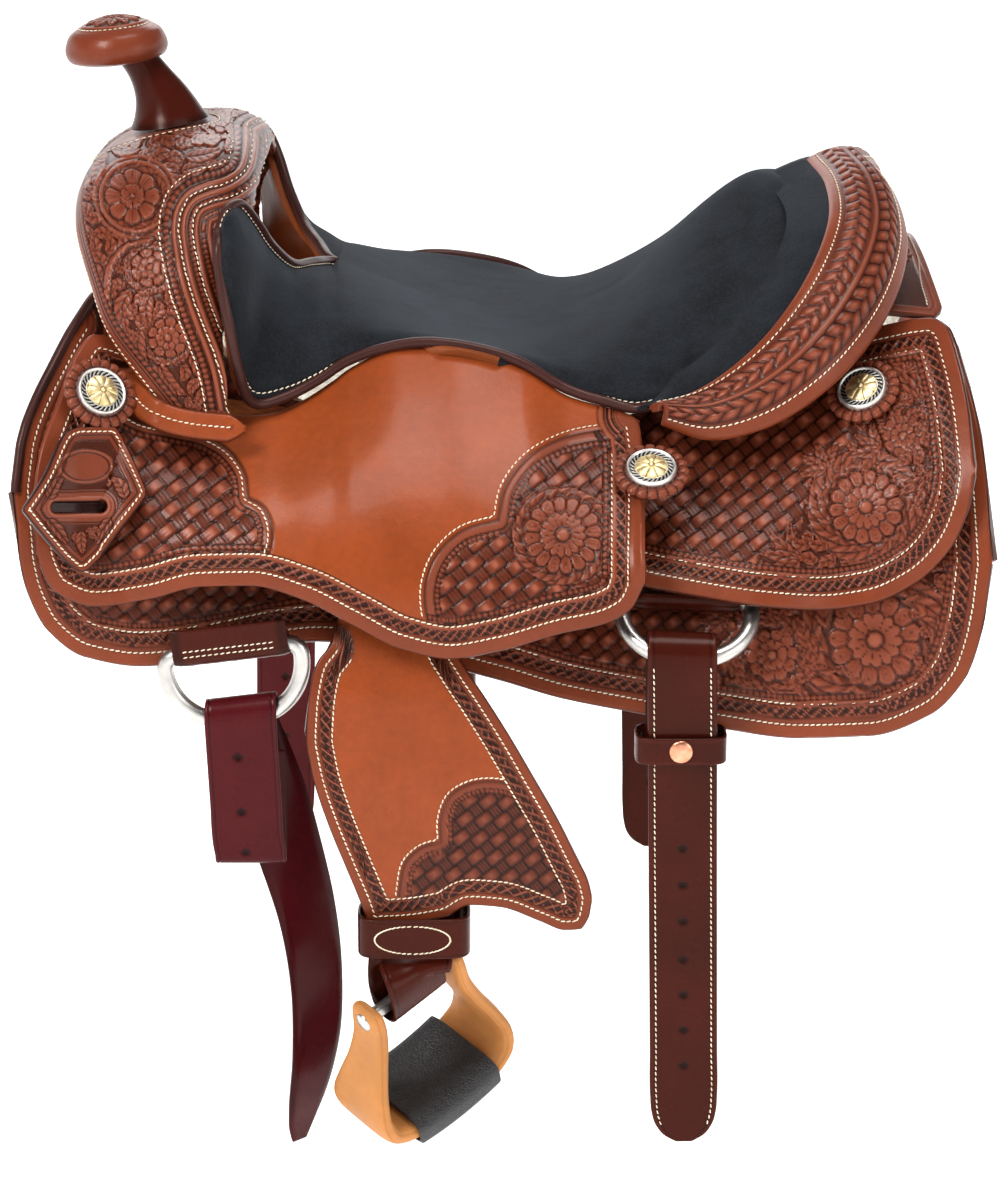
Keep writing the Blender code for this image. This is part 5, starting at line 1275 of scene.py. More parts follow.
for lo, hi in ((0.165, 0.42), (0.515, 0.765)):
    h, tn, wn = plait(s_all, (t - lo) / (hi - lo) * 2 - 1 + 0 * s_all, 16.0)
    f.put(((t > lo) & (t < hi)) * np.ones_like(s_all), h * 1.5 - 0.75, tn, wn)
for c, w2 in ((0.155, 1.5), (0.435, 1.4), (0.505, 1.4), (0.775, 1.5)):
    line_groove(f, dpx, c * wide, w2, 0.35)
ridge_line(f, dpx, 0.47 * wide, 2.2, 0.45)
line_groove(f, dpx, 0.115 * wide, 1.5, 0.3, 1.0, 0.4)
line_groove(f, dpx, 0.815 * wide, 1.5, 0.3, 1.0, 0.4)
f.smooth = np.where((t > 0.83) | (t < 0.10), 0.25, 0.0) * np.ones_like(s_all)
ends = np.minimum(s_mid, s_mid[0, -1] - s_mid) + 0 * t
f.put((ends < 7) * 1.0, 0, 0, 0.1)
dd = np.minimum(np.minimum(dpx, wide - dpx), ends)
shell("cantle_binding_look", P, f.h * MM + rounded(dd, 0.0040), 0.006, TOOLED, "saddle", ["cantle_binding"], f.attrs(), k=6, mirror=False)
thread = Stitches("cantle_thread", "saddle")
N = grid_normals(P)
for tc in (0.115, 0.815):
    i = int(round(tc * 61))
    sew(thread, P[i, 4:-4], N[i, 4:-4], 0.0043, 0.0001)
thread.finish(mirror=False)

# back cover of the cantle
N_B = 120
rb_out = world(along(RIM_OUT, N_B))
rb_out[-1, 1] = 0.0
rows = []
for t in np.linspace(0, 1, 40):
    base = rb_out
    low_x = base[:, 0] * 0.82 + 0.045
    low_y = base[:, 1] * (0.9 - 0.14 * t)
    floor_z = np.maximum(ridge(low_x) + 0.034 - 0.35 * np.abs(low_y) ** 1.35, 0.1135 - 0.0265 * (np.abs(low_y) / 0.134) ** 1.7)
    top = base * np.array([1, 0.95, 1]) + np.array([-0.004, 0, 0.001])
    low = np.stack([low_x, low_y, np.minimum(floor_z - 0.008, top[:, 2] - 0.012)], -1)
    rows.append(top + (low - top) * t)
P = both_halves(np.array(rows)[:, 66:])
f = Field(np.zeros(P.shape[:2]), np.zeros(P.shape[:2]))
s_px = np.r_[0, np.cumsum(np.linalg.norm(np.diff(P[20], axis=0), axis=1))][None, :] / UNIT + np.zeros((40, 1))
v_px = np.linspace(0, 1, 40)[:, None] * np.linalg.norm(np.diff(P, axis=0), axis=-1).sum(0)[None, :] / UNIT
h, tn, wn = weave(s_px, v_px, 15.0, 40)
f.put(np.ones_like(s_px), h - 0.55, tn, wn)
shell("cantle_back_look", P, f.h * MM * 0.8, 0.003, TOOLED, "saddle", ["cantle_back"], f.attrs(), k=6, mirror=False)

# rear housing behind the cantle
n = 190
ys = np.linspace(-0.134, 0.134, n)
rows = []
for t in np.linspace(0, 1, 70):
    x0 = 0.2660 - 0.0300 * smoothstep(0.04, 0.10, np.abs(ys))
    x1 = 0.299 + 0.005 * (np.abs(ys) / 0.118) ** 1.5 - 0.008 * np.clip((np.abs(ys) - 0.117) / 0.017, 0, 1) ** 2
    x = x0 + (x1 - x0) * t
    z = 0.109 - 0.0265 * (np.abs(ys) / 0.134) ** 1.7 - (x - 0.297) * 0.1
    rows.append(np.stack([x, ys, z], -1))
P = np.array(rows)
N = grid_normals(P)
if N[35, 95, 2] < 0:
    P = P[:, ::-1]
    N = grid_normals(P)
sx = np.abs(P[..., 1]) / UNIT
t = np.linspace(0, 1, 70)[:, None] + 0 * sx
vx = t * np.linalg.norm(np.diff(P, axis=0), axis=-1).sum(0)[None, :] / UNIT
f = Field(sx, vx)
ground(f, np.ones_like(sx))
for c in range(0, 176, 17):
    leaf(f, [(c + 2, 34), (c + 10, 22), (c + 7, 8)], 4.6, 3)
    leaf(f, [(c - 4, 30), (c - 1, 18), (c - 7, 8)], 3.6, 3)
dd = np.minimum(vx[-1][None, :] - vx, (0.134 - np.abs(P[..., 1])) / UNIT)
f.put((dd < 13) * 1.0, 0, 0, 0.1)
line_groove(f, dd, 8, 1.3, 0.3, 1.0, 0.4)
edge_look(f, dd)
shell("rear_housing_look", P, f.h * MM + rounded(dd, 0.0018), 0.0042, TOOLED, "saddle", ["rear_housing"], f.attrs(), k=6, mirror=False)
thread = Stitches("rear_housing_thread", "saddle")
row = P[-12, 8:-8]
sew(thread, row, N[-12, 8:-8], 0.0043, 0.0002)
thread.finish(mirror=False)

# suede roll from the seat up to the inner edge of the binding
near_row = near_P[3]
e = rim_in - rim_out
e /= np.linalg.norm(e, axis=1)[:, None]
outward = np.array([0.45, 0, 0.75]) + np.stack([np.zeros(NR), rim_in[:, 1] * 3, np.zeros(NR)], -1)
outward /= np.linalg.norm(outward, axis=1)[:, None]
fade = np.clip(np.arange(NR) / 40.0, 0.25, 1)[:, None]
rows = []
for step_in, fall in ((-0.002, 0.0030), (0.001, 0.0024), (0.0035, 0.0030), (0.008, 0.0060), (0.013, 0.0105), (0.018, 0.0160), (0.023, 0.0220)):
    rows.append(near_row + e * step_in * fade - outward * fall * (0.4 + 0.6 * fade))
roll = both_halves(np.array(rows))
if grid_normals(roll)[3, NR, 2] < 0:
    roll = roll[::-1]
shell("seat_rear_roll", roll, np.zeros(roll.shape[:2]), 0.003, SUEDE, "saddle", (), None, k=4, mirror=False)

# dark rolled edge round the front of the skirts
t_l, b_l = outline(SKIRT_TOP, SKIRT_BOTTOM)
front = np.concatenate([t_l[(t_l[:, 0] < 112)][::-1], b_l[(b_l[:, 0] < 60) & (b_l[:, 1] < 560)]])
front = front[np.r_[True, np.hypot(*np.diff(front, axis=0).T) > 0.4]]
line = lay(front[:, 0] + 1.5, front[:, 1], skirt_half(0.0))
run = np.r_[0, np.cumsum(np.linalg.norm(np.diff(line, axis=0), axis=1))]
at = np.linspace(0, run[-1], 130)
line = np.stack([np.interp(at, run, line[:, i]) for i in range(3)], -1)
for _ in range(5):
    line[1:-1] = (line[:-2] + 2 * line[1:-1] + line[2:]) / 4
tube_piece("skirt_welt_left", line, 0.0034, WELT, "saddle", (), 12)

# ---------------------------------------------------------------- swell cover
SWELL = [(0.2165, 0.026, -0.1985, 0.0175, 0.005), (0.2060, 0.050, -0.2095, 0.0270, 0.008), (0.1850, 0.082, -0.2240, 0.0385, 0.018), (0.1620, 0.111, -0.2290, 0.0465, 0.026), (0.129, 0.137, -0.2285, 0.0585, 0.031), (0.088, 0.153, -0.2300, 0.0625, 0.032), (0.045, 0.159, -0.2300, 0.0640, 0.032), (0.0, 0.160, -0.2300, 0.0640, 0.032)]
sw = np.array([(-y, z, x, a, b) for y, z, x, a, b in SWELL] + [(y, z, x, a, b) for y, z, x, a, b in SWELL[:-1]][::-1])
seg = np.r_[0, np.cumsum(np.hypot(*np.diff(sw[:, :2], axis=0).T))]
N_ARCH, N_ROUND = 560, 250
at = np.linspace(0, seg[-1], N_ARCH)
fine = np.stack([spline(np.column_stack([seg, sw[:, i]]), at, 1) for i in range(5)], -1)
mid_dir = np.gradient(fine[:, :2], axis=0)
mid_dir /= np.linalg.norm(mid_dir, axis=1)[:, None]
out = np.stack([np.zeros(N_ARCH), -mid_dir[:, 1], mid_dir[:, 0]], -1)
g = np.radians(np.linspace(0, 180, N_ROUND))
g = g + 0.12 * np.sin(2 * g) * 0
ca, sa = np.cos(g), np.sin(g)
sx = (np.sign(ca) * np.abs(ca) ** 0.9)[:, None] * (fine[:, 3] + 0.0006)[None, :]
so = (np.abs(sa) ** 0.9)[:, None] * (fine[:, 4] + 0.0006)[None, :]
P = np.stack([fine[None, :, 2] + sx, fine[None, :, 0] + 0 * sx, fine[None, :, 1] + 0 * sx], -1) + out[None] * (so + 0.16 * sx * np.abs(out[None, :, 2]))[..., None]
N = grid_normals(P)
if N[N_ROUND // 2, N_ARCH // 2, 2] < 0:
    P = P[::-1]
    N = grid_normals(P)
    from_rear = False
else:
    from_rear = True
arc = np.vstack([np.zeros((1, N_ARCH)), np.cumsum(np.linalg.norm(np.diff(P, axis=0), axis=-1), axis=0)]) / UNIT
d_rear, d_front = (arc, arc[-1:] - arc) if from_rear else (arc[-1:] - arc, arc)
s_arch = np.r_[0, np.cumsum(np.linalg.norm(np.diff(P[N_ROUND // 2], axis=0), axis=1))][None, :] / UNIT + 0 * arc
s_sym = np.minimum(s_arch, s_arch[0, -1] - s_arch)
u, v = sheet_uv(P)
f = Field(u, v)
ground(f, np.ones_like(u))
BAND = smooth_line([(240, 60), (243, 110), (245, 150), (241, 166), (228, 177), (205, 184), (188, 192), (177, 207), (173, 226), (176, 255), (184, 290), (196, 325), (210, 362), (222, 420)], 60)
right_of = inside(u, v, list(map(tuple, BAND)) + [(420, 420), (420, 60)])
d_band, s_band = seg_dist(u, v, BAND)
side = np.where(right_of, d_band, -d_band)
# medallion, lower flowers and leaves
swirl(f, 136, 197, 27, n=10, reach=1.32, start=0.3)
flower(f, 133, 197, 27, petals=8, layers=1, deep=1.5)
flower(f, 133, 197, 12, petals=8, layers=1, rot=0.4, deep=1.7)
for (cx, cy, r), petals in (((150, 268, 19), 7), ((168, 338, 20), 9), ((222, 120, 14), 7)):
    swirl(f, cx, cy, r * 0.9, n=8, reach=1.5, start=0.2)
    flower(f, cx, cy, r, petals=petals, layers=2, deep=1.4)
for pts, w in (
    ([(176, 262), (184, 280), (183, 300)], 6.5),
    ([(124, 246), (112, 262), (108, 284)], 6.0),
    ([(130, 290), (122, 308), (128, 330)], 6.5),
    ([(150, 296), (146, 312), (150, 326)], 6.0),
    ([(182, 306), (194, 326), (199, 345)], 6.0),
    ([(140, 330), (138, 350), (148, 368)], 6.5),
    ([(160, 366), (170, 384), (186, 396)], 6.0),
    ([(190, 356), (204, 376), (208, 396)], 6.0),
    ([(182, 172), (196, 168), (212, 164)], 6.0),
    ([(186, 158), (202, 156), (222, 150)], 5.5),
    ([(104, 158), (98, 172), (94, 186)], 5.0),
    ([(112, 150), (126, 152), (140, 150)], 4.5),
    ([(226, 152), (232, 140), (231, 128)], 5.0),
    ([(205, 130), (204, 116), (208, 104)], 5.5),
    ([(236, 118), (238, 104), (232, 92)], 5.0),
):
    leaf(f, pts, w, veins=4, high=1.1)
d_ring = np.hypot(u - 136, v - 197)
fill_leaves(f, (side < -7) * 1.0, 15.0, 9.0, 4.8, 5, [(136, 197), (150, 268), (168, 338)])
near_side = np.ones_like(u)
for r0 in (34.5, 40.5):
    ridge_line(f, d_ring, r0, 2.6, 0.9, d_band > 3)
line_groove(f, d_ring, 37.6, 2.0, 0.5, (d_band > 3) * 1.0)
drop = smooth_line([(150, 240), (128, 246), (113, 262), (107, 290), (112, 325), (128, 360)], 30)
d_drop, _ = seg_dist(u, v, drop)
ridge_line(f, d_drop, 0, 3.0, 0.95, (side < -6) * 1.0)
line_groove(f, d_drop, 4.2, 1.8, 0.4, (side < -6) * 1.0)
# rear border: raised lines, shells and smooth bands that follow the curve
f.put((side > -1.5).astype(float), 0.0, 0.0, 0.12)
wv = (side > 40) * 1.0
h, tn, wn = weave(d_rear, s_arch, 12.0, 20)
f.put(wv, h * 0.8 - 0.5, tn, wn)
for c, wd, hi in ((1.0, 2.6, 0.9), (10.5, 2.4, 0.8), (23.5, 2.4, 0.8), (36.5, 2.4, 0.8)):
    ridge_line(f, side, c, wd, hi)
    line_groove(f, side, c + 3.6, 1.6, 0.45)
    line_groove(f, side, c - 3.4, 1.6, 0.45)
scallops(f, side, s_band, -7.5, 4.0, 6.0)
scallops(f, side, s_band, 17.5, 3.2, 5.5)
scallops(f, side, s_band, 30.5, 3.2, 5.5)
# front border
f.put((d_front < 19).astype(float), 0.0, 0.0, 0.1)
line_groove(f, d_front, 14.0, 1.6, 0.45)
scallops(f, d_front, s_sym, 21.0, 4.0, 6.0)
f.smooth = np.maximum(f.smooth, smoothstep(8.5, 5.5, d_front))
# round the horn
CX, CZ = -0.2445, 0.0
foot_r = np.hypot((P[..., 0] - CX) / 1.10, P[..., 1]) / UNIT
foot_s = np.arctan2(P[..., 1], P[..., 0] - CX) * 52
on_top = (P[..., 2] > 0.13) * 1.0
f.put(on_top * (foot_r < 52), 0.0, 0.0, 0.15)
line_groove(f, foot_r, 47.0, 2.0, 0.6, on_top)
scallops(f, foot_r, foot_s, 52.5, 4.0, 6.2, on_top)
line_groove(f, foot_r, 58.0, 1.6, 0.4, on_top)
ends = np.minimum(s_arch, s_arch[0, -1] - s_arch)
dd = np.minimum(np.minimum(d_rear, d_front), ends)
f.put((ends < 12).astype(float), 0, 0, 0.1)
line_groove(f, ends, 7.5, 1.4, 0.35)
shell("swell_cover_look", P, f.h * MM * 0.9 + rounded(dd, 0.0020), 0.0042, TOOLED, "saddle", ["swell_cover"], f.attrs(), k=8, mirror=False)
thread = Stitches("swell_thread", "saddle")


def iso_points(field, value, start, stop):
    """Points and normals where a field that grows along the rows crosses a value, one per column."""
    pts, nrm = [], []
    for j in range(start, stop):
        col = field[:, j]
        i = np.nonzero((col[:-1] - value) * (col[1:] - value) <= 0)[0]
        if not len(i):
            continue
        i = i[0]
        w = (value - col[i]) / (col[i + 1] - col[i] + 1e-12)
        pts.append(P[i, j] * (1 - w) + P[i + 1, j] * w)
        nrm.append(N[i, j])
    return np.array(pts), np.array(nrm)


p, n = iso_points(d_front, 7.2, 6, N_ARCH - 6)
sew(thread, p, n, 0.0040, 0.0003)
for off in (-14.0, 6.0, 19.8):
    line = offset_line([(241, 128)] + list(map(tuple, BAND[12:])), abs(off), 1 if off < 0 else -1, 70)
    if off > 0 and (np.mean(line[:, 0]) < np.mean(BAND[12:, 0])) or off < 0 and (np.mean(line[:, 0]) > np.mean(BAND[12:, 0])):
        line = offset_line([(241, 128)] + list(map(tuple, BAND[12:])), abs(off), -1 if off < 0 else 1, 70)
    q = resample(line, 5.4)
    # nearest point of the near side's surface for each drawn point
    half = N_ARCH // 2
    uu, vv = u[::3, :half:2].ravel(), v[::3, :half:2].ravel()
    PP, NN = P[::3, :half:2].reshape(-1, 3), N[::3, :half:2].reshape(-1, 3)
    facing = NN[:, 1] < 0.12
    uu, vv, PP, NN = uu[facing], vv[facing], PP[facing], NN[facing]
    pts, nrm = [], []
    for x, y in q:
        k = np.hypot(uu - x, vv - y)
        order = np.argpartition(k, 4)[:4]
        w = 1 / (k[order] + 1e-3)
        if k[order].min() > 2.5:
            continue
        pts.append((PP[order] * w[:, None]).sum(0) / w.sum())
        nn = (NN[order] * w[:, None]).sum(0)
        nrm.append(nn / np.linalg.norm(nn))
    pts, nrm = np.array(pts), np.array(nrm)
    if len(pts) > 4:
        for s in (1, -1):
            m = np.array([1, s, 1])
            thread.world(pts * m if s == 1 else (pts * m)[::-1], nrm * m if s == 1 else (nrm * m)[::-1], 0.0027, 0.00048, 0.0010)

# ---------------------------------------------------------------- horn
HORN_BASE = Vector((float(sheet_point(170, 128, 0)[0]), 0, 0.1932))
HORN_TOP = Vector((float(sheet_point(140, 50, 0)[0]), 0, float(sheet_point(140, 50, 0)[1])))
CAP_AT = HORN_TOP + Vector((-0.0170, 0, 0.0085))


def swept(name, profile, frame_at, mat, nodes, attrs_fn=None, steps=96, sharp=50, mirror=False, body="saddle"):
    """Solid turned about a bent axis: profile is closed, as (t or height, radius) pairs; frame_at gives the ring."""
    rings = [frame_at(t, r, steps) for t, r in profile]
    verts = np.array([[tuple(p) for p in ring] for ring in rings])
    m = len(profile)
    idx = np.arange(m * steps).reshape(m, steps)
    nxt, rgt = np.roll(idx, -1, axis=0), np.roll(idx, -1, axis=1)
    both = np.roll(nxt, -1, axis=1)
    quads = np.stack([idx, rgt, both, nxt], -1).reshape(-1, 4)
    attrs = attrs_fn(verts) if attrs_fn else {"tint": np.zeros(m * steps)}
    verts = verts.reshape(-1, 3)
    c = verts[quads]
    vol = (np.cross(c[:, 1] - c[:, 0], c[:, 2] - c[:, 0]) * c[:, 0]).sum() + (np.cross(c[:, 2] - c[:, 0], c[:, 3] - c[:, 0]) * c[:, 0]).sum()
    if vol < 0:
        quads = quads[:, ::-1]
    return clones(name, verts, quads, mat, body, attrs, mirror, sharp, nodes)


def horn_ring(t, radius, steps):
    low, high = HORN_BASE, CAP_AT + Vector((0.0165, 0, -0.0150))
    c = low + (high - low) * t + Vector((0.0045 * math.sin(math.pi * max(t, 0)), 0, 0))
    tilt = math.radians(-9.1 + 3.4 * t)
    return [c + Vector((math.cos(a) * radius * math.cos(tilt), math.sin(a) * radius, -math.cos(a) * radius * math.sin(tilt))) for a in np.linspace(0, 2 * math.pi, steps, endpoint=False)]


outer = [(0.0, 0.0282), (0.12, 0.0250), (0.30, 0.0216), (0.55, 0.0180), (0.80, 0.0153), (1.0, 0.0146)]
ot = np.linspace(0, 1, 44)
orad = spline(np.array(outer), ot, 1)
wob = lambda t: 0.0
profile = [(t, r + wob(t)) for t, r in zip(ot, orad)] + [(1.05, 0.0146), (1.05, 0.0112), (0.5, 0.0112), (0.0, 0.0112)]
swept("horn_wrap_look", profile, horn_ring, DARK, ["horn_wrap"], lambda V: {"tint": (smoothstep(0.004, 0.0, np.abs(V[..., 2] - V[1:2, :, 2] - 0.0004)) * 0.6).ravel(), "worn": np.zeros(V.shape[:2]).ravel(), "smooth": np.zeros(V.shape[:2]).ravel()})

cap_axis = Vector((-0.10, 0, 1)).normalized()
cap_x = Vector((1, 0, 0.10)).normalized()


def cap_ring(h, radius, steps):
    return [CAP_AT + cap_axis * h + cap_x * (math.cos(a) * radius) + Vector((0, math.sin(a) * radius, 0)) for a in np.linspace(0, 2 * math.pi, steps, endpoint=False)]


# carved top of the cap as a disc of rings, the rim smooth
rim_pts = smooth_line([(0.0286, 0.0072), (0.0322, 0.0044), (0.0347, 0.0000), (0.0362, -0.0062), (0.0356, -0.0100), (0.0333, -0.0136), (0.0300, -0.0150), (0.0240, -0.0165)], 34)
steps, n_top = 300, 84
r_top = np.linspace(0.0004, 0.0286, n_top)
h_top = 0.0152 - 0.0080 * (r_top / 0.0286) ** 2
ang = np.linspace(0, 2 * math.pi, steps, endpoint=False)
R, A = np.meshgrid(r_top, ang, indexing="ij")
f = Field(R * np.cos(A) / UNIT * 1.0, R * np.sin(A) / UNIT)
ground(f, (R < 0.0215).astype(float))
for k in range(10):
    a = 2 * math.pi * k / 10 + 0.3
    leaf(f, [(7 * math.cos(a), 7 * math.sin(a)), (16 * math.cos(a + 0.10), 16 * math.sin(a + 0.10)), (26 * math.cos(a), 26 * math.sin(a))], 4.6, veins=3, high=1.2)
flower(f, 0, 0, 9, petals=8, layers=1, deep=1.3)
rho = R / UNIT
ridge_line(f, rho, 29.5, 2.2, 0.7)
line_groove(f, rho, 32.5, 1.6, 0.4)
f.h[R > 0.0262] *= 0.2
top_rings = np.stack([[tuple(p) for p in cap_ring(h_top[i], r_top[i], steps)] for i in range(n_top)])
top_rings = top_rings + np.array(cap_axis)[None, None] * (f.h * MM * 0.85)[..., None]
rest = np.array([[tuple(p) for p in cap_ring(h, r, steps)] for r, h in rim_pts[1:]] + [[tuple(p) for p in cap_ring(-0.0165, 0.0006, steps)]])
V = np.concatenate([top_rings, rest])
m = len(V)
idx = np.arange(m * steps).reshape(m, steps)
quads = np.stack([idx[:-1], idx[1:], np.roll(idx[1:], -1, axis=1), np.roll(idx[:-1], -1, axis=1)], -1).reshape(-1, 4)
ng = [list(idx[0]), list(idx[-1][::-1])]
at = {k: np.concatenate([val.ravel(), np.zeros((m - n_top) * steps)]) for k, val in f.attrs().items()}
cap_mesh = raw_mesh("horn_cap_look", V.reshape(-1, 3), quads, ng, at, 60)
add("horn_cap_look", cap_mesh, TOOLED, "saddle", ["horn_cap"])
line = np.array([tuple(p) for p in cap_ring(0.0095, 0.0252, 44)])
thread.world(line, np.repeat(np.array(cap_axis)[None], 44, 0), 0.0024, 0.00046, -0.0003)
# seam under the rim and the collar's stitches on the swell
a = np.linspace(0, 2 * math.pi, 60, endpoint=False)
cx, cy = CX + 0.0415 * 1.10 * np.cos(a), 0.0415 * np.sin(a)
top_half = (np.abs(P[..., 1]) < 0.07)
PX, PY, PZ, PN = P[..., 0][top_half], P[..., 1][top_half], P[..., 2][top_half], N[top_half]
pts, nrm = [], []
for x, y in zip(cx, cy):
    k = np.hypot(PX - x, PY - y) + np.where(PZ < 0.13, 1, 0)
    i = int(np.argmin(k))
    pts.append((PX[i], PY[i], PZ[i]))
    nrm.append(PN[i])
pts, nrm = np.array(pts), np.array(nrm)
for _ in range(4):
    pts = (np.roll(pts, 1, 0) + 2 * pts + np.roll(pts, -1, 0)) / 4
thread.world(pts, nrm, 0.0030, 0.0005, 0.0006)
thread.finish(mirror=False)

# ---------------------------------------------------------------- rosettes and conchos
def surface_frame(u, v, half, lift):
    d = 6.0
    p = lay(np.array([u]), np.array([v]), half)[0]
    pu = lay(np.array([u + d]), np.array([v]), half)[0] - lay(np.array([u - d]), np.array([v]), half)[0]
    pv = lay(np.array([u]), np.array([v + d]), half)[0] - lay(np.array([u]), np.array([v - d]), half)[0]
    z = np.cross(pu, pv)
    z /= np.linalg.norm(z)
    if z[1] > 0:
        z = -z
    x = pu - z * (pu @ z)
    x /= np.linalg.norm(x)
    return p + z * lift, x, np.cross(z, x), z


def polar_piece(name, at, radius, height, mat, body, nodes, attrs, n_r=60, n_a=240, low=0.0):
    """Turned relief on a frame: radius(a) is its outline and height(r, a) its face."""
    o, x, y, z = at
    q = np.linspace(0.004, 1, n_r)
    a = np.linspace(0, 2 * np.pi, n_a, endpoint=False)
    Q, A = np.meshgrid(q, a, indexing="ij")
    R = Q * radius(A)
    H = height(R, A, Q)
    at_ = {k: fn(R, A, Q) * np.ones_like(R) for k, fn in attrs.items()}
    top = o + x * (R * np.cos(A))[..., None] + y * (R * np.sin(A))[..., None] + z * H[..., None]
    rim = o + x * (R[-1] * np.cos(a))[:, None] + y * (R[-1] * np.sin(a))[:, None] + z * low
    V = np.concatenate([top.reshape(-1, 3), rim])
    idx = np.arange((n_r + 1) * n_a).reshape(n_r + 1, n_a)
    quads = np.stack([idx[:-1], idx[1:], np.roll(idx[1:], -1, axis=1), np.roll(idx[:-1], -1, axis=1)], -1).reshape(-1, 4)
    full = {k: np.concatenate([w.ravel(), w[-1]]) for k, w in at_.items()}
    for k in ("tint", "worn", "smooth"):
        full.setdefault(k, np.zeros(len(V)))
    ng = [list(idx[0]), list(idx[-1][::-1])]
    out = [add(name, raw_mesh(name, V, quads, ng, full, 60), mat, body, nodes)]
    V2, q2, ng2 = flip(V, quads, ng)
    out.append(add(name.replace("_left", "_right"), raw_mesh(name.replace("_left", "_right"), V2, q2, ng2, full, 60), mat, body, [n.replace("_left", "_right") for n in nodes]))
    return out


ORNAMENTS = [
    ("front", 95, 399, side_half, 0.0080),
    ("middle", 651, 476, lambda u, v, x, z: np.maximum(side_half(np.minimum(u, 640), v, x, z), barrel(x, z) + 0.016), 0.0030),
    ("rear", 865, 395, rear_half, 0.0035),
]
for place, u, v, half, lift in ORNAMENTS:
    o, x, y, z = surface_frame(u, v, half, lift)
    R0 = 0.0250
    scal = 20

    def rosette_h(R, A, Q):
        lobe = np.abs(np.cos(scal * A / 2))
        band = smoothstep(0.70, 0.78, Q)
        bead = band * (0.0008 * lobe**0.6) + (1 - band) * 0.0004
        groove = -0.0006 * np.exp(-(((Q - 0.735) / 0.022) ** 2)) - 0.0005 * band * smoothstep(0.28, 0.05, lobe)
        return 0.0030 + bead + groove - 0.0014 * smoothstep(0.90, 1.0, Q)

    def rosette_t(R, A, Q):
        lobe = np.abs(np.cos(scal * A / 2))
        return np.clip(np.exp(-(((Q - 0.735) / 0.03) ** 2)) + smoothstep(0.32, 0.06, lobe) * smoothstep(0.74, 0.80, Q), 0, 1) * 0.9

    polar_piece("rosette_%s_left_look" % place, (o, x, y, z), lambda A: R0 * (0.945 + 0.055 * np.abs(np.cos(scal * A / 2)) ** 0.7), rosette_h, TOOLED, "saddle", ["rosette_%s_left" % place], {"tint": rosette_t, "worn": lambda R, A, Q: 0.30 * smoothstep(0.80, 0.9, Q) * np.abs(np.cos(scal * A / 2))}, 44, 300)
    RC = 0.0170

    def concho_h(R, A, Q):
        rim = 0.0010 * np.exp(-(((Q - 0.93) / 0.055) ** 2))
        ring = -0.0004 * ((Q > 0.66) & (Q < 0.86)) + 0.00035 * ((Q > 0.68) & (Q < 0.84)) * (np.sin(A * 26 + Q * 30) > 0.2)
        lobe = np.abs(np.cos(4 * A))
        inner = Q < 0.64 * (0.90 + 0.10 * lobe)
        petal = inner * (0.0022 * (1 - (Q / 0.68) ** 2) + 0.0006 * lobe**0.6 * smoothstep(0.10, 0.4, Q) + 0.0002)
        bead = 0.0011 * np.sqrt(np.clip(1 - (Q / 0.10) ** 2, 0, 1))
        return 0.0036 + 0.0022 + rim + ring + petal + bead - 0.0012 * smoothstep(0.96, 1.0, Q)

    def concho_t(R, A, Q):
        lobe = np.abs(np.cos(4 * A))
        dark = ((Q > 0.66) & (Q < 0.86)) * np.where(np.sin(A * 26 + Q * 30) > 0.2, 0.45, 1.0)
        cut = (Q < 0.64) * smoothstep(0.20, 0.03, lobe) * (Q > 0.12)
        return np.clip(dark + cut * 0.9 + np.exp(-(((Q - 0.115) / 0.015) ** 2)), 0, 1)

    polar_piece("concho_%s_left_look" % place, (o, x, y, z), lambda A: RC + 0 * A, concho_h, CONCHO, "saddle", ["concho_%s_left" % place], {"tint": concho_t, "smooth": lambda R, A, Q: (Q < 0.64) * 1.0}, 70, 300, 0.0034)

# ---------------------------------------------------------------- kite keeper with its slot
gu, gv = panel_grid(KEEPER_TOP, KEEPER_BOTTOM, 190, 190, least=3.0)
P = lay(gu, gv, keeper_half)
f = Field(gu, gv)
t_line, b_line = outline(KEEPER_TOP, KEEPER_BOTTOM, 150, 3.0)
rim = np.concatenate([t_line, b_line[::-1], t_line[:1]])
d, s = seg_dist(gu, gv, rim)
dots = (d > 15.0) * 1.0
ground(f, dots)
oval = np.hypot((gu - 84) / 27.0, (gv - 468) / 15.5)
f.put(smoothstep(1.06, 0.98, oval), 0.1, 0.0, 0.12)
ridge_line(f, oval * 20, 20.5, 2.0, 0.8)
line_groove(f, oval * 20, 17.6, 1.4, 0.35)
sl_u, sl_v = gu - 78, gv - 508
slot_d = np.hypot(np.maximum(np.abs(sl_u) - 24, 0), sl_v)
f.put(smoothstep(17.5, 16.0, slot_d), 0.0, 0.0, 0.1)
line_groove(f, slot_d, 15.0, 1.5, 0.4)
ridge_line(f, slot_d, 8.6, 2.4, 0.7)
# The slot is a shallow cut painted near black: painted shade standing in for the opening.
cut = smoothstep(6.2, 4.6, slot_d)
f.h = f.h * (1 - cut) - 3.2 * cut
f.tint = np.maximum(f.tint, smoothstep(7.0, 5.4, slot_d))
for pts in ([(44, 520), (56, 532), (66, 545)], [(112, 520), (104, 532), (94, 545)], [(46, 500), (52, 486), (60, 478)], [(126, 500), (120, 486), (112, 480)], [(80, 532), (80, 544), (82, 554)]):
    leaf(f, pts, 4.6, veins=3, high=0.9)
fill_leaves(f, (d > 17) * (oval > 1.2) * (slot_d > 20), 10.5, 6.0, 3.8, 21, [(84, 468), (78, 540)])
line_groove(f, d, 9.0, 1.6, 0.35)
line_groove(f, d, 14.0, 1.6, 0.35)
f.smooth = np.where(d < 8, 0.15, 0.0)
f.tint = np.maximum(f.tint, smoothstep(2.6, 0.6, d) * 0.9)
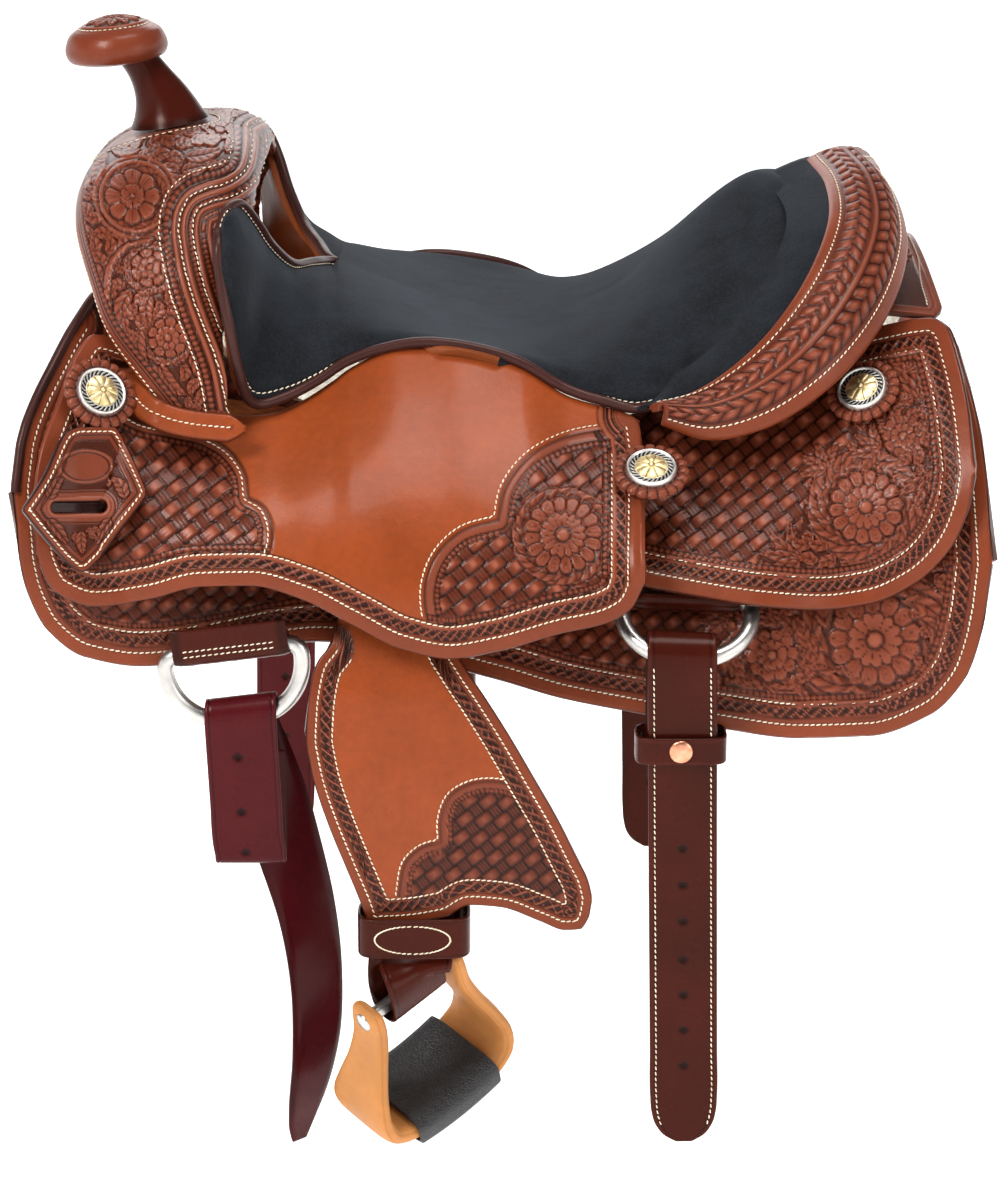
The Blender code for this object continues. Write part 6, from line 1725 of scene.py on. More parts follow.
keeper_top = shell("latigo_keeper_left_look", P + grid_normals(P) * 0.0042, f.h * MM * 0.9 + rounded(d, 0.0018), 0.0042, TOOLED, "saddle", ["latigo_keeper_left"], f.attrs(), k=5)
thread = Stitches("keeper_thread_left", "saddle")
line = offset_line(rim, 5.6, 1, 260)
if len(line) and not inside(line[:, 0], line[:, 1], rim).mean() > 0.5:
    line = offset_line(rim, 5.6, -1, 260)
thread.drawn(line, keeper_half, 5.4, 0.0042, 0.0028)
thread.finish()


# ---------------------------------------------------------------- straps
def resampled(points, n, closed=False):
    p = np.array(points, float)
    if closed:
        p = np.concatenate([p[-3:], p, p[:4]])
    s = np.r_[0, np.cumsum(np.linalg.norm(np.diff(p[:, :3], axis=0), axis=1))]
    tab = np.column_stack([s, p])
    a, b = (s[3], s[-4]) if closed else (s[0], s[-1])
    at = np.linspace(a, b, n, endpoint=not closed)
    return np.stack([spline(tab, at, 1 + i) for i in range(p.shape[1])], -1), at - a


def strap(name, path, across, hw, thick, mat, body, nodes, look=None, step=0.0013, n_across=44, closed=False, mirror=True, edge=0.0014):
    """Flat strap with rounded edges. look(s, x, hw, face) gives height (mm), tint, worn and smooth on each face."""
    path, across = np.array([tuple(p) for p in path], float), np.array([tuple(w) for w in across], float)
    hw = np.full(len(path), hw) if np.ndim(hw) == 0 else np.array(hw, float)
    length = np.linalg.norm(np.diff(path, axis=0), axis=1).sum()
    n = int(length / step) + 2
    data, s = resampled(np.column_stack([path, across, hw]), n, closed)
    p, w, h = data[:, :3], data[:, 3:6], np.maximum(data[:, 6], 0.0012)
    if closed:
        t = np.roll(p, -1, axis=0) - np.roll(p, 1, axis=0)
    else:
        t = np.gradient(p, axis=0)
    t /= np.linalg.norm(t, axis=1)[:, None]
    w = w - t * (w * t).sum(1)[:, None]
    w /= np.linalg.norm(w, axis=1)[:, None]
    nrm = np.cross(t, w)
    k_f = np.sin(np.linspace(-np.pi / 2, np.pi / 2, n_across))
    k_f = 0.6 * k_f + 0.4 * np.linspace(-1, 1, n_across)
    k_b = np.linspace(1, -1, max(n_across // 3, 8))[1:-1]
    X = np.concatenate([k_f, k_b])[None, :] * h[:, None]
    face = np.concatenate([np.ones(len(k_f)), -np.ones(len(k_b))])[None, :] * np.ones((n, 1))
    d = h[:, None] - np.abs(X)
    if not closed:
        ends = np.minimum(s, s[-1] - s)[:, None]
        d = np.minimum(d, ends)
    q = np.clip(1 - d / edge, 0, 1)
    off = thick / 2 * np.sqrt(np.clip(1 - q**2.4, 0, 1))
    H, tint, worn, smooth = look(s[:, None] + 0 * X, X, h[:, None] + 0 * X, face) if look else (0 * X, 0 * X, 0 * X, 0 * X)
    V = p[:, None] + w[:, None] * X[..., None] + nrm[:, None] * (face * (off + H * MM * (d > edge * 0.4)))[..., None]
    m = X.shape[1]
    idx = np.arange(n * m).reshape(n, m)
    a, b = (idx, np.roll(idx, -1, axis=0)) if closed else (idx[:-1], idx[1:])
    quads = np.stack([a, b, np.roll(b, -1, axis=1), np.roll(a, -1, axis=1)], -1).reshape(-1, 4)
    ng = [] if closed else [list(idx[0]), list(idx[-1][::-1])]
    verts = V.reshape(-1, 3)
    c = verts[quads]
    vol = (np.cross(c[:, 1], c[:, 2]) * c[:, 0]).sum() + (np.cross(c[:, 2], c[:, 3]) * c[:, 0]).sum()
    if vol < 0:
        quads, ng = quads[:, ::-1], [g[::-1] for g in ng]
    at = {"tint": np.clip(tint, 0, 1).ravel(), "worn": np.clip(worn, 0, 1).ravel(), "smooth": np.clip(smooth, 0, 1).ravel()}
    add(name, raw_mesh(name, verts, quads, ng, at, 60), mat, body, nodes)
    if mirror:
        v2, q2, n2 = flip(verts, quads, ng)
        other = name.replace("_left", "_right")
        add(other, raw_mesh(other, v2, q2, n2, at, 60), mat, body.replace("_left", "_right"), [k.replace("_left", "_right") for k in nodes])

    def on(ss, xx, side=1):
        """Points and normals on a face, at lengths ss and offsets xx from the strap's middle."""
        ss, xx = np.asarray(ss, float), np.asarray(xx, float) * np.ones(len(ss))
        pick = lambda arr: np.stack([np.interp(ss, s, arr[:, i]) for i in range(3)], -1)
        P_, W_, N_ = pick(p), pick(w), pick(nrm)
        return P_ + W_ * xx[:, None] + N_ * side * thick / 2, N_ * side

    return on, s[-1], (s, h)


def edge_lines(thread, strap_out, s0, s1, inset, pitch=0.0041, side=1, radius=0.0005):
    on, total, (s, h) = strap_out
    at = np.arange(s0, s1, pitch)
    hh = np.interp(at, s, h) - inset
    for sg in (1, -1):
        p, n = on(at, hh * sg, side)
        thread.world(p if sg == 1 else p[::-1], n if sg == 1 else n[::-1], pitch * 0.68, radius, 0.0002)


def plain_look(holes=(), groove=0.0040, hole_r=0.0026, grooves=True):
    def look(s, x, h, face):
        d = h - np.abs(x)
        g = smoothstep(0.0010, 0.0, np.abs(d - groove)) * (h > 0.010) * grooves
        H, tint = -0.25 * g, 0.75 * g
        # Each hole is a shallow dimple painted dark, painted shade standing in for the opening, with a slightly
        # pressed darker ring round it.
        for hs, hx in holes:
            r = np.hypot(s - hs, x - hx)
            m = smoothstep(hole_r * 1.12, hole_r * 0.85, r)
            lip = np.exp(-(((r - hole_r * 1.35) / 0.0006) ** 2))
            H = H * (1 - m) - 1.1 * m - 0.12 * lip
            tint = np.maximum(tint * (1 - m) + m * 1.35, lip * 0.4)
        edge_d = smoothstep(0.0012, 0.0, d) * 0.45
        return H, np.maximum(tint, edge_d), smoothstep(0.004, 0.0015, d) * smoothstep(0.0, 0.0012, d) * 0.15, 0 * s

    return look


def bar_end(u, v, y):
    x, z = sheet_point(u, v, -y)
    return Vector((float(x), -y, float(z)))


def sheet_z(v, y):
    return float(sheet_point(500, v, -y)[1])


# ---------------------------------------------------------------- lip of the side jockey over the foot of the swell
SW_Y = [(-0.03, 0.2400), (0.026, 0.2165), (0.050, 0.2060), (0.082, 0.1850), (0.111, 0.1620)]


def lip_half(u, v, x, z):
    base = side_half(u, v, x, z) + 0.0022
    over = curve(SW_Y, z) + 0.0100
    w = smoothstep(118, 158, u)
    return base + w * np.maximum(over - base, 0)


LIP = smooth_line([(122, 372), (131, 391), (146, 407), (166, 418), (190, 424), (216, 427), (246, 429)], 60)
tan_l = np.gradient(LIP, axis=0)
tan_l /= np.linalg.norm(tan_l, axis=1)[:, None]
nor_l = np.stack([-tan_l[:, 1], tan_l[:, 0]], -1)
mid_p = lay(LIP[:, 0], LIP[:, 1], lip_half)
side_p = lay(LIP[:, 0] + nor_l[:, 0] * 8, LIP[:, 1] + nor_l[:, 1] * 8, lip_half)
cross_p = side_p - mid_p
cross_p /= np.linalg.norm(cross_p, axis=1)[:, None]
wide_l = 0.0098 * np.clip(np.minimum(np.arange(60), 59 - np.arange(60)) / 7.0, 0.15, 1) ** 0.6


def lip_look(s, x, h, face):
    d = h - np.abs(x)
    return -0.15 * smoothstep(0.0011, 0.0, np.abs(d - 0.0075)), smoothstep(0.0014, 0.0, d) * 0.8 + 0.4 * smoothstep(0.0011, 0.0, np.abs(d - 0.0075)), 0 * s, 0 * s + 0.75


lip = strap("swell_lip_left", mid_p, cross_p, wide_l, 0.0042, TOOLED, "saddle", (), lip_look, step=0.0010, n_across=30)
thread = Stitches("swell_lip_thread_left", "saddle")
at_s = np.arange(0.010, lip[1] - 0.008, 0.0040)
p_l, n_l = lip[0](at_s, 0.0 * at_s, 1)
if n_l[:, 1].mean() > 0:
    p_l, n_l = lip[0](at_s, 0.0 * at_s, -1)
thread.world(p_l, n_l, 0.0028, 0.0005, 0.0003)
thread.finish()


# ---------------------------------------------------------------- dees and their keepers
def dee_line(a, b, drop, slope, n=70):
    mid, half = (a + b) / 2, (b - a) / 2
    down = Vector((0, -math.sin(slope), -math.cos(slope)))
    down = (down - half.normalized() * down.dot(half.normalized())).normalized()
    pts = []
    for k in range(n):
        r = math.pi * k / (n - 1)
        c, s = math.cos(r), math.sin(r)
        pts.append(mid - half * c + down * (math.copysign(abs(s) ** 0.82, s) * drop))
    for k in np.linspace(0.93, -0.93, 16):
        pts.append(mid + half * float(k) - down * 0.0055)
    pts = np.array([tuple(p) for p in pts])
    for _ in range(2):
        pts = (np.roll(pts, 1, 0) + 2 * pts + np.roll(pts, -1, 0)) / 4
    return pts, down


FRONT_Y = 0.2655
fa, fb = bar_end(164, 664, FRONT_Y), bar_end(301, 648, FRONT_Y)
front_pts, front_down = dee_line(fa, fb, 0.046, 0.0)
tube_piece("front_dee_left_look", front_pts, DEE_WIRE_R, STEEL, "front_ring_left", ["front_dee_left"], 20, closed=True, ref=(0, 1, 0.1))
REAR_BAR_Y, REAR_SLOPE = 0.2414, math.radians(53)
ra, rb = bar_end(621, 603, REAR_BAR_Y), bar_end(752, 608, REAR_BAR_Y)
rear_pts, rear_down = dee_line(ra, rb, 0.045, REAR_SLOPE)
tube_piece("rear_dee_left_look", rear_pts, DEE_WIRE_R, STEEL, "rear_ring_left", ["rear_dee_left"], 20, closed=True, ref=(0, 1, 0.1))


def dee_keeper(name, node, a, b, down, rise_in, rise_out, ring_down, width):
    along_bar = (b - a).normalized()
    upw = -down
    r = DEE_WIRE_R + 0.0008 + 0.0012
    mid = (a + b) / 2 - ring_down * 0.0055
    inner = along_bar.cross(upw).normalized()
    inner = inner if inner.y > 0 else -inner
    path = [mid + inner * r + upw * rise_in]
    for g in np.linspace(0, 180, 15):
        t = math.radians(g)
        path.append(mid + inner * (math.cos(t) * r) - upw * (math.sin(t) * r))
    path.append(mid - inner * r + upw * rise_out)
    hw = (b - a).length / 2 * width

    def look(s, x, h, face):
        d = h - np.abs(x)
        g = smoothstep(0.0011, 0.0, np.abs(d - 0.0042))
        crease = 0.10 * np.sin(x * 900 + 3 * np.sin(s * 160)) + 0.08 * np.sin(x * 410)
        return -0.22 * g + crease, 0.7 * g + smoothstep(0.0012, 0, d) * 0.4, 0 * s, 0 * s

    return strap(name, path, [along_bar] * len(path), hw, 0.0024, DARK, "saddle", [node], look, step=0.0008, n_across=60)


keep = dee_keeper("front_dee_keeper_left_look", "front_dee_keeper_left", fa, fb, front_down, 0.006, 0.018, front_down, 0.84)
thread = Stitches("dee_keeper_thread_left", "saddle")
total = keep[1]
for frac in (0.62, 0.70):
    at = np.arange(-0.030, 0.030, 0.0041)
    p, n = keep[0](np.full(len(at), total * frac), at, 1)
    if n[0][1] > 0:
        p, n = keep[0](np.full(len(at), total * frac), at, -1)
    thread.world(p, n, 0.0028, 0.0005, 0.0002)
thread.finish()
dee_keeper("rear_dee_keeper_left_look", "rear_dee_keeper_left", ra, rb, Vector((0, -0.62, -0.785)), 0.002, 0.001, rear_down, 0.80)

# ---------------------------------------------------------------- latigo
front_bow = (fa + fb) / 2 + front_down * 0.046
rear_bow = (ra + rb) / 2 + rear_down * 0.045
REAR_Y = -rear_bow.y
r = DEE_WIRE_R + 0.0021 + STRAP_T / 2
cx = float(sheet_point(241, 700, -FRONT_Y)[0])
tail, wide, hw = [], [], []
TAIL = [(1140, 299, 0.251, 52, 0.0065), (1122, 302, 0.251, 52, 0.0135), (1105, 306, 0.251, 52, 0.018), (1050, 316, 0.250, 50, 0.0235), (980, 317, 0.249, 46, 0.024), (910, 307, 0.249, 40, 0.024), (850, 290, 0.250, 30, 0.024), (800, 274, 0.2515, 20, 0.024), (760, 258, 0.253, 8, 0.024)]
for v, u, y, twist, w in TAIL:
    tail.append(bar_end(u, v, y))
    wide.append(Vector((math.cos(math.radians(twist)), math.sin(math.radians(twist)), 0)))
    hw.append(w)
for g in np.linspace(0, 180, 13):
    t = math.radians(g)
    tail.append(Vector((cx, front_bow.y + math.cos(t) * r, front_bow.z + 0.001 + math.sin(t) * (r + 0.006))))
    wide.append((fb - fa).normalized())
    hw.append(0.024)
front_y = front_bow.y - r
low_z = sheet_z(862, 0.27)
fold = 0.0075
for f_ in (0.1, 0.3, 0.6, 0.9):
    tail.append(Vector((cx + 0.004 * f_, front_y, front_bow.z + (low_z + fold - front_bow.z) * f_)))
    wide.append(Vector((1, 0, 0)))
    hw.append(0.024)
for g in np.linspace(0, 170, 11):
    t = math.radians(g)
    tail.append(Vector((cx + 0.005, front_y + fold / 2 * (1 - math.cos(t)), low_z + fold - math.sin(t) * fold * 0.8)))
    wide.append(Vector((1, 0, 0)))
    hw.append(0.024)
for z in (low_z + 0.03, low_z + 0.06, low_z + 0.080):
    tail.append(Vector((cx + 0.005, front_y + fold * 0.95, z)))
    wide.append(Vector((1, 0, 0)))
    hw.append(0.024)
arr = np.array([tuple(p) for p in tail])
run = np.r_[0, np.cumsum(np.linalg.norm(np.diff(arr, axis=0), axis=1))]
front0 = run[len(TAIL) + 12]
holes = []
for v in (757, 812, 852):
    zz = sheet_z(v, -front_y)
    i = len(TAIL) + 12 + int(np.argmin([abs(arr[k, 2] - zz) for k in range(len(TAIL) + 12, len(TAIL) + 17)]))
    holes.append((front0 + (arr[len(TAIL) + 12, 2] - zz), -0.003))
strap("latigo_left_look", tail, wide, hw, STRAP_T * 0.8, BURGUNDY, "latigo_strap", ["latigo_left"], plain_look(holes, 0.0030), mirror=False)


# ---------------------------------------------------------------- billets
def billet_path(bow, bar, u_top, u_low, y, width, tip_v, ease):
    rr = DEE_WIRE_R + 0.0021 + STRAP_T / 2 + ease
    xs, xl, zl = float(sheet_point(u_top, 640, -y)[0]), float(sheet_point(u_low, 1100, -y)[0]), sheet_z(tip_v, y)
    pts, wd, h = [], [], []
    for z, dy in ((bow.z - 0.085, 0.008), (bow.z - 0.055, 0.007), (bow.z - 0.030, 0.003)):
        pts.append(Vector((xs, bow.y + ease + rr - dy * (ease > 0), z)))
        wd.append(Vector((1, 0, 0)))
        h.append(width / 2)
    for g in np.linspace(0, 180, 13):
        t = math.radians(g)
        pts.append(Vector((xs, bow.y + ease + math.cos(t) * rr, bow.z + 0.001 + math.sin(t) * (rr + 0.006 - ease))))
        wd.append(bar)
        h.append(width / 2)
    top = len(pts) - 1
    for f_, wf in ((0.08, 1), (0.2, 1), (0.4, 1), (0.6, 1), (0.8, 1), (0.90, 1.0), (0.935, 0.96), (0.965, 0.82), (0.985, 0.58), (1.0, 0.20)):
        z = bow.z + (zl - bow.z) * f_
        pts.append(Vector((xs + (xl - xs) * f_, bow.y + ease - rr + 0.004 * float(smoothstep(0.05, 0.4, f_)), z)))
        wd.append(Vector((1, 0, 0)))
        h.append(width / 2 * wf)
    arr = np.array([tuple(p) for p in pts])
    run = np.r_[0, np.cumsum(np.linalg.norm(np.diff(arr, axis=0), axis=1))]
    return pts, wd, h, run[top], arr[top, 2], run[-1]


pts, wd, h, s_top, z_top, s_end = billet_path(rear_bow, (rb - ra).normalized(), 682, 684, REAR_Y, 0.046, 1138, 0.0040)
holes = [(s_top + z_top - sheet_z(v, REAR_Y) - 0.001, 0.0) for v in (846, 883, 919, 957, 992, 1027, 1063)]
out = strap("rear_billet_left_look", pts, wd, h, STRAP_T, DARK, "rear_strap_left", ["rear_billet_left"], plain_look(holes, 0.0042))
thread = Stitches("rear_billet_thread_left", "rear_strap_left")
edge_lines(thread, out, s_top + 0.004, s_end - 0.012, 0.0042)

# keeper band with its copper rivet
kz = sheet_z(743, 0.274)
kx = float(sheet_point(680, 733, -0.268)[0])
ky = rear_bow.y + 0.0015
kb = [Vector((kx + math.copysign(abs(math.cos(t)) ** 0.4, math.cos(t)) * 0.0290, ky + math.copysign(abs(math.sin(t)) ** 0.45, math.sin(t)) * 0.0160, kz)) for t in np.linspace(0, 2 * math.pi, 48, endpoint=False)]
strap("billet_keeper_left_look", kb, [Vector((0, 0, 1))] * 48, 0.0095, 0.0030, DARK, "rear_strap_left", ["billet_keeper_left"], plain_look((), 0.0022), step=0.0008, n_across=26, closed=True)
rivet = (np.array([kx - 0.0005, ky - 0.0160 - 0.0013, kz + 0.0005]), np.array([1.0, 0, 0]), np.array([0.0, 0, 1.0]), np.array([0.0, -1.0, 0]))
polar_piece_body = "rear_strap_left"


def rivet_piece(name, at, radius, dome, mat, body):
    o, x, y, z = at
    q = np.linspace(0.01, 1, 22)
    a = np.linspace(0, 2 * np.pi, 40, endpoint=False)
    Q, A = np.meshgrid(q, a, indexing="ij")
    H = dome * np.sqrt(np.clip(1 - Q**2 * 0.96, 0, 1)) + 0.0004
    top = o + x * (Q * radius * np.cos(A))[..., None] + y * (Q * radius * np.sin(A))[..., None] + z * H[..., None]
    low = o + x * (radius * np.cos(a))[:, None] + y * (radius * np.sin(a))[:, None] - z * 0.0008
    V = np.concatenate([top.reshape(-1, 3), low])
    idx = np.arange(23 * 40).reshape(23, 40)
    quads = np.stack([idx[:-1], idx[1:], np.roll(idx[1:], -1, axis=1), np.roll(idx[:-1], -1, axis=1)], -1).reshape(-1, 4)
    ng = [list(idx[0]), list(idx[-1][::-1])]
    if np.cross(x, y) @ z < 0:
        quads, ng = quads[:, ::-1], [g[::-1] for g in ng]
    add(name, raw_mesh(name, V, quads, ng, None, 50), mat, body, ())
    V2, q2, ng2 = flip(V, quads, ng)
    add(name.replace("_left", "_right"), raw_mesh(name.replace("_left", "_right"), V2, q2, ng2, None, 50), mat, body.replace("_left", "_right"), ())


rivet_piece("keeper_rivet_left", rivet, 0.0078, 0.0026, COPPER, "rear_strap_left")
thread.finish()

# off billet, on the far side only
pts, wd, h, s_top, z_top, s_end = billet_path(front_bow, (fb - fa).normalized(), 238, 240, FRONT_Y, 0.048, 1105, 0.0)
pts = [Vector((p.x, -p.y, p.z)) for p in pts]
wd = [Vector((w.x, -w.y, w.z)) for w in wd]
holes = [(s_top + 0.12 + 0.026 * k, 0.0) for k in range(7)]
out = strap("off_billet_right_look", pts, wd, h, STRAP_T, BURGUNDY, "off_strap", ["off_billet_right"], plain_look(holes, 0.0042), mirror=False)
thread = Stitches("off_billet_thread", "off_strap")
edge_lines(thread, out, s_top + 0.004, s_end - 0.012, 0.0042, side=-1)
thread.finish(mirror=False)

# ---------------------------------------------------------------- stirrup leather, hobble and stirrup
STIRRUP_YAW, STIRRUP_ROLL, STIRRUP_PITCH = math.radians(38), math.radians(22), math.radians(16)
across = Vector((math.cos(STIRRUP_YAW) * math.cos(STIRRUP_ROLL), math.sin(STIRRUP_YAW) * math.cos(STIRRUP_ROLL), math.sin(STIRRUP_ROLL)))
up0 = (Vector((0, 0, 1)) - across * across.z).normalized()
foot0 = across.cross(up0)
up = (up0 * math.cos(STIRRUP_PITCH) + foot0 * math.sin(STIRRUP_PITCH)).normalized()
foot = across.cross(up).normalized()
bx, bz = sheet_point(409, 987.5, -0.292)
BOLT = Vector((float(bx), -0.292, float(bz)))
STIRRUP_SIZE = 0.95


def stirrup_point(a, f, h):
    return BOLT + across * a * STIRRUP_SIZE + foot * f + up * h * STIRRUP_SIZE


fender_y = lambda z: float(curve(FENDER_Y, z))
inner_y = lambda z, d: -(fender_y(z) - 0.0035 - d)
path, wide, hw = [], [], []
hobble_x, hobble_z = sheet_point(414, 933, -0.2935)
hobble_x, hobble_z = float(hobble_x), float(hobble_z)
for z in np.linspace(-0.045, hobble_z - 0.004, 9):
    f_ = (z + 0.015) / (hobble_z + 0.011)
    path.append(Vector((-0.078 + (hobble_x + 0.078) * f_, inner_y(z, 0.0030), z)))
    wide.append(Vector((1, 0, 0)))
    hw.append(0.028)
eye = 0.0048 + 0.0040 + STRAP_T / 2
path.append(BOLT + foot * eye + up * 0.0165)
wide.append(across)
hw.append(0.0236)
for g in np.linspace(0, 180, 15):
    t = math.radians(g)
    path.append(BOLT + foot * (math.cos(t) * eye) - up * (math.sin(t) * eye))
    wide.append(across)
    hw.append(0.0236)
path.append(BOLT - foot * eye + up * 0.0165)
wide.append(across)
hw.append(0.0236)
for z in np.linspace(hobble_z - 0.004, -0.10, 6):
    f_ = (z + 0.015) / (hobble_z + 0.011)
    path.append(Vector((-0.078 + (hobble_x + 0.078) * f_, inner_y(z, 0.0030 + STRAP_T + 0.0015), z)))
    wide.append(Vector((1, 0, 0)))
    hw.append(0.028)
strap("stirrup_leather_left_look", path, wide, hw, STRAP_T, DARK, "fender_swing_left", ["stirrup_leather_left"], plain_look((), 0.0035), step=0.0016)
n_h = 64
hob = [Vector((hobble_x + math.copysign(abs(math.cos(t)) ** 0.35, math.cos(t)) * 0.0362, -0.2855 + math.copysign(abs(math.sin(t)) ** 0.5, math.sin(t)) * 0.0190, hobble_z)) for t in np.linspace(0, 2 * math.pi, n_h, endpoint=False)]
out = strap("hobble_strap_left_look", hob, [Vector((0, 0, 1))] * n_h, 0.0142, 0.0034, DARK, "fender_swing_left", ["hobble_strap_left"], plain_look((), 0.0022), step=0.0009, n_across=34, closed=True)
thread = Stitches("hobble_thread_left", "fender_swing_left")
on, total, _ = out
front_s = total * 0.75
lens = []
for t in np.linspace(0, 2 * math.pi, 46, endpoint=False):
    lens.append((front_s + 0.0250 * math.copysign(abs(math.cos(t)) ** 0.9, math.cos(t)), 0.0098 * math.sin(t)))
lens = np.array(lens)
p1, n1 = on(lens[:, 0] % total, lens[:, 1], 1)
if n1[0][1] > 0 and np.mean(n1[:, 1]) > 0:
    p1, n1 = on(lens[:, 0] % total, lens[:, 1], -1)
if np.mean(p1[:, 1]) > -0.29:
    lens[:, 0] -= total / 2
    p1, n1 = on(lens[:, 0] % total, lens[:, 1], 1)
    if np.mean(n1[:, 1]) > 0:
        p1, n1 = on(lens[:, 0] % total, lens[:, 1], -1)
thread.world(p1, n1, 0.0030, 0.0005, 0.0002)
thread.finish()

BELL = [(-0.0380, 0.0100, 0.0125, 0.0050), (-0.0380, 0.0000, 0.0145, 0.0055), (-0.0395, -0.0180, 0.0150, 0.0058), (-0.0460, -0.0400, 0.0180, 0.0056), (-0.0545, -0.0620, 0.0240, 0.0056), (-0.0585, -0.0800, 0.0290, 0.0060), (-0.0550, -0.0940, 0.0310, 0.0070), (-0.0440, -0.1015, 0.0320, 0.0075), (-0.0220, -0.1050, 0.0320, 0.0078), (0.0, -0.1060, 0.0320, 0.0078)]
bell = np.array(BELL + [(-a, h, f_, t) for a, h, f_, t in BELL[:-1]][::-1])
s = np.r_[0, np.cumsum(np.hypot(*np.diff(bell[:, :2], axis=0).T))]
fine = np.stack([spline(np.column_stack([s, bell[:, i]]), np.linspace(0, s[-1], 220), 1) for i in range(4)], -1)
tan = np.gradient(fine[:, :2], axis=0)
tan /= np.linalg.norm(tan, axis=1)[:, None]
g = np.linspace(0, 2 * np.pi, 56, endpoint=False)
cf, cs = np.sign(np.cos(g)) * np.abs(np.cos(g)) ** 0.45, np.sign(np.sin(g)) * np.abs(np.sin(g)) ** 0.75
end = np.minimum(np.linspace(0, s[-1], 220), s[-1] - np.linspace(0, s[-1], 220))
cap = np.sqrt(np.clip(1 - np.clip(1 - end / 0.0045, 0, 1) ** 2.2, 0.02, 1))
B_, A_, F_, U_ = (np.array(tuple(q)) for q in (BOLT, across, foot, up))
groove = 1 - 0.035 * (np.exp(-(((np.abs(np.cos(g)) - 0.93) / 0.03) ** 2)))
aa = fine[:, None, 0] - tan[:, None, 1] * cs[None] * fine[:, None, 3] * cap[:, None]
hh = fine[:, None, 1] + tan[:, None, 0] * cs[None] * fine[:, None, 3] * cap[:, None]
ff = cf[None] * fine[:, None, 2] * (0.55 + 0.45 * cap[:, None]) * groove[None]
V = B_ + A_ * (aa * STIRRUP_SIZE)[..., None] + F_ * ff[..., None] + U_ * (hh * STIRRUP_SIZE)[..., None]
idx = np.arange(220 * 56).reshape(220, 56)
quads = np.stack([idx[:-1], np.roll(idx[:-1], -1, axis=1), np.roll(idx[1:], -1, axis=1), idx[1:]], -1).reshape(-1, 4)
verts = V.reshape(-1, 3)
ng = [list(idx[0][::-1]), list(idx[-1])]
c = verts[quads]
if (np.cross(c[:, 1], c[:, 2]) * c[:, 0]).sum() + (np.cross(c[:, 2], c[:, 3]) * c[:, 0]).sum() < 0:
    quads, ng = quads[:, ::-1], [k[::-1] for k in ng]
tint = (np.exp(-(((np.abs(np.cos(g)) - 0.93) / 0.03) ** 2)) * 0.35)[None, :] * np.ones((220, 1))
tint = tint + (smoothstep(0.0025, 0.0, end)[:, None] * 0.25)
at = {"tint": tint.ravel(), "worn": np.zeros(len(verts)), "smooth": np.zeros(len(verts))}
add("stirrup_left_look", raw_mesh("stirrup_left_look", verts, quads, ng, at, 60), PALE, "stirrup_swing_left", ["stirrup_left"])
v2, q2, n2 = flip(verts, quads, ng)
add("stirrup_right_look", raw_mesh("stirrup_right_look", v2, q2, n2, at, 60), PALE, "stirrup_swing_right", ["stirrup_right"])
for sg, tag in ((-1, "near"), (1, "far")):
    o = B_ + A_ * (sg * 0.0425 * STIRRUP_SIZE)
    rivet_piece("bolt_head_%s_left" % tag, (o, F_, U_, A_ * sg), 0.0068, 0.0030, STEEL, "stirrup_swing_left")

# tread sleeve
n_t = 60
a_s = np.linspace(-0.039, 0.039, n_t)
h_s = -0.1060 + 2.3 * a_s**2
g = np.linspace(0, 2 * np.pi, 64, endpoint=False)
cf, cs = np.sign(np.cos(g)) * np.abs(np.cos(g)) ** 0.35, np.sign(np.sin(g)) * np.abs(np.sin(g)) ** 0.6
edge_t = np.minimum(a_s + 0.039, 0.039 - a_s)
rr = np.sqrt(np.clip(1 - np.clip(1 - edge_t / 0.0018, 0, 1) ** 2, 0, 1))
outer = B_ + A_ * (a_s[:, None] * STIRRUP_SIZE + 0 * cf)[..., None] + F_ * (cf[None] * (0.0345 + 0.0020 * rr[:, None]))[..., None] + U_ * ((h_s[:, None] + cs[None] * (0.0103 + 0.0022 * rr[:, None])) * STIRRUP_SIZE)[..., None]
inner = B_ + A_ * (a_s[:, None] * STIRRUP_SIZE + 0 * cf)[..., None] + F_ * (cf[None] * 0.0338 + 0 * a_s[:, None])[..., None] + U_ * ((h_s[:, None] + cs[None] * 0.0098) * STIRRUP_SIZE)[..., None]
V = np.concatenate([outer, inner[::-1]])
idx = np.arange(2 * n_t * 64).reshape(2 * n_t, 64)
nxt = np.roll(idx, -1, axis=0)
quads = np.stack([idx, np.roll(idx, -1, axis=1), np.roll(nxt, -1, axis=1), nxt], -1).reshape(-1, 4)
verts = V.reshape(-1, 3)
c = verts[quads]
if (np.cross(c[:, 1], c[:, 2]) * c[:, 0]).sum() + (np.cross(c[:, 2], c[:, 3]) * c[:, 0]).sum() < 0:
    quads = quads[:, ::-1]
clones("stirrup_tread_left_look", verts, quads, TREAD, "stirrup_swing_left", None, True, 60, ["stirrup_tread_left"])
tip = frame["nodes"]
for name, mat in (("tree_bar_left", TREE), ("tree_bar_right", TREE), ("tree_fork", TREE), ("tree_cantle", TREE), ("horn_core", STEEL), ("stirrup_bolt_left", STEEL), ("stirrup_bolt_right", STEEL)):
    ob = tip[name]
    if ob.data.materials:
        for k in range(len(ob.data.materials)):
            ob.data.materials[k] = mat
    else:
        ob.data.materials.append(mat)

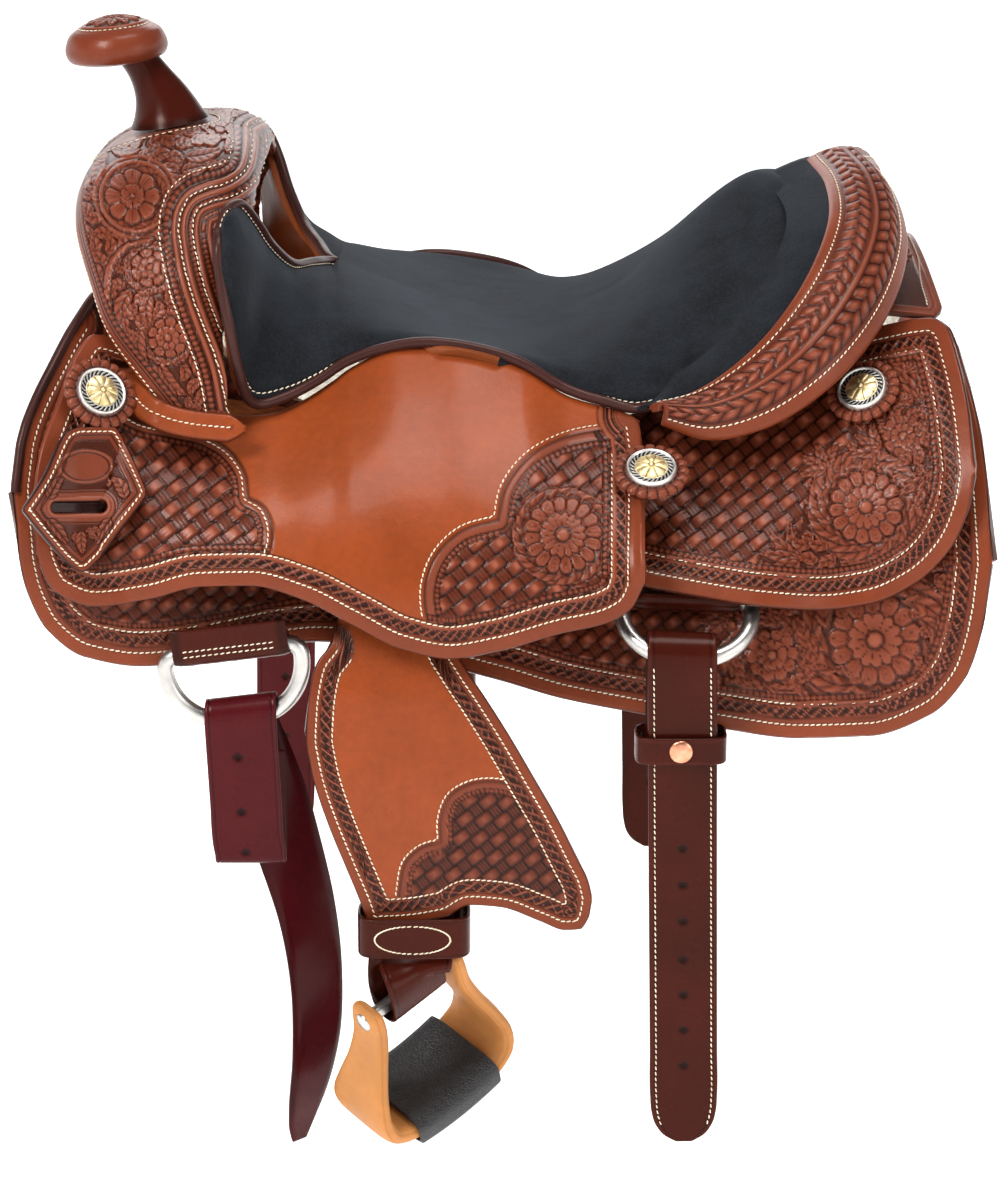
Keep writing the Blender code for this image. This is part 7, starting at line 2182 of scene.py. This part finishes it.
# ---------------------------------------------------------------- camera, lights and floor
T = Vector((0, 0, -CROWN))
cam_data = bpy.data.cameras.new("camera")
cam = bpy.data.objects.new("camera", cam_data)
bpy.context.scene.collection.objects.link(cam)
cam.location = T + Vector((0, -COS, SIN)) * SHEET_DIST
cam.rotation_euler = (T - cam.location).to_track_quat("-Z", "Y").to_euler()
cam_data.sensor_fit = "VERTICAL"
cam_data.sensor_height = 36
cam_data.lens = 36 * SHEET_DIST / (1200 * UNIT)
bpy.context.scene.camera = cam


def area_light(name, at, size, power, colour=(1, 1, 1), aim=(0, 0, -0.1)):
    data = bpy.data.lights.new(name, "AREA")
    data.shape = "RECTANGLE"
    data.size, data.size_y = size
    data.energy = power
    data.color = colour
    ob = bpy.data.objects.new(name, data)
    bpy.context.scene.collection.objects.link(ob)
    ob.location = at
    ob.rotation_euler = (Vector(aim) - Vector(at)).to_track_quat("-Z", "Y").to_euler()
    return ob


area_light("key", (-1.5, -1.9, 2.0), (0.9, 0.9), 70)
area_light("top", (0.3, -0.5, 2.5), (1.3, 1.0), 38)
area_light("fill", (2.2, -1.8, 0.9), (1.2, 1.4), 18)
area_light("rim", (-0.4, 2.3, 1.5), (2.0, 1.2), 26)
world_data = bpy.data.worlds.new("studio")
world_data.use_nodes = True
world_data.node_tree.nodes["Background"].inputs["Color"].default_value = (0.95, 0.96, 1.0, 1)
world_data.node_tree.nodes["Background"].inputs["Strength"].default_value = 0.20
bpy.context.scene.world = world_data
bpy.context.scene.view_settings.view_transform = "Standard"

FLOOR_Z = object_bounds()[0][2] - 0.004
# white sweep: a round floor that turns up into a low wall far behind everything
steps_f = 96
ang_f = np.linspace(0, 2 * np.pi, steps_f, endpoint=False)
radii = [(0.01, 0.0), (4.0, 0.0), (9.0, 0.0), (12.0, 0.0), (13.2, 0.25), (13.8, 0.8), (14.0, 1.6), (14.0, 4.2)]
verts_f = np.array([[(r * math.cos(a), r * math.sin(a), FLOOR_Z + h) for a in ang_f] for r, h in radii])
idx = np.arange(len(radii) * steps_f).reshape(len(radii), steps_f)
quads_f = np.stack([idx[:-1], idx[1:], np.roll(idx[1:], -1, axis=1), np.roll(idx[:-1], -1, axis=1)], -1).reshape(-1, 4)
mesh = raw_mesh("floor", verts_f.reshape(-1, 3), quads_f, [list(idx[0])])
floor = bpy.data.objects.new("floor", mesh)
bpy.context.scene.collection.objects.link(floor)
FLOOR, nodes, links, bsdf = new_material("floor_look")
links.new(mix(nodes, links, ramp(nodes, links, noise(nodes, links, 2, 3), [(0.3, 0.0), (0.7, 1.0)]), (0.86, 0.86, 0.86), (0.90, 0.90, 0.90)), bsdf.inputs["Base Color"])
bsdf.inputs["Roughness"].default_value = 0.9
bsdf.inputs["Specular IOR Level"].default_value = 0.05
bsdf.inputs["Emission Color"].default_value = (1.0, 1.0, 1.0, 1)
bsdf.inputs["Emission Strength"].default_value = 0.84
mesh.materials.append(FLOOR)
